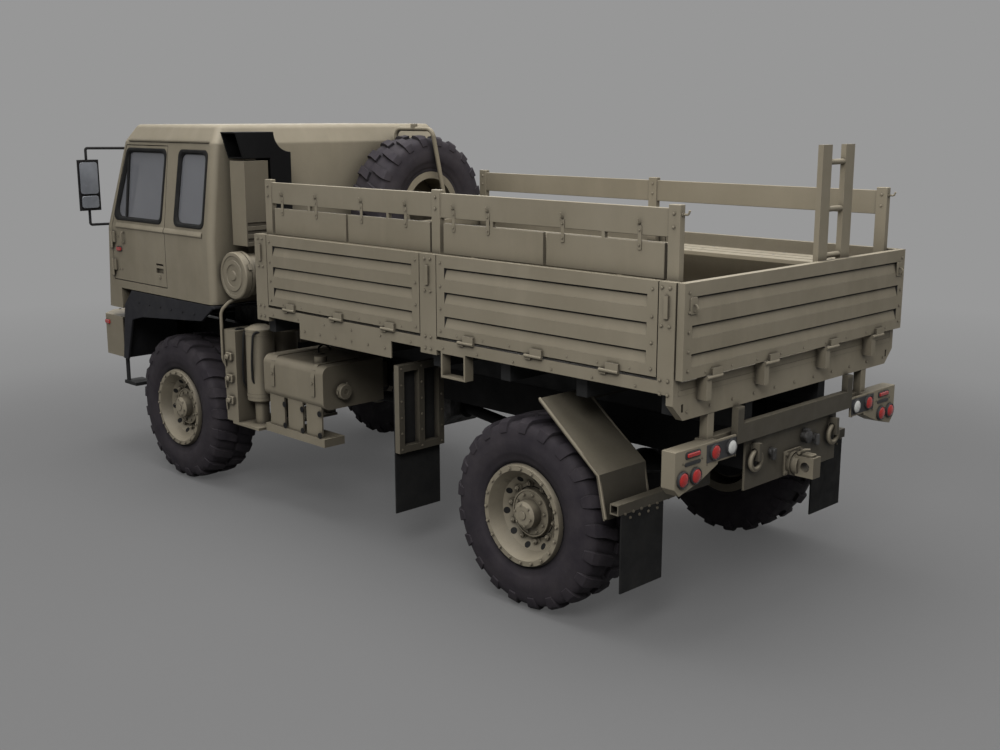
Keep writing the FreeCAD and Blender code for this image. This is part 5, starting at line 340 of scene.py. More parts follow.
class Shape:
    """Collects faces for one piece of the scene."""

    def __init__(self):
        self.bm = bmesh.new()

    def lathe(self, profile, at, axis, steps=32):
        """Turns (along, radius) points about an axis through a place."""
        axis, side, other = axes_round(axis)
        rings = [[self.bm.verts.new(Vector(at) + axis * a + out * r) for a, r in profile]
                 for out in spokes(steps, 1, side, other)]
        for n in range(steps):
            here, there = rings[n], rings[(n + 1) % steps]
            for k in range(len(profile) - 1):
                self.face([here[k], there[k], there[k + 1], here[k + 1]])
        return self

    def face(self, corners):
        """Adds a face, less the corners that coincide; one that exists already stays as it is."""
        kept = []
        for vert in corners:
            if all((vert.co - other.co).length > 1e-7 for other in kept):
                kept.append(vert)
        if len(kept) > 2:
            try:
                self.bm.faces.new(kept)
            except ValueError:
                pass

    def disc(self, at, axis, radius, depth, steps=24, lip=None):
        """A round plug whose flat back lies at a place; the lip softens its outer edge."""
        lip = depth * 0.3 if lip is None else lip
        profile = [(0, 0), (0, radius), (depth - lip, radius), (depth, radius - lip), (depth, 0)]
        return self.lathe(profile, at, axis, steps)

    def ring(self, at, axis, radius, thick, steps=32, sides=8):
        """A round bar bent into a full ring."""
        angles = [2 * math.pi * k / sides for k in range(sides + 1)]
        profile = [(thick * math.sin(angle), radius + thick * math.cos(angle)) for angle in angles]
        return self.lathe(profile, at, axis, steps)

    def bolt(self, at, axis, radius, height=None):
        """A hexagon head on its washer."""
        height = radius * 0.9 if height is None else height
        washer = [(0, 0), (0, radius * 1.35), (height * 0.22, radius * 1.3), (height * 0.22, 0)]
        head = [(0, 0), (0, radius), (height * 0.72, radius), (height * 0.8, radius * 0.86), (height * 0.8, 0)]
        self.lathe(washer, at, axis, 12)
        return self.lathe(head, Vector(at) + Vector(axis).normalized() * height * 0.2, axis, 6)

    def bolts(self, places, axis, radius, height=None):
        """A bolt at every place."""
        for at in places:
            self.bolt(at, axis, radius, height)
        return self

    def rivet(self, at, axis, radius=0.007, crown=(0.003, 0.006), top=0.004, steps=10):
        """A low round head."""
        return self.lathe([(0, 0), (0, radius), crown, (top, 0)], at, axis, steps)

    def band(self, at, axis, start, end, inner, outer, steps=48):
        """A square-edged ring along an axis, or a plug where the inner radius is 0."""
        return self.lathe([(start, inner), (start, outer), (end, outer), (end, inner)], at, axis, steps)

    def tube(self, path, radius, steps=10, smooth=True):
        """A round bar through points, its bends rounded when smooth."""
        points = rounded_path(path) if smooth and len(path) > 2 else [Vector(p) for p in path]
        rings = []
        side = None
        for n, spot in enumerate(points):
            ahead = points[min(n + 1, len(points) - 1)] - points[max(n - 1, 0)]
            ahead.normalize()
            if side is None:
                side = ahead.orthogonal().normalized()
            side = (side - ahead * side.dot(ahead)).normalized()
            other = ahead.cross(side)
            rings.append([self.bm.verts.new(spot + (side * math.cos(a) + other * math.sin(a)) * radius)
                          for a in (2 * math.pi * k / steps for k in range(steps))])
        for here, there in zip(rings, rings[1:]):
            for k in range(steps):
                self.face([here[k], here[(k + 1) % steps], there[(k + 1) % steps], there[k]])
        self.face(rings[0][::-1])
        self.face(rings[-1])
        return self

    def prism(self, outline, push):
        """A flat outline of points pushed along a vector."""
        near = [self.bm.verts.new(Vector(p)) for p in outline]
        far = [self.bm.verts.new(Vector(p) + Vector(push)) for p in outline]
        self.face(near[::-1])
        self.face(far)
        for n in range(len(near)):
            m = (n + 1) % len(near)
            self.face([near[n], near[m], far[m], far[n]])
        return self

    def collar(self, corners, normal, rings, filled=False):
        """Rounded copies of a corner loop, each (grow, corner radius, lift), joined in turn."""
        loops = [[self.bm.verts.new(spot) for spot in rounded_loop(corners, normal, *ring)] for ring in rings]
        for here, there in zip(loops, loops[1:]):
            for k in range(len(here)):
                n = (k + 1) % len(here)
                self.face([here[k], here[n], there[n], there[k]])
        if filled:
            self.face(loops[0][::-1])
            self.face(loops[-1])
        return self

    def pad(self, centre, normal, size, depth, radius=0.006, lip=0.0015):
        """A plate with rounded corners that stands on a surface; size is (across, upwards)."""
        centre, normal = Vector(centre), Vector(normal).normalized()
        right = AHEAD if abs(normal.z) > 0.9 else UP.cross(normal).normalized()
        up = normal.cross(right)
        across, tall = right * size[0] / 2, up * size[1] / 2
        corners = [centre + across * x + tall * z for x, z in ((-1, -1), (1, -1), (1, 1), (-1, 1))]
        radius = min(radius, size[0] * 0.49, size[1] * 0.49)
        lip = min(lip, depth / 2, radius * 0.8)
        rings = [(0, radius, 0), (0, radius, depth - lip), (-lip, radius - lip, depth)]
        return self.collar(corners, normal, rings, filled=True)

    def mirror(self):
        """Adds the same faces on the truck's other side."""
        copy = bmesh.ops.duplicate(self.bm, geom=self.bm.verts[:] + self.bm.edges[:] + self.bm.faces[:])
        verts = [item for item in copy["geom"] if isinstance(item, bmesh.types.BMVert)]
        faces = [item for item in copy["geom"] if isinstance(item, bmesh.types.BMFace)]
        for vert in verts:
            vert.co.y = -vert.co.y
        bmesh.ops.reverse_faces(self.bm, faces=faces)
        return self

    def done(self, name, body="chassis", slot="tan_paint", material=None, soften=0.0):
        """Makes the object, rides it on a body and gives it its finish."""
        bmesh.ops.recalc_face_normals(self.bm, faces=self.bm.faces[:])
        piece = shown(name, self.bm, material or MATERIALS[slot])
        smooth_by_angle(piece.data)
        if soften:
            edge = piece.modifiers.new("soft_edges", "BEVEL")
            edge.width = soften
            edge.segments = 2
            edge.limit_method = "ANGLE"
            edge.angle_limit = math.radians(SOFT_FROM)
            edge.harden_normals = True
        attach(piece, body)
        return piece


def rounded_loop(corners, normal, grow, radius, lift, steps=5):
    """A flat corner loop grown in its own plane, with rounded corners, lifted along its normal."""
    points = []
    count = len(corners)
    for n in range(count):
        before, here, after = corners[n - 1], corners[n], corners[(n + 1) % count]
        enter, leave = (here - before).normalized(), (after - here).normalized()
        out, out_next = enter.cross(normal), leave.cross(normal)
        corner = here + (out + out_next) * grow / (1 + out.dot(out_next))
        turn = enter.angle(leave)
        centre = corner - enter * radius * math.tan(turn / 2) - out * radius
        for k in range(steps + 1):
            angle = turn * k / steps
            points.append(centre + (out * math.cos(angle) + enter * math.sin(angle)) * radius + normal * lift)
    return points


def rounded_path(path, share=0.35, steps=5):
    """Points along a path whose corners are cut by smooth curves."""
    path = [Vector(p) for p in path]
    points = [path[0]]
    for before, corner, after in zip(path, path[1:], path[2:]):
        reach = min((before - corner).length, (after - corner).length) * share
        enter = corner + (before - corner).normalized() * reach
        leave = corner + (after - corner).normalized() * reach
        for n in range(steps + 1):
            t = n / steps
            points.append(enter * (1 - t) ** 2 + corner * 2 * t * (1 - t) + leave * t ** 2)
    points.append(path[-1])
    return points


def smooth_by_angle(mesh, degrees=32):
    """Smooth shading, with the edges that turn more than this left sharp."""
    mesh.shade_smooth()
    mesh.set_sharp_from_angle(angle=math.radians(degrees))


def placed(name, data):
    """A new object in the scene."""
    obj = bpy.data.objects.new(name, data)
    bpy.context.scene.collection.objects.link(obj)
    return obj


def shown(name, bm, material):
    """A new object made of collected faces, in one material."""
    mesh = bpy.data.meshes.new(name)
    bm.to_mesh(mesh)
    bm.free()
    mesh.materials.append(material)
    return placed(name, mesh)


def node_faces(node, degrees, **limits):
    """The faces of a CAD node, with the edges between level faces taken out."""
    bm = bmesh.new()
    bm.from_mesh(frame["nodes"][node].data)
    bmesh.ops.remove_doubles(bm, verts=bm.verts[:], dist=2e-5)
    bmesh.ops.dissolve_limit(bm, angle_limit=math.radians(degrees), verts=bm.verts[:], edges=bm.edges[:],
                             **limits)
    return bm


def softened(node, width, segments):
    """A copy of a CAD node with its edges rounded, shown in the node's place."""
    bm = node_faces(node, 0.6, use_dissolve_boundaries=False)
    sharp = [edge for edge in bm.edges
             if len(edge.link_faces) == 2 and edge.calc_face_angle(0) > math.radians(SHARP_FROM)]
    for edge in bm.edges:
        edge.smooth = edge not in sharp
    bmesh.ops.bevel(bm, geom=sharp, offset=width, segments=segments, profile=0.5, affect="EDGES",
                    clamp_overlap=True, harden_normals=False)
    piece = shown(node + "_soft", bm, NODE_LOOKS.get(node, MATERIALS[SLOT_OF[node]]))
    smooth_by_angle(piece.data, SMOOTH_TO)
    even = piece.modifiers.new("even_shading", "WEIGHTED_NORMAL")
    even.keep_sharp = True
    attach(piece, BODY_OF[node])
    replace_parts(piece, node)
    return piece


# Tyres and wheels

WHEELS = {
    "front_left": ((1.91, 1.0075, 0.59), LEFT), "front_right": ((1.91, -1.0075, 0.59), RIGHT),
    "rear_left": ((-1.99, 1.0075, 0.59), LEFT), "rear_right": ((-1.99, -1.0075, 0.59), RIGHT),
}
SPARE_AT = (1.01, -0.625, 2.17)
TYRE_RADIUS = 0.59
TREAD_FLOOR = 0.566
LUGS = 21
RIM_BOLT_RADIUS, RIM_FACE, NUT_RADIUS, WHEEL_FACE, DISC_SLOPE = 0.2905, 0.1985, 0.1775, 0.0775, 0.70
SIDEWALL = [(0.160, 0.264), (0.163, 0.300), (0.166, 0.321), (0.174, 0.330), (0.178, 0.345), (0.186, 0.372),
            (0.1915, 0.380), (0.1925, 0.392), (0.1945, 0.400), (0.1965, 0.430), (0.1955, 0.462), (0.1935, 0.470),
            (0.1925, 0.486), (0.188, 0.512), (0.181, 0.536), (0.168, 0.554), (0.150, 0.562), (0.100, 0.565),
            (0.0, TREAD_FLOOR)]


def tyre(tag, centre, axis, body, node):
    """A heavy all-terrain tyre: ribbed side walls and two rows of slanted lugs that wrap the shoulders."""
    shape = Shape()
    profile = SIDEWALL + [(-a, r) for a, r in reversed(SIDEWALL[:-1])]
    shape.lathe(profile, centre, axis, 96)
    axis, side, other = axes_round(axis)

    def spot(along, radius, angle):
        return Vector(centre) + axis * along + (side * math.cos(angle) + other * math.sin(angle)) * radius

    pitch = 2 * math.pi / LUGS
    stations = [(0.006, TYRE_RADIUS - 0.001, 0.5605, 0.00, 0.034), (0.055, TYRE_RADIUS, 0.560, 0.12, 0.033),
                (0.105, TYRE_RADIUS - 0.0005, 0.559, 0.25, 0.034), (0.150, TYRE_RADIUS - 0.005, 0.552, 0.33, 0.038),
                (0.178, 0.567, 0.535, 0.36, 0.040), (0.1905, 0.538, 0.515, 0.37, 0.036),
                (0.1945, 0.508, 0.492, 0.37, 0.029)]
    for row in (1, -1):
        for n in range(LUGS):
            base = n * pitch + (0 if row > 0 else pitch / 2)
            rings = []
            for along, tip, root, slant, half in stations:
                middle = base + row * slant * pitch
                top, low = half / TYRE_RADIUS, (half + 0.006) / TYRE_RADIUS
                inward = 0.012 if along > 0.16 else 0.0
                rings.append([shape.bm.verts.new(spot(row * (along - inward), root, middle - low)),
                              shape.bm.verts.new(spot(row * along, tip, middle - top)),
                              shape.bm.verts.new(spot(row * along, tip, middle + top)),
                              shape.bm.verts.new(spot(row * (along - inward), root, middle + low))])
            for here, there in zip(rings, rings[1:]):
                for k in range(3):
                    shape.face([here[k], here[k + 1], there[k + 1], there[k]])
            shape.face(rings[0])
            shape.face(rings[-1][::-1])
    for row in (1, -1):
        for n in range(LUGS * 3):
            angle = n * pitch / 3 + pitch / 12
            shape.prism([spot(row * 0.1950, 0.436, angle - 0.006), spot(row * 0.1950, 0.436, angle + 0.006),
                         spot(row * 0.1925, 0.466, angle + 0.006), spot(row * 0.1925, 0.466, angle - 0.006)],
                        axis * row * 0.0022)
    piece = shape.done("lugged_tyre_" + tag, body, "tyre_rubber", soften=0.0035)
    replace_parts(piece, node)
    return piece


def wheel_fittings(tag, centre, axis, body, mounted=True):
    """Clamp-ring bolts and a dark disc of painted shade in each hand hole, with nuts, flange bolts and a dark ring
    of painted shade on a hub, or the spare's clamp and a dark disc of painted shade at each of its studs.
    """
    axis, side, other = axes_round(axis)
    centre = Vector(centre)
    shape, shade_marks = Shape(), Shape()

    def around(count, radius, along, offset=0.0):
        return [centre + axis * along + arm for arm in spokes(count, radius, side, other, offset)]

    shape.bolts(around(20, RIM_BOLT_RADIUS, RIM_FACE, 0.5), axis, 0.0088, 0.012)
    # A dark disc of painted shade in each hand hole.
    for at in around(10, 0.212, 0.1024, 0.5):
        outward = (at - centre - axis * 0.1024).normalized()
        shade_marks.disc(at, axis - outward * DISC_SLOPE, 0.021, 0.0012, 16)
    if mounted:
        for at in around(10, NUT_RADIUS, WHEEL_FACE):
            shape.lathe([(0, 0), (0, 0.024), (0.007, 0.023), (0.007, 0)], at, axis, 16)
            shape.bolt(at + axis * 0.006, axis, 0.016, 0.024)
            shape.disc(at + axis * 0.022, axis, 0.0085, 0.018, 10)
        shape.bolts(around(10, 0.117, 0.1115, 0.5), axis, 0.0085, 0.012)
        shape.bolts(around(6, 0.064, 0.1805, 0.5), axis, 0.006, 0.008)
        # A dark ring of painted shade round the hub.
        shade_marks.lathe([(0.0776, 0.153), (0.0784, 0.153), (0.0784, 0.160), (0.0776, 0.160)], centre, axis, 40)
        shape.disc(centre + axis * 0.182, axis, 0.026, 0.006, 20)
        shape.lathe([(0.1075, 0.1475), (0.1155, 0.1450), (0.1155, 0.1370), (0.1075, 0.1345)], centre, axis, 40)
    else:
        # A dark disc of painted shade at each stud of the spare.
        for at in around(10, NUT_RADIUS, WHEEL_FACE + 0.0001):
            shade_marks.disc(at, axis, 0.013, 0.0006, 14)
        shape.disc(centre + axis * WHEEL_FACE, axis, 0.095, 0.014, 32)
        shape.bolts(around(3, 0.062, 0.0915), axis, 0.014, 0.020)
        shape.disc(centre + axis * 0.0915, axis, 0.018, 0.050, 18)
    shade_marks.done("wheel_shade_marks_" + tag, body, "black_metal")
    stem = centre + side * 0.235 + axis * 0.075
    shape.tube([stem, stem + axis * 0.045, stem + axis * 0.08 + side * 0.02], 0.006, 8)
    return shape.done("wheel_fittings_" + tag, body, "wheel_paint")


def wheels():
    """The four wheels and the spare."""
    for tag, (centre, side) in WHEELS.items():
        body = "wheel_" + tag
        tyre(tag, centre, (0, side, 0), body, "tyre_" + tag)
        wheel_fittings(tag, centre, (0, side, 0), body)
    tyre("spare", SPARE_AT, AHEAD, "chassis", "tyre_spare")
    wheel_fittings("spare", SPARE_AT, AHEAD, "chassis", mounted=False)


# Where things lie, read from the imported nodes

class Extent:
    """The lowest and highest values of a CAD node along each axis."""

    def __init__(self, node):
        low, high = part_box(node)
        self.x0, self.y0, self.z0 = low
        self.x1, self.y1, self.z1 = high

    def along(self, axis, share):
        """A place part of the way from the low end to the high end of an axis."""
        low, high = getattr(self, axis + "0"), getattr(self, axis + "1")
        return low + (high - low) * share


AT = {node: Extent(node) for node in frame["nodes"]}


# Windows

SEAL_RINGS = [(0.016, 0.050, 0.0175), (0.016, 0.050, 0.0225), (0.010, 0.047, 0.0265), (-0.005, 0.055, 0.0245),
              (-0.017, 0.060, 0.0080), (-0.017, 0.060, 0.0005)]
WINDOW_BAR_HALF, WINDOW_BAR_THICK = 0.013, 0.014


def pane_outlines(node):
    """The outer corner loop of each pane in a glass node, and the way it faces."""
    bm = node_faces(node, 1)
    left = set(bm.faces)
    middle = Vector((AT["cab_shell"].along("x", 0.4), 0, AT["cab_shell"].z1))
    loops = []
    while left:
        island, queue = [], [left.pop()]
        while queue:
            face = queue.pop()
            island.append(face)
            for other in (other for edge in face.edges for other in edge.link_faces if other in left):
                left.discard(other)
                queue.append(other)
        widest = sorted(island, key=lambda face: face.calc_area())[-2:]
        outer = max(widest, key=lambda face: (face.calc_center_median() - middle).length)
        loops.append(([vert.co.copy() for vert in outer.verts], outer.normal.copy()))
    bm.free()
    return loops


def window_seals():
    """Black rubber round every window, and the upright bar in each door's window."""
    for node in ("cab_glass", "door_glass_left", "door_glass_right"):
        body = BODY_OF[node]
        shape = Shape()
        for corners, normal in pane_outlines(node):
            shape.collar(corners, normal, SEAL_RINGS)
            if body != "cab":
                top = max(corners, key=lambda spot: spot.z * 10 + spot.x)
                low = min(corners, key=lambda spot: spot.z)
                foot = Vector((top.x, 0, low.z))
                foot.y = low.y - (foot - low).dot(Vector((normal.x, 0, normal.z))) / normal.y
                half = AHEAD * WINDOW_BAR_HALF
                shape.prism([top - half, foot - half, foot + half, top + half], normal * WINDOW_BAR_THICK)
        shape.done("seal_" + node, body, "flap_rubber")


# Cab

CAB_SIDE_Y = AT["cab_shell"].y1 - 0.0275
BELT_TOP = 2.050
FENDER_BOLT_Z = 1.400
MIRROR_HALF_WIDTH, MIRROR_FOOT_Z, MIRROR_HEIGHT, MIRROR_REAR_X = 0.095, 2.140, 0.420, 2.930
SCREEN = max(pane_outlines("cab_glass"), key=lambda loop: loop[1].x)


def belt_ledge(shape, rear, front, face, out):
    """The narrow ledge under the side windows, its top sloped so that it catches the light."""
    outline = ((0.0, -0.0055), (0.016, 0.0055), (0.036, 0.009), (0.050, 0.0), (0.050, -0.006), (0.0, -0.012))
    corner = Vector((rear, face, BELT_TOP))
    shape.prism([corner - UP * drop + out * lift for drop, lift in outline], AHEAD * (front - rear))


def door_fittings(tag, side):
    """Lock, side lamp, hand loop, ledge and hinge bolts outside; trim panel, pull and crank inside."""
    body = "door_" + tag
    door = AT[body]
    out = LEFTWARD * side
    face = CAB_SIDE_Y * side
    shape, lamp_base, lens_shape, trim = Shape(), Shape(), Shape(), Shape()
    lock = Vector((door.x0 + 0.095, face, door.z0 + 0.075))
    shape.disc(lock, out, 0.014, 0.006, 20)
    shape.disc(lock + out * 0.006, out, 0.008, 0.003, 16)
    loop = Vector((door.x1 - 0.20, face, door.z0 + 0.40))
    shape.tube([loop, loop + out * 0.028, loop + out * 0.028 - UP * 0.085, loop - UP * 0.085], 0.0055, 8)
    hinge = evenly(3, door.x1 - 0.055, door.x1 - 0.139)
    shape.bolts(grid(hinge, [face], (door.z0 + 0.09, door.z0 + 0.36)), out, SMALL_BOLT)
    belt_ledge(shape, door.x0 + 0.004, door.x1 - 0.075, face, out)
    shape.done("door_fittings_" + tag, body)
    lamp_at = Vector((door.x1 - 0.11, face, door.z0 + 0.258))
    lamp_base.pad(lamp_at, out, (0.086, 0.040), 0.006, 0.008)
    lamp_base.done("side_lamp_base_" + tag, body, "dark_plastic")
    lens_shape.pad(lamp_at + out * 0.006, out, (0.072, 0.028), 0.009, 0.007)
    lens_shape.done("side_lamp_" + tag, body, "lamp_red")
    panel = Vector(((door.x0 + door.x1) / 2 - 0.03, face - side * 0.041, door.z0))
    lining = panel - out * 0.010
    trim.pad(panel + UP * 0.20, -out, (0.66, 0.32), 0.010, 0.03)
    trim.pad(lining + UP * 0.11, -out, (0.44, 0.09), 0.024, 0.02)
    pull = ((-0.12, 0), (-0.12, 0.03), (0.10, 0.03), (0.10, 0))
    trim.tube([lining + AHEAD * x - out * y + UP * 0.30 for x, y in pull], 0.009, 8)
    crank = lining + AHEAD * 0.22 + UP * 0.26
    trim.lathe([(0, 0), (0, 0.022), (0.014, 0.020), (0.014, 0)], crank, -out, 16)
    trim.tube([crank - out * 0.010, crank - out * 0.016 + Vector((-0.06, 0, -0.06))], 0.006, 8)
    trim.done("door_trim_" + tag, body, "dark_plastic")


def roof_fittings():
    """The drip rail along the roof's seam, the ledges behind the doors and the marker lamps over the screen."""
    roof, shell = AT["cab_roof"], AT["cab_shell"]
    corner = Vector((roof.x0 + 0.07, roof.y1 - 0.007, roof.z0 + 0.006))
    rail = ((0, 0), (0.014, 0.002), (0.016, 0.012), (0.011, 0.012), (0.010, 0.006), (0, 0.005))
    shape, lamps, base = Shape(), Shape(), Shape()
    shape.prism([corner + LEFTWARD * y + UP * z for y, z in rail], AHEAD * (roof.x1 - roof.x0 - 0.17))
    shape.mirror()
    for side in (LEFT, RIGHT):
        belt_ledge(shape, shell.x0 + 0.11, AT["door_left"].x0 - 0.006, side * CAB_SIDE_Y, LEFTWARD * side)
    shape.done("roof_gutter", "cab")
    brow = max(roof_faces(), key=lambda pair: pair[1].x)
    for y in (-0.86, -0.22, 0.0, 0.22, 0.86):
        spot = Vector((brow[0].x, y, brow[0].z))
        base.pad(spot, brow[1], (0.115, 0.040), 0.008, 0.016)
        lamps.pad(spot + brow[1] * 0.007, brow[1], (0.095, 0.028), 0.018, 0.012, 0.005)
    base.done("marker_bases", "cab", "dark_plastic")
    lamps.done("marker_lamps", "cab", "lamp_glass", AMBER)


def roof_faces():
    """The middle and the outward side of each wide face of the cab's roof."""
    return [(face.center.copy(), face.normal.copy()) for face in frame["nodes"]["cab_roof"].data.polygons
            if face.area > 0.05 and face.normal.z > -0.2 and abs(face.center.y) < 0.6]


def screen_spot(y, level, lift=0.0):
    """A place on the windscreen, lifted along its outward side."""
    corners, normal = SCREEN
    anchor = corners[0]
    x = anchor.x - (normal.z * (level - anchor.z) + normal.y * (y - anchor.y)) / normal.x
    return Vector((x, y, level)) + normal * lift


def wipers():
    """Wipers at rest along the foot of the screen, each with an arm, a bow and a blade."""
    shape, blades = Shape(), Shape()
    foot = AT["cab_glass"].z0
    for y in (0.62, -0.30):
        pivot = screen_spot(y, foot - 0.045, 0.030)
        tip = screen_spot(y - 0.34, foot + 0.09, 0.030)
        shape.disc(screen_spot(y, foot - 0.045, 0.012), SCREEN[1], 0.022, 0.022, 18)
        shape.tube([pivot, pivot.lerp(tip, 0.55) + SCREEN[1] * 0.012, tip], 0.0055, 8)
        ends = [screen_spot(y - 0.57, foot + 0.12, 0.012), screen_spot(y - 0.11, foot + 0.078, 0.012)]
        blades.tube(ends, 0.0065, 6)
        shape.tube([ends[0].lerp(ends[1], 0.25), tip, ends[0].lerp(ends[1], 0.75)], 0.004, 6)
    shape.done("wiper_arms", "cab", "black_metal")
    blades.done("wiper_blades", "cab", "flap_rubber")


def cab_front():
    """The grille's bolts and mesh, the front grab bars and the fenders' bolts."""
    grille = AT["grille"]
    shape, mesh, bolts = Shape(), Shape(), Shape()
    columns, rows = evenly(6, grille.y0 + 0.018, grille.y1 - 0.018), (grille.z0 + 0.016, grille.z1 - 0.016)
    shape.bolts(grid([grille.x1 - 0.001], columns, rows), AHEAD, SMALL_BOLT)
    for side in (LEFT, RIGHT):
        grip = Vector((grille.x1 - 0.012, side * 0.80, grille.z1 + 0.10))
        shape.tube([grip, grip + AHEAD * 0.055, grip + AHEAD * 0.055 - UP * 0.30, grip - UP * 0.30], 0.011, 10)
        for level in (0, -0.30):
            shape.disc(grip + UP * level - AHEAD * 0.004, AHEAD, 0.024, 0.007, 16)
    shape.done("cab_front_fittings", "cab")
    back = grille.x0 - 0.004
    for y in evenly(46, grille.y0 + 0.02, grille.y1 - 0.02):
        mesh.tube([(back, y, grille.z0 + 0.02), (back, y, grille.z1 - 0.02)], 0.0016, 4, smooth=False)
    mesh.done("grille_mesh", "cab", "black_metal")
    bolts.bolts(grid(evenly(6, 1.56, 2.42), [AT["front_fenders"].y1], [FENDER_BOLT_Z]), LEFTWARD, PLAIN_BOLT)
    bolts.mirror()
    bolts.done("fender_bolts", BODY_OF["front_fenders"], "black_metal", FENDER)


def mirror_glass():
    """Silvered glass in each mirror's rear face, over a small wide-angle one, and the arm clamps."""
    glass, trim = Shape(), Shape()
    back = Vector((MIRROR_REAR_X, AT["mirrors"].y1 - MIRROR_HALF_WIDTH, MIRROR_FOOT_Z + MIRROR_HEIGHT / 2))
    glass.pad(back + UP * MIRROR_HEIGHT * 0.14, -AHEAD, (0.158, MIRROR_HEIGHT * 0.62), 0.003, 0.022)
    glass.pad(back - UP * MIRROR_HEIGHT * 0.33, -AHEAD, (0.150, MIRROR_HEIGHT * 0.24), 0.006, 0.022, 0.004)
    for share in (-0.36, 0.36):
        clamp = back + AHEAD * 0.060 + UP * MIRROR_HEIGHT * share
        trim.pad(clamp, AHEAD, (0.046, 0.060), 0.012, 0.006)
        trim.bolts([clamp + AHEAD * 0.012 + UP * step for step in (-0.018, 0.018)], AHEAD, 0.004)
    glass.mirror()
    trim.mirror()
    glass.done("mirror_glass", "cab", "dark_plastic", MIRROR)
    trim.done("mirror_clamps", "cab", "black_metal")


# Left side behind the cab

CLEANER_X, CLEANER_Z = 1.085, 1.740
CLEANER_CAP = [(-0.040, 0.1765), (-0.040, 0.1785), (0.004, 0.1785), (0.012, 0.172), (0.014, 0.150),
               (0.009, 0.146), (0.009, 0.120), (0.015, 0.116), (0.015, 0.086), (0.009, 0.082), (0.009, 0.040),
               (0.018, 0.034), (0.018, 0)]
DUCT_LEG = 0.190
AIR_TANK_X, AIR_TANK_Y, AIR_TANK_STEP = 0.950, 1.030, 0.270
TANK_FOOT_Z, TANK_CROWN_Z = 0.860, 1.175
FILLER_CAP = [(0, 0.050), (0.020, 0.050), (0.020, 0.058), (0.052, 0.055), (0.056, 0.050), (0.056, 0.020),
              (0.050, 0.018), (0.050, 0)]
STEP_GAP_SHARES = (0.075, 0.36, 0.66)
GUARD_DEPTH, GUARD_INNER_Y, GUARD_OUTER_Y, GUARD_FOOT_Z, GUARD_TOP_Z = 0.046, 0.745, 1.142, 0.725, 1.320
MUD_INNER_Y, MUD_OUTER_Y, MUD_BAR_Z, MUD_FLAP_BOLT_Z = 0.800, 1.205, 0.765, 0.735
MUD_TOP_X, MUD_KNEE_X, MUD_KNEE_Z, MUD_LOW_X = -2.130, -2.585, 0.960, -2.640


def air_intake():
    """The air cleaner's ribbed end cap with its clamps and band, and the bands round the duct."""
    drum, duct = AT["air_cleaner"], AT["air_duct"]
    centre = Vector((CLEANER_X, drum.y1, CLEANER_Z))
    shape, bands = Shape(), Shape()
    shape.lathe(CLEANER_CAP, centre, LEFTWARD, 48)
    for arm in spokes(3, 1, AHEAD, UP, 35 / 120):
        shape.pad(centre + arm * 0.175 - LEFTWARD * 0.03, arm, (0.030, 0.050), 0.012, 0.006)
    shape.band(centre, LEFTWARD, -0.070, -0.045, 0.177, 0.1795)
    shape.done("cleaner_cap")
    back = duct.y0 + DUCT_LEG
    for level in (duct.z0 + 0.10, duct.z0 + 0.46):
        corners = ((duct.x0, duct.y0), (duct.x1, duct.y0), (duct.x1, back), (duct.x0, back))
        bands.collar([Vector((x, y, level)) for x, y in corners], UP,
                     [(0.0005, 0.012, 0), (0.004, 0.015, 0.001), (0.004, 0.015, 0.021), (0.0005, 0.012, 0.022)])
    bands.done("duct_bands", slot="cast_metal")


def side_units():
    """Pipes, valves and hoses on the valve box and the air tanks, and the tanks' end seams."""
    units = AT["air_tanks"]
    face, front = units.y1, units.x1 + 0.010
    shape, hoses = Shape(), Shape()
    shape.tube([(front - 0.02, face - 0.02, 1.02), (front, face + 0.010, 1.08), (front, face + 0.010, 1.46),
                (front - 0.06, face - 0.04, 1.54), (CLEANER_X + 0.03, face - 0.14, CLEANER_Z - 0.16)], 0.013, 12)
    for level in (0.78, 0.95, 1.12):
        centre = Vector((units.x1 - 0.085, face, level))
        shape.pad(centre, LEFTWARD, (0.075, 0.060), 0.026, 0.010, 0.004)
        shape.disc(centre + LEFTWARD * 0.026, LEFTWARD, 0.020, 0.020, 20)
        shape.bolts([centre + Vector((step, 0.026, 0.018)) for step in (-0.027, 0.027)], LEFTWARD, 0.0045)
        bend = ((0.035, 0.013, 0), (0.062, 0.016, 0), (0.062, 0.010, -0.085))
        shape.tube([centre + Vector(step) for step in bend], 0.007, 8)
    for at in grid([AIR_TANK_X], (AIR_TANK_Y, AIR_TANK_Y - AIR_TANK_STEP), (units.z0 + 0.235, units.z1 - 0.07)):
        shape.band(at, UP, 0, 0.022, 0.1078, 0.1110, 40)
    shape.done("side_unit_pipes")
    for n, x in enumerate(evenly(3, units.x0 + 0.06, units.x1 - 0.12)):
        drop = 0.10 + 0.03 * n
        hoses.tube([(x, face - 0.17, 1.30), (x + 0.01, face - 0.03, 1.34), (x + 0.03, face - 0.022, 1.22 - drop),
                    (x + 0.05, face - 0.035, 1.04 - drop), (x + 0.02, face - 0.14, 0.96 - drop)], 0.0085, 8)
    hoses.done("side_unit_hoses", slot="flap_rubber")


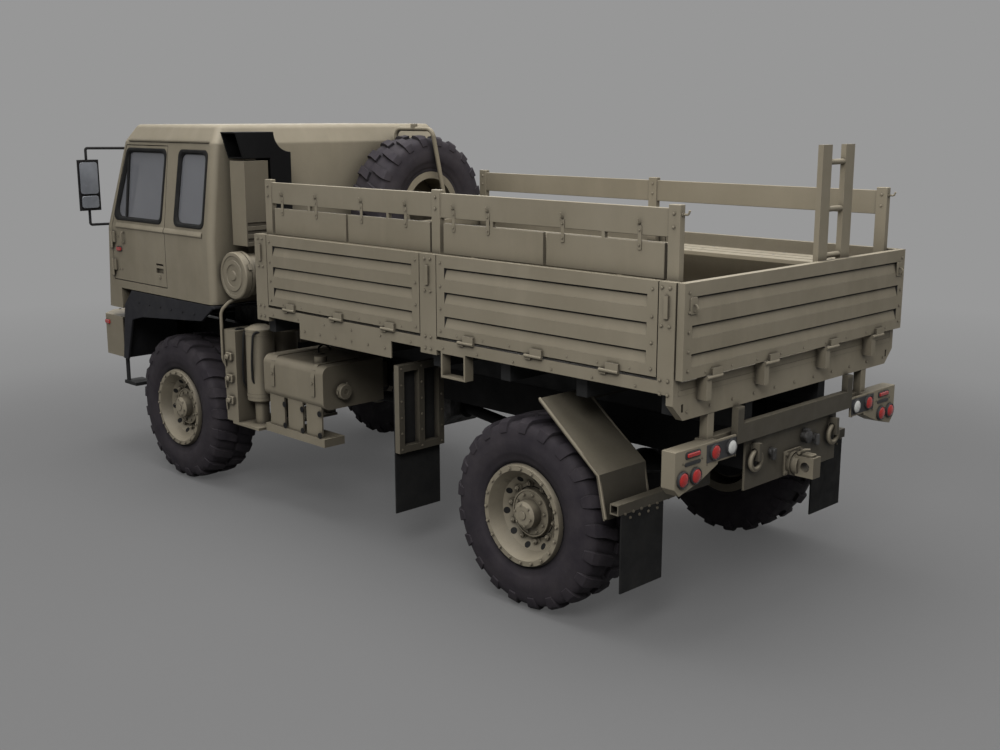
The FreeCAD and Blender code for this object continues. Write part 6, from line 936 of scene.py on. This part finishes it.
def tank_fittings():
    """Straps with their bolts, filler cap, level sender, hose, the step's tread, and a dark disc of painted shade
    in each hole of the step.
    """
    tank = AT["fuel_tank"]
    shape, hole_shade, tread, hose = Shape(), Shape(), Shape(), Shape()
    for share in (0.16, 0.84):
        x = tank.along("x", share)
        line = ((tank.y0 + 0.15, TANK_CROWN_Z + 0.002), (tank.y1 - 0.04, TANK_CROWN_Z + 0.002),
                (tank.y1 - 0.008, TANK_CROWN_Z - 0.035), (tank.y1 + 0.0035, TANK_CROWN_Z - 0.09),
                (tank.y1 + 0.0035, TANK_FOOT_Z + 0.09))
        path = [Vector((x, y, z)) for y, z in line]
        width = AHEAD * 0.022
        for here, there in zip(path, path[1:]):
            out = (there - here).normalized().cross(-AHEAD)
            shape.prism([here - width, here + width, there + width, there - width], out * 0.004)
        shape.bolt((x, tank.y1 + 0.0075, TANK_CROWN_Z - 0.13), LEFTWARD, 0.009)
    filler = Vector((tank.x0, tank.along("y", 0.76), TANK_FOOT_Z + 0.125))
    shape.lathe(FILLER_CAP, filler, -AHEAD, 28)
    for arm in spokes(3, 1, LEFTWARD, UP):
        shape.pad(filler - AHEAD * 0.036 + arm * 0.055, arm, (0.014, 0.026), 0.012, 0.004)
    sender = Vector((tank.along("x", 0.62), tank.along("y", 0.55), TANK_CROWN_Z))
    shape.disc(sender, UP, 0.040, 0.008, 24)
    shape.bolts([sender + UP * 0.008 + arm for arm in spokes(5, 0.030, AHEAD, LEFTWARD)], UP, 0.0045)
    shape.done("tank_fittings")
    # A dark disc of painted shade in each hole of the step.
    for at in grid([tank.along("x", share) for share in STEP_GAP_SHARES], [tank.y1 - 0.001],
                   (TANK_FOOT_Z - 0.030, TANK_FOOT_Z - 0.190)):
        hole_shade.disc(at, LEFTWARD, 0.022, 0.003, 18)
    hole_shade.done("step_hole_shade", slot="black_metal")
    level = tank.z0 + 0.0605
    for x in evenly(26, tank.x0 + 0.03, tank.x1 - 0.03):
        tread.tube([(x - 0.008, tank.y1 - 0.125, level), (x + 0.008, tank.y1 - 0.02, level)], 0.003, 4,
                   smooth=False)
    tread.done("tank_step_tread")
    bend = ((0, 0, 0.006), (0, 0, 0.05), (0.06, -0.10, 0.055), (0.09, -0.20, -0.02))
    hose.tube([sender + Vector(step) for step in bend], 0.007, 8)
    hose.done("tank_hose", slot="flap_rubber")


def guard_fittings():
    """Bolts round the front flap frames and on the rear flap bars, and beads along the mudguards."""
    guards = AT["mudguards"]
    shape, bead = Shape(), Shape()
    columns = (GUARD_INNER_Y + 0.023, (GUARD_INNER_Y + GUARD_OUTER_Y) / 2, GUARD_OUTER_Y - 0.023)
    rows = evenly(6, GUARD_FOOT_Z + 0.025, GUARD_TOP_Z - 0.025)
    shape.bolts(grid([guards.x1 - GUARD_DEPTH], columns, rows), -AHEAD, SMALL_BOLT)
    columns = evenly(5, MUD_INNER_Y + 0.06, MUD_OUTER_Y - 0.06)
    shape.bolts(grid([guards.x0], columns, [MUD_BAR_Z]), -AHEAD, PLAIN_BOLT)
    shape.mirror()
    shape.done("flap_bolts")
    line = ((MUD_TOP_X, guards.z1), (MUD_KNEE_X, MUD_KNEE_Z), (MUD_LOW_X, guards.z0 + 0.01))
    for y in (MUD_OUTER_Y - 0.004, MUD_INNER_Y + 0.010):
        bead.tube([(x - 0.004, y, z + 0.002) for x, z in line], 0.009, 8, smooth=False)
    bead.mirror()
    bead.done("mudguard_beads")


def flap_clamps():
    """The bolts that clamp the rear flaps under their bars."""
    shape = Shape()
    shape.bolts(grid([AT["mud_flaps"].x0 - 0.0005], evenly(4, 0.86, 1.10), [MUD_FLAP_BOLT_Z]), -AHEAD, 0.007)
    shape.mirror()
    shape.done("flap_clamps")


# Bed

BED_SIDE_Y, FLOOR_Z, GATE_FACE_X = 1.169, 1.550, -3.108
GROOVE_DEPTH, GROOVE_HEIGHT, GROOVE_INSET = 0.014, 0.070, 0.070
GROOVE_TOPS = (2.006, 1.856, 1.706)
# Height and inset of the black strips of painted shadow in each groove.
SHADOW_STRIP_TALL, SHADOW_STRIP_INSET = 0.012, 0.0035
POST_FOOT_Z, MIDDLE_POST_X = 1.452, -1.142
APRON_FRONT_X, APRON_REAR_X, APRON_BOLT_Z = 0.230, -0.773, 1.430
SEAM_HALF, SEAM_LOW_Z, SEAM_HIGH_Z = 1.125, 1.479, 1.506
RACK_POST_Y, RACK_POST_HALF = 1.075, 0.022
SEAT_HANGERS_X = (-2.75, -2.20, -1.60, -1.30, -0.85, -0.40, 0.10, 0.50)


def grooves(shape, rear, front, inward):
    """Adds the sloping floor of each pressed groove, and returns black strips of painted shadow along its top and
    ends.
    """
    shade_marks = Shape()
    along = (front - rear).normalized()
    near, far = rear + along * (GROOVE_INSET - 0.001), front - along * (GROOVE_INSET - 0.001)
    deep, flush = inward * (GROOVE_DEPTH + 0.001), inward * 0.0012
    dark_near, dark_far = rear + along * (GROOVE_INSET + 0.001), front - along * (GROOVE_INSET + 0.001)
    outer, back = inward * SHADOW_STRIP_INSET, inward * (GROOVE_DEPTH + 0.0005)
    for top in GROOVE_TOPS:
        level, low = UP * top, UP * (top - GROOVE_HEIGHT - 0.001)
        shape.prism([near + deep + level - UP * 0.004, near + deep + low, near + flush + low], far - near)
        start, end = dark_near + level, dark_far + level
        shade_marks.prism([start + outer, start + back, start + back - UP * SHADOW_STRIP_TALL], end - start)
        for spot, way in ((start, along), (end, -along)):
            end_strip = [spot + outer, spot + back, spot + back + way * SHADOW_STRIP_TALL]
            shade_marks.prism(end_strip, -UP * (GROOVE_HEIGHT - SHADOW_STRIP_TALL))
    return shade_marks


def panel_fittings(node, side):
    """Corner bolts, rivets and groove slopes outside, and rivets inside, on one drop side."""
    panel = AT[node]
    out = LEFTWARD * side
    face = BED_SIDE_Y * side
    shape, inner = Shape(), Shape()
    rows = (panel.z0 + 0.06, panel.z0 + 0.20, panel.z1 - 0.19, panel.z1 - 0.045)
    shape.bolts(grid((panel.x0 + 0.035, panel.x1 - 0.035), [face], rows), out, PLAIN_BOLT)
    for x in evenly(7, panel.x0 + 0.18, panel.x1 - 0.18):
        shape.rivet((x, face, panel.z0 + 0.045), out)
    shade_marks = grooves(shape, Vector((panel.x0, face, 0)), Vector((panel.x1, face, 0)), -out)
    shape.done("fittings_" + node, node)
    # Black strips of painted shadow along each groove's top and ends.
    shade_marks.done("groove_shade_marks_" + node, node, "black_metal")
    rows = evenly(3, panel.z0 + 0.13, panel.z0 + 0.43)
    for at in grid((panel.x0 + 0.10, panel.x1 - 0.10), [face - side * 0.045], rows):
        inner.rivet(at, -out, 0.009, (0.004, 0.007), 0.005, 12)
    inner.done("inner_rivets_" + node, node)


def bed_fittings():
    """Bolts of posts and aprons, floor seams, lashing rings, and the rear sill's bolts and seam cover."""
    floor, posts, sill = AT["bed_floor"], AT["bed_posts"], AT["rear_sill"]
    shape, seams, rings, rivets = Shape(), Shape(), Shape(), Shape()
    middles = (floor.x1 - 0.072, MIDDLE_POST_X, floor.x0 + 0.061)
    columns = [x + dx for x in middles for dx in (-0.026, 0.026)]
    rows = (POST_FOOT_Z + 0.035, POST_FOOT_Z + 0.110, posts.z1 - 0.03, posts.z1 - 0.23)
    for xs, zs, size in ((columns, rows, LARGE_BOLT),
                         (evenly(12, floor.x0 + 0.25, floor.x1 - 0.2), [FLOOR_Z - 0.045], 0.006),
                         (evenly(6, APRON_REAR_X + 0.06, APRON_FRONT_X - 0.06), [APRON_BOLT_Z], SMALL_BOLT)):
        shape.bolts(grid(xs, [BED_SIDE_Y], zs), LEFTWARD, size)
    shape.mirror()
    shape.done("bed_bolts")
    level = FLOOR_Z - 0.0022
    for y in evenly(15, -1.0, 1.0):
        seams.tube([(floor.x0 + 0.01, y, level), (floor.x1 - 0.055, y, level)], 0.0032, 5, smooth=False)
    seams.done("floor_seams", slot="black_metal")
    for x in evenly(5, floor.x0 + 0.30, floor.x1 - 0.30):
        spot = Vector((x, 0.985, FLOOR_Z))
        rings.pad(spot, UP, (0.110, 0.070), 0.004, 0.012)
        rings.ring(spot + UP * 0.010, Vector((0, 0.18, 1)), 0.028, 0.0055, 24, 6)
        rings.pad(spot + UP * 0.003, UP, (0.018, 0.030), 0.016, 0.003)
        rings.bolts([spot + AHEAD * dx + UP * 0.004 for dx in (-0.042, 0.042)], UP, 0.0055)
    rings.mirror()
    rings.done("lashing_rings", slot="cast_metal", material=STEEL)
    rivets.bolts(grid([sill.x1 - 0.0457], evenly(11, -1.05, 1.05), [sill.z0 + 0.045]), -AHEAD, SMALL_BOLT)
    back, front = sill.x1 - 0.0475, sill.x1 - 0.0400
    corners = ((back, SEAM_LOW_Z), (front, SEAM_LOW_Z), (front, SEAM_HIGH_Z), (back, SEAM_HIGH_Z))
    rivets.prism([(x, -SEAM_HALF, z) for x, z in corners], LEFTWARD * 2 * SEAM_HALF)
    rivets.done("sill_bolts")


def tailgate_fittings():
    """Bolts, rivets and groove slopes on the tailgate, and eyes with rings at its upper corners."""
    gate = AT["tailgate"]
    shape = Shape()
    rows = evenly(5, gate.z0 + 0.07, gate.z1 - 0.05)
    shape.bolts(grid([GATE_FACE_X], (gate.y0 + 0.04, gate.y1 - 0.04), rows), -AHEAD, PLAIN_BOLT)
    for y in evenly(9, gate.y0 + 0.2, gate.y1 - 0.2):
        shape.rivet((GATE_FACE_X, y, gate.z0 + 0.045), -AHEAD)
    shade_marks = grooves(shape, Vector((GATE_FACE_X, gate.y0, 0)), Vector((GATE_FACE_X, gate.y1, 0)), AHEAD)
    # Black strips of painted shadow along each groove's top and ends.
    shade_marks.done("groove_shade_marks_tailgate", "tailgate", "black_metal")
    for side in (LEFT, RIGHT):
        eye = Vector((GATE_FACE_X - 0.010, side * (gate.y1 - 0.075), gate.z1 - 0.12))
        shape.pad(eye + AHEAD * 0.010, -AHEAD, (0.060, 0.090), 0.006, 0.010)
        shape.ring(eye - UP * 0.012 - AHEAD * 0.002, LEFTWARD, 0.018, 0.0045, 20, 6)
    shape.done("tailgate_fittings", "tailgate")


def rack_fittings():
    """Bolts through the rack posts, the seat boards' hangers, safety hooks and the bench's bolts."""
    racks, bench = AT["side_racks"], AT["bench_right"]
    shape, bolts = Shape(), Shape()
    posts = (racks.x0 + 0.038, MIDDLE_POST_X, racks.x1 - 0.038)
    for side in (LEFT, RIGHT):
        out = LEFTWARD * side
        for x, y, z in grid(posts, [RACK_POST_Y], (racks.z1 - 0.045, racks.z1 - 0.115, FLOOR_Z + 0.09)):
            shape.bolt((x, side * (y + RACK_POST_HALF), z), out, LARGE_BOLT)
            shape.rivet((x, side * (y - RACK_POST_HALF), z), -out, 0.010, (0.004, 0.008), 0.006, 12)
        hook = Vector((racks.x0, side * RACK_POST_Y, racks.z1 - 0.05))
        shape.tube([hook, hook - AHEAD * 0.035, hook - AHEAD * 0.045 + UP * 0.022], 0.006, 8)
        shape.disc(hook, -AHEAD, 0.012, 0.006, 14)
    for x in SEAT_HANGERS_X:
        strap = Vector((x, RACK_POST_Y + 0.014, racks.z1 - 0.02))
        shape.pad(strap - UP * 0.165, LEFTWARD, (0.024, 0.130), 0.005, 0.006)
        shape.bolts([strap + LEFTWARD * 0.005 - UP * drop for drop in (0.125, 0.205)], LEFTWARD, 0.006)
        bend = ((0.002, 0.09), (0.018, 0.09), (0.022, 0.062))
        shape.tube([strap + LEFTWARD * lift - UP * drop for lift, drop in bend], 0.0045, 6)
    shape.done("rack_fittings")
    lines = [bench.along("y", share) for share in (0.12, 0.5, 0.88)]
    for at in grid(evenly(7, bench.x0 + 0.12, bench.x1 - 0.12), lines, [bench.z1]):
        bolts.rivet(at, UP, 0.009, (0.003, 0.007), 0.004, 12)
    bolts.done("bench_bolts", slot="cast_metal", material=STEEL)


# Right side

BATTERY_LIP = 0.012
MUFFLER_X, MUFFLER_Y, MUFFLER_BANDS = 1.000, -1.000, (0.900, 1.120, 1.390)
MUFFLER_SEAM_LOW_Z, MUFFLER_SEAM_HEIGHT = 0.86, 0.56


def right_units():
    """The battery box's latches, handle and louvres, and the muffler's bands and seam."""
    box, stack = AT["battery_box"], AT["exhaust"]
    face = box.y0 + BATTERY_LIP
    out = -LEFTWARD
    shape, bands = Shape(), Shape()
    bail = ((-0.010, -0.007, -0.030), (-0.010, -0.009, -0.075), (0.010, -0.009, -0.075), (0.010, -0.007, -0.030))
    for share in (0.24, 0.76):
        top = Vector((box.along("x", share), box.y0, box.z1))
        shape.pad(top - UP * 0.030, out, (0.036, 0.046), 0.006, 0.006)
        shape.pad(top + LEFTWARD * BATTERY_LIP - UP * 0.105, out, (0.032, 0.070), 0.016, 0.006)
        shape.tube([top + Vector(step) for step in bail], 0.0035, 6)
        shape.bolts([top + Vector((dx, -0.006, -0.018)) for dx in (-0.011, 0.011)], out, 0.0035)
    middle = box.along("x", 0.5)
    grip = Vector((middle - 0.070, face, box.z0 + 0.215))
    shape.tube([grip, grip + out * 0.030, grip + out * 0.030 + AHEAD * 0.14, grip + AHEAD * 0.14], 0.007, 8)
    for level in evenly(4, box.z0 + 0.060, box.z0 + 0.135):
        slat = Vector((middle - 0.11, face, level))
        shape.prism([slat, slat + out * 0.007 - UP * 0.003, slat - UP * 0.014], AHEAD * 0.22)
    rows = evenly(3, box.z0 + 0.03, box.z1 - 0.11)
    shape.bolts(grid((box.x0 + 0.028, box.x1 - 0.028), [face], rows), out, 0.006)
    shape.done("battery_box_fittings")
    centre = Vector((MUFFLER_X, MUFFLER_Y, 0))
    for level in MUFFLER_BANDS:
        bands.band(centre + UP * level, UP, -0.015, 0.015, 0.1495, 0.1530)
        lug = centre + Vector((-0.06, -0.143, level))
        bands.pad(lug, (-0.38, -0.92, 0), (0.040, 0.026), 0.016, 0.004)
        bands.bolt(lug + Vector((-0.006, -0.015, 0)), (-0.38, -0.92, 0), 0.006)
    seam = ((-0.100, -0.112), (-0.112, -0.100), (-0.109, -0.109))
    bands.prism([centre + Vector((x, y, MUFFLER_SEAM_LOW_Z)) for x, y in seam], UP * MUFFLER_SEAM_HEIGHT)
    bands.lathe([(-0.014, 0.060), (-0.012, 0.066), (0.0, 0.066), (0.0, 0.050), (-0.02, 0.050)],
                centre + UP * (stack.z1 - 0.0005), UP, 32)
    bands.done("muffler_bands", slot="cast_metal")


# Rear

LAMP_RADIUS = 0.044
LAMP_PLATE_INNER_Y, LAMP_PLATE_OUTER_Y = 0.620, 0.905
PINTLE_Z, TOW_PLATE_HALF = 0.895, 0.490


def rear_lights():
    """Ribbed lenses in their bezels, the dark plates round the inner pairs and the slits in the boxes."""
    lamps, boxes = AT["rear_lamps"], AT["lamp_brackets"]
    face, radius = lamps.x1, LAMP_RADIUS
    low, high = lamps.z0 + radius, lamps.z0 + 0.1424
    outer = lamps.y1 - radius
    reds = ((outer, low), (outer - 0.1131, low), (outer - 0.2847, high))
    red, white, dark, screws = Shape(), Shape(), Shape(), Shape()
    bezel = [(0, radius + 0.003), (0.012, radius + 0.003), (0.016, radius - 0.001), (0.013, radius - 0.005),
             (0.004, radius - 0.006)]
    dome = [(0.003, radius - 0.005), (0.014, radius - 0.006), (0.020, radius - 0.014), (0.023, radius - 0.028),
            (0.024, 0)]
    for shape, spots in ((red, reds), (white, ((outer - 0.4365, high),))):
        for y, z in spots:
            dark.lathe(bezel, (face, y, z), -AHEAD, 32)
            shape.lathe(dome, (face, y, z), -AHEAD, 32)
    bar = Vector((face, outer - 0.0895, high + 0.026))
    red.pad(bar, -AHEAD, (0.110, 0.024), 0.013, 0.008, 0.004)
    dark.pad(bar, -AHEAD, (0.128, 0.036), 0.006, 0.008)
    dark.pad(bar - UP * 0.048, -AHEAD, (0.140, 0.020), 0.004, 0.009)
    plate = Vector((face, (LAMP_PLATE_INNER_Y + LAMP_PLATE_OUTER_Y) / 2, boxes.z1 - 0.2125))
    dark.pad(plate, -AHEAD, (LAMP_PLATE_OUTER_Y - LAMP_PLATE_INNER_Y - 0.012, 0.100), 0.003, 0.004)
    screws.bolts([bar + LEFTWARD * dy - UP * 0.038 for dy in (-0.085, 0.085)], -AHEAD, 0.0045)
    columns = (LAMP_PLATE_INNER_Y + 0.012, LAMP_PLATE_OUTER_Y - 0.012)
    screws.bolts(grid([face], columns, [plate.z - 0.058]), -AHEAD, 0.0045)
    for shape in (red, white, dark, screws):
        shape.mirror()
    dark.done("lamp_bezels", slot="dark_plastic")
    white.done("reverse_lamps", slot="lamp_glass")
    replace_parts(red.done("tail_lenses", slot="lamp_red"), "rear_lamps")
    screws.done("lamp_screws")


def towing_fittings():
    """The pintle's flange, latch and lock, air couplings, the trailer socket and the tow plate's bolts."""
    hooks, tow_frame = AT["towing_hooks"], AT["tow_frame"]
    face = tow_frame.x0 + 0.0557
    centre = Vector((face, 0, PINTLE_Z))
    shape, dark = Shape(), Shape()
    shape.pad(centre + UP * 0.012, -AHEAD, (0.190, 0.150), 0.012, 0.012)
    corners = grid([-0.012], (-0.077, 0.077), (-0.044, 0.068))
    shape.bolts([centre + Vector(step) for step in corners], -AHEAD, 0.011)
    row = evenly(9, -TOW_PLATE_HALF + 0.03, TOW_PLATE_HALF - 0.03)
    shape.bolts(grid([face], row, [tow_frame.z1 - 0.135]), -AHEAD, LARGE_BOLT)
    crown = Vector((hooks.x0 + 0.040, 0, PINTLE_Z + 0.062))
    shape.pad(crown + AHEAD * 0.030, UP, (0.105, 0.056), 0.016, 0.010, 0.004)
    shape.band(crown + AHEAD * 0.055 + UP * 0.020, LEFTWARD, -0.046, 0.046, 0, 0.010, 14)
    latch = ((0.055, 0.040, 0.020), (0.030, 0.040, 0.045), (0.0, 0.015, 0.045))
    shape.tube([crown + Vector(step) for step in latch], 0.0055, 8)
    shape.band(centre - AHEAD * 0.012, -AHEAD, 0, 0.018, 0.066, 0.074, 32)
    shape.done("pintle_fittings")
    for y in (0.235, -0.235):
        spot = Vector((face, y, PINTLE_Z + 0.115))
        dark.disc(spot, -AHEAD, 0.024, 0.020, 20)
        dark.pad(spot - AHEAD * 0.018 - UP * 0.012, -AHEAD, (0.036, 0.070), 0.018, 0.012, 0.004)
    socket = Vector((face, -0.120, PINTLE_Z + 0.140))
    dark.lathe([(0, 0.036), (0.030, 0.034), (0.030, 0.040), (0.042, 0.038), (0.046, 0.030), (0.046, 0)],
               socket, -AHEAD, 24)
    dark.pad(socket + UP * 0.040, -AHEAD, (0.030, 0.020), 0.040, 0.005)
    dark.done("trailer_couplings", slot="cast_metal")


# Axles and drive

FRONT_AXLE_X, REAR_AXLE_X, AXLE_Z, SPRING_Y = 1.910, -1.990, 0.590, 0.380
CLIP_HALF, CLIP_LOW, CLIP_TOP, CLIP_BAR = 0.046, -0.095, 0.185, 0.009


def axle_fittings():
    """Cover bolts and drain plugs on both differentials, spring clips, dampers and brake hoses."""
    steel, black, hose = Shape(), Shape(), Shape()
    for way, centre_x in ((-1, FRONT_AXLE_X), (1, REAR_AXLE_X)):
        middle = Vector((centre_x, 0, AXLE_Z))
        inward = AHEAD * -way
        cover = middle + inward * 0.175
        black.bolts([cover + arm for arm in spokes(12, 0.118, LEFTWARD, UP)], inward, LARGE_BOLT)
        black.disc(middle + inward * 0.183 - UP * 0.065, inward, 0.016, 0.012, 12)
        for side in (LEFT, RIGHT):
            for dx in (-0.075, 0.075):
                clip = middle + Vector((dx, side * SPRING_Y, 0))
                left, right = clip + LEFTWARD * CLIP_HALF, clip - LEFTWARD * CLIP_HALF
                for leg in (right, left):
                    black.tube([leg + UP * CLIP_LOW, leg + UP * CLIP_TOP], CLIP_BAR, 8, smooth=False)
                black.tube([right + UP * CLIP_TOP, left + UP * CLIP_TOP], CLIP_BAR, 8, smooth=False)
            foot = middle + Vector((way * 0.16, side * (SPRING_Y + 0.085), 0.02))
            head = Vector((centre_x + way * 0.30, side * (SPRING_Y + 0.075), 1.02))
            black.tube([foot, foot.lerp(head, 0.52)], 0.032, 16, smooth=False)
            steel.tube([foot.lerp(head, 0.50), head], 0.013, 12, smooth=False)
            black.tube([foot.lerp(head, 0.50), foot.lerp(head, 0.94)], 0.038, 16, smooth=False)
            for end in (foot, head):
                black.band(end, LEFTWARD, -0.030, 0.030, 0, 0.026, 16)
            chamber = middle + Vector((way * 0.13, side * 0.56, 0.08))
            hose.tube([chamber, chamber + Vector((way * 0.09, 0, 0.12)),
                       chamber + Vector((way * 0.05, -side * 0.08, 0.30)),
                       (centre_x + way * 0.08, side * 0.452, 1.00)], 0.009, 8)
    steel.done("damper_rods", slot="cast_metal", material=STEEL)
    black.done("axle_fittings", slot="black_metal")
    hose.done("brake_hoses", slot="flap_rubber")


# Front

def headlights():
    """Bezels and fluted lenses in the bumper, turn lamps, and the bumper's bolts and side lamps."""
    lamps, bumper = AT["headlamps"], AT["front_bumper"]
    radius = (lamps.z1 - lamps.z0) / 2
    centre_y, centre_z = lamps.y1 - radius, (lamps.z0 + lamps.z1) / 2
    spot = Vector((lamps.x1 - 0.030, centre_y, centre_z))
    bezel, glass, amber, paint, red = Shape(), Shape(), Shape(), Shape(), Shape()
    rim = ((0.018, 0.018), (0.027, 0.016), (0.030, 0.004), (0.022, -0.006), (0.006, -0.008), (0.002, -0.010))
    dome = ((0.004, -0.006), (0.018, -0.008), (0.024, -0.026), (0.0285, -0.050), (0.0295, -radius))
    for shape, outline in ((bezel, rim), (glass, dome)):
        shape.lathe([(along, radius + more) for along, more in outline], spot, AHEAD, 48)
    screws = spokes(3, radius + 0.009, LEFTWARD, UP, 0.75)
    bezel.bolts([spot + AHEAD * 0.026 + arm for arm in screws], AHEAD, 0.004)
    corner = Vector((1, 1, 0)).normalized()
    side_lamp = Vector((bumper.x1 - 0.075, bumper.y1 - 0.075, centre_z))
    amber.lathe([(0, 0.040), (0.010, 0.040), (0.022, 0.034), (0.029, 0.018), (0.030, 0)], side_lamp, corner, 28)
    paint.lathe([(0, 0.047), (0.006, 0.047), (0.008, 0.041), (0.008, 0.038)], side_lamp, corner, 28)
    amber.pad((bumper.x1, centre_y - 0.155, centre_z), AHEAD, (0.085, 0.060), 0.002, 0.010)
    paint.bolts(grid([bumper.x1 - 0.030], evenly(5, 0.20, bumper.y1 - 0.20), [bumper.z1]), UP, LARGE_BOLT)
    red.pad((bumper.x1 - 0.190, bumper.y1, centre_z + 0.015), LEFTWARD, (0.075, 0.034), 0.012, 0.008, 0.004)
    for shape in (bezel, glass, amber, paint, red):
        shape.mirror()
    bezel.done("headlamp_bezels", slot="dark_plastic")
    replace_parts(glass.done("headlamp_glass", slot="lamp_glass"), "headlamps")
    red.done("bumper_side_lamps", slot="lamp_red")
    amber.done("bumper_amber_lamps", slot="lamp_glass", material=AMBER)
    paint.done("bumper_bolts")


# Stage, camera and light

CAMERA_AT = Vector((-6.81, 6.161, 2.914))
CAMERA_TURN = (225.215, 11.984, -0.056)
LENS = 43.93
FLOOR_GREY = srgb(104, 104, 104)
BACKDROP_GREYS = (srgb(136, 136, 136), srgb(151, 151, 151))
GLOW_FROM_TO, GLOW_NEAR = (4.2, 7.4), 0.25
FLOOR_RADIUS, BEND_RADIUS, WALL_TOP, STAGE_STEPS = 20.0, 12.0, 14.0, 96


def camera():
    """The view of the photograph, from behind the truck's left rear corner."""
    data = bpy.data.cameras.new("camera")
    data.lens = LENS
    data.sensor_width = 36.0
    data.clip_end = 200.0
    around, up, roll = (math.radians(v) for v in CAMERA_TURN)
    back = Vector((math.sin(around) * math.cos(up), -math.cos(around) * math.cos(up), math.sin(up)))
    turn = back.to_track_quat("Z", "Y") @ Matrix.Rotation(roll, 3, "Z").to_quaternion()
    obj = placed("camera", data)
    obj.rotation_euler = turn.to_euler()
    obj.location = CAMERA_AT
    bpy.context.scene.camera = obj


def stage_look():
    """An even grey floor that turns, away from the truck, into a backdrop of its own brightness."""
    look = Look("stage_grey", Roughness=0.9, Specular_IOR_Level=0.1)
    look.done(look.mixed(look.cloud(0.35, 2, 0.3, 0.7), FLOOR_GREY, scaled(FLOOR_GREY, 0.97)))
    away = look.add("ShaderNodeVectorMath", {0: look.place}, operation="LENGTH").outputs["Value"]
    far = look.between(away, *GLOW_FROM_TO, GLOW_NEAR, 1.0, interpolation_type="SMOOTHSTEP")
    rays = look.add("ShaderNodeLightPath").outputs
    seen = rays["Is Camera Ray"]
    for ray in ("Is Glossy Ray", "Is Transmission Ray"):
        seen = look.add("ShaderNodeMath", {0: seen, 1: rays[ray]}, operation="MAXIMUM").outputs["Value"]
    colour = look.mixed(look.between(away, 5.0, 12.0), *BACKDROP_GREYS)
    glow = look.add("ShaderNodeEmission", {"Color": colour}).outputs["Emission"]
    blend = look.add("ShaderNodeMixShader", {0: look.times(far, seen), 1: look.shader.outputs["BSDF"], 2: glow})
    look.feed(look.tree.nodes["Material Output"], {"Surface": blend.outputs["Shader"]})
    return look.material


def stage():
    """A floor that curves up into a wall all round."""
    bm = bmesh.new()
    profile = [(FLOOR_RADIUS * 0.7, 0.0), (FLOOR_RADIUS, 0.0)]
    profile += [(FLOOR_RADIUS + BEND_RADIUS * math.sin(a), BEND_RADIUS - BEND_RADIUS * math.cos(a))
                for a in (math.radians(10 * k) for k in range(1, 10))]
    profile.append((FLOOR_RADIUS + BEND_RADIUS, WALL_TOP))
    hub = bm.verts.new((0, 0, 0))
    rings = [[bm.verts.new(arm + UP * level) for arm in spokes(STAGE_STEPS, radius, AHEAD, LEFTWARD)]
             for radius, level in profile]
    for k in range(STAGE_STEPS):
        n = (k + 1) % STAGE_STEPS
        bm.faces.new((hub, rings[0][k], rings[0][n]))
        for here, there in zip(rings, rings[1:]):
            bm.faces.new((here[k], there[k], there[n], here[n]))
    floor = shown("stage_floor", bm, stage_look())
    floor.data.shade_smooth()


def lamp(name, at, aim, size, power):
    """A round soft light aimed at a place."""
    data = bpy.data.lights.new(name, "AREA")
    data.shape = "DISK"
    data.size = size
    data.energy = power
    obj = placed(name, data)
    obj.location = at
    obj.rotation_euler = (Vector(at) - Vector(aim)).to_track_quat("Z", "Y").to_euler()


def lights():
    """Soft daylight all round, with three large lamps."""
    world = bpy.data.worlds.new("studio")
    bpy.context.scene.world = world
    world.use_nodes = True
    sky = world.node_tree.nodes["Background"]
    sky.inputs["Color"].default_value = (1.0, 1.0, 1.0, 1.0)
    sky.inputs["Strength"].default_value = 0.86
    lamp("overhead", (-0.5, 0.5, 11.0), (0.0, 0.0, 1.0), 8.0, 850)
    lamp("side_fill", (-7.0, 8.1, 8.8), (-0.5, 0.0, 1.0), 5.0, 650)
    lamp("front_fill", (10.0, -7.0, 5.0), (0.0, 0.0, 1.2), 7.0, 220)
    bpy.context.scene.view_settings.view_transform = "Standard"


# The whole truck

PLAIN_NODES = ("cab_glass", "door_glass_left", "door_glass_right", "seats", "engine_block", "gearboxes",
               "propeller_shafts", "leaf_springs", "front_axle", "rear_axle", "knuckle_left", "knuckle_right",
               "headlamps", "rear_lamps", "chassis_frame", "rim_front_left", "rim_front_right", "rim_rear_left",
               "rim_rear_right", "rim_spare", "dashboard", "air_tanks", "exhaust", "towing_hooks", "mirrors",
               "tyre_front_left", "tyre_front_right", "tyre_rear_left", "tyre_rear_right", "tyre_spare", "ladder")
EDGE_WIDTHS = {"cab_roof": 0.006, "cab_shell": 0.006, "front_bumper": 0.008, "front_fenders": 0.006,
               "fuel_tank": 0.006, "air_duct": 0.008, "air_cleaner": 0.006}


def dress_nodes():
    """Gives every CAD node its material, and softened copies to those with edges that show."""
    for node, obj in frame["nodes"].items():
        obj.data.materials.clear()
        obj.data.materials.append(NODE_LOOKS.get(node, MATERIALS[SLOT_OF[node]]))
        if node not in PLAIN_NODES:
            softened(node, EDGE_WIDTHS.get(node, 0.004), 3 if node in EDGE_WIDTHS else 2)


dress_nodes()
wheels()
window_seals()
for tag, side in (("left", LEFT), ("right", RIGHT)):
    door_fittings(tag, side)
roof_fittings()
wipers()
cab_front()
mirror_glass()
air_intake()
side_units()
tank_fittings()
guard_fittings()
for name, side in (("side_front_left", LEFT), ("side_rear_left", LEFT), ("side_front_right", RIGHT),
                   ("side_rear_right", RIGHT)):
    panel_fittings(name, side)
bed_fittings()
tailgate_fittings()
rack_fittings()
right_units()
rear_lights()
towing_fittings()
flap_clamps()
axle_fittings()
headlights()
camera()
stage()
lights()
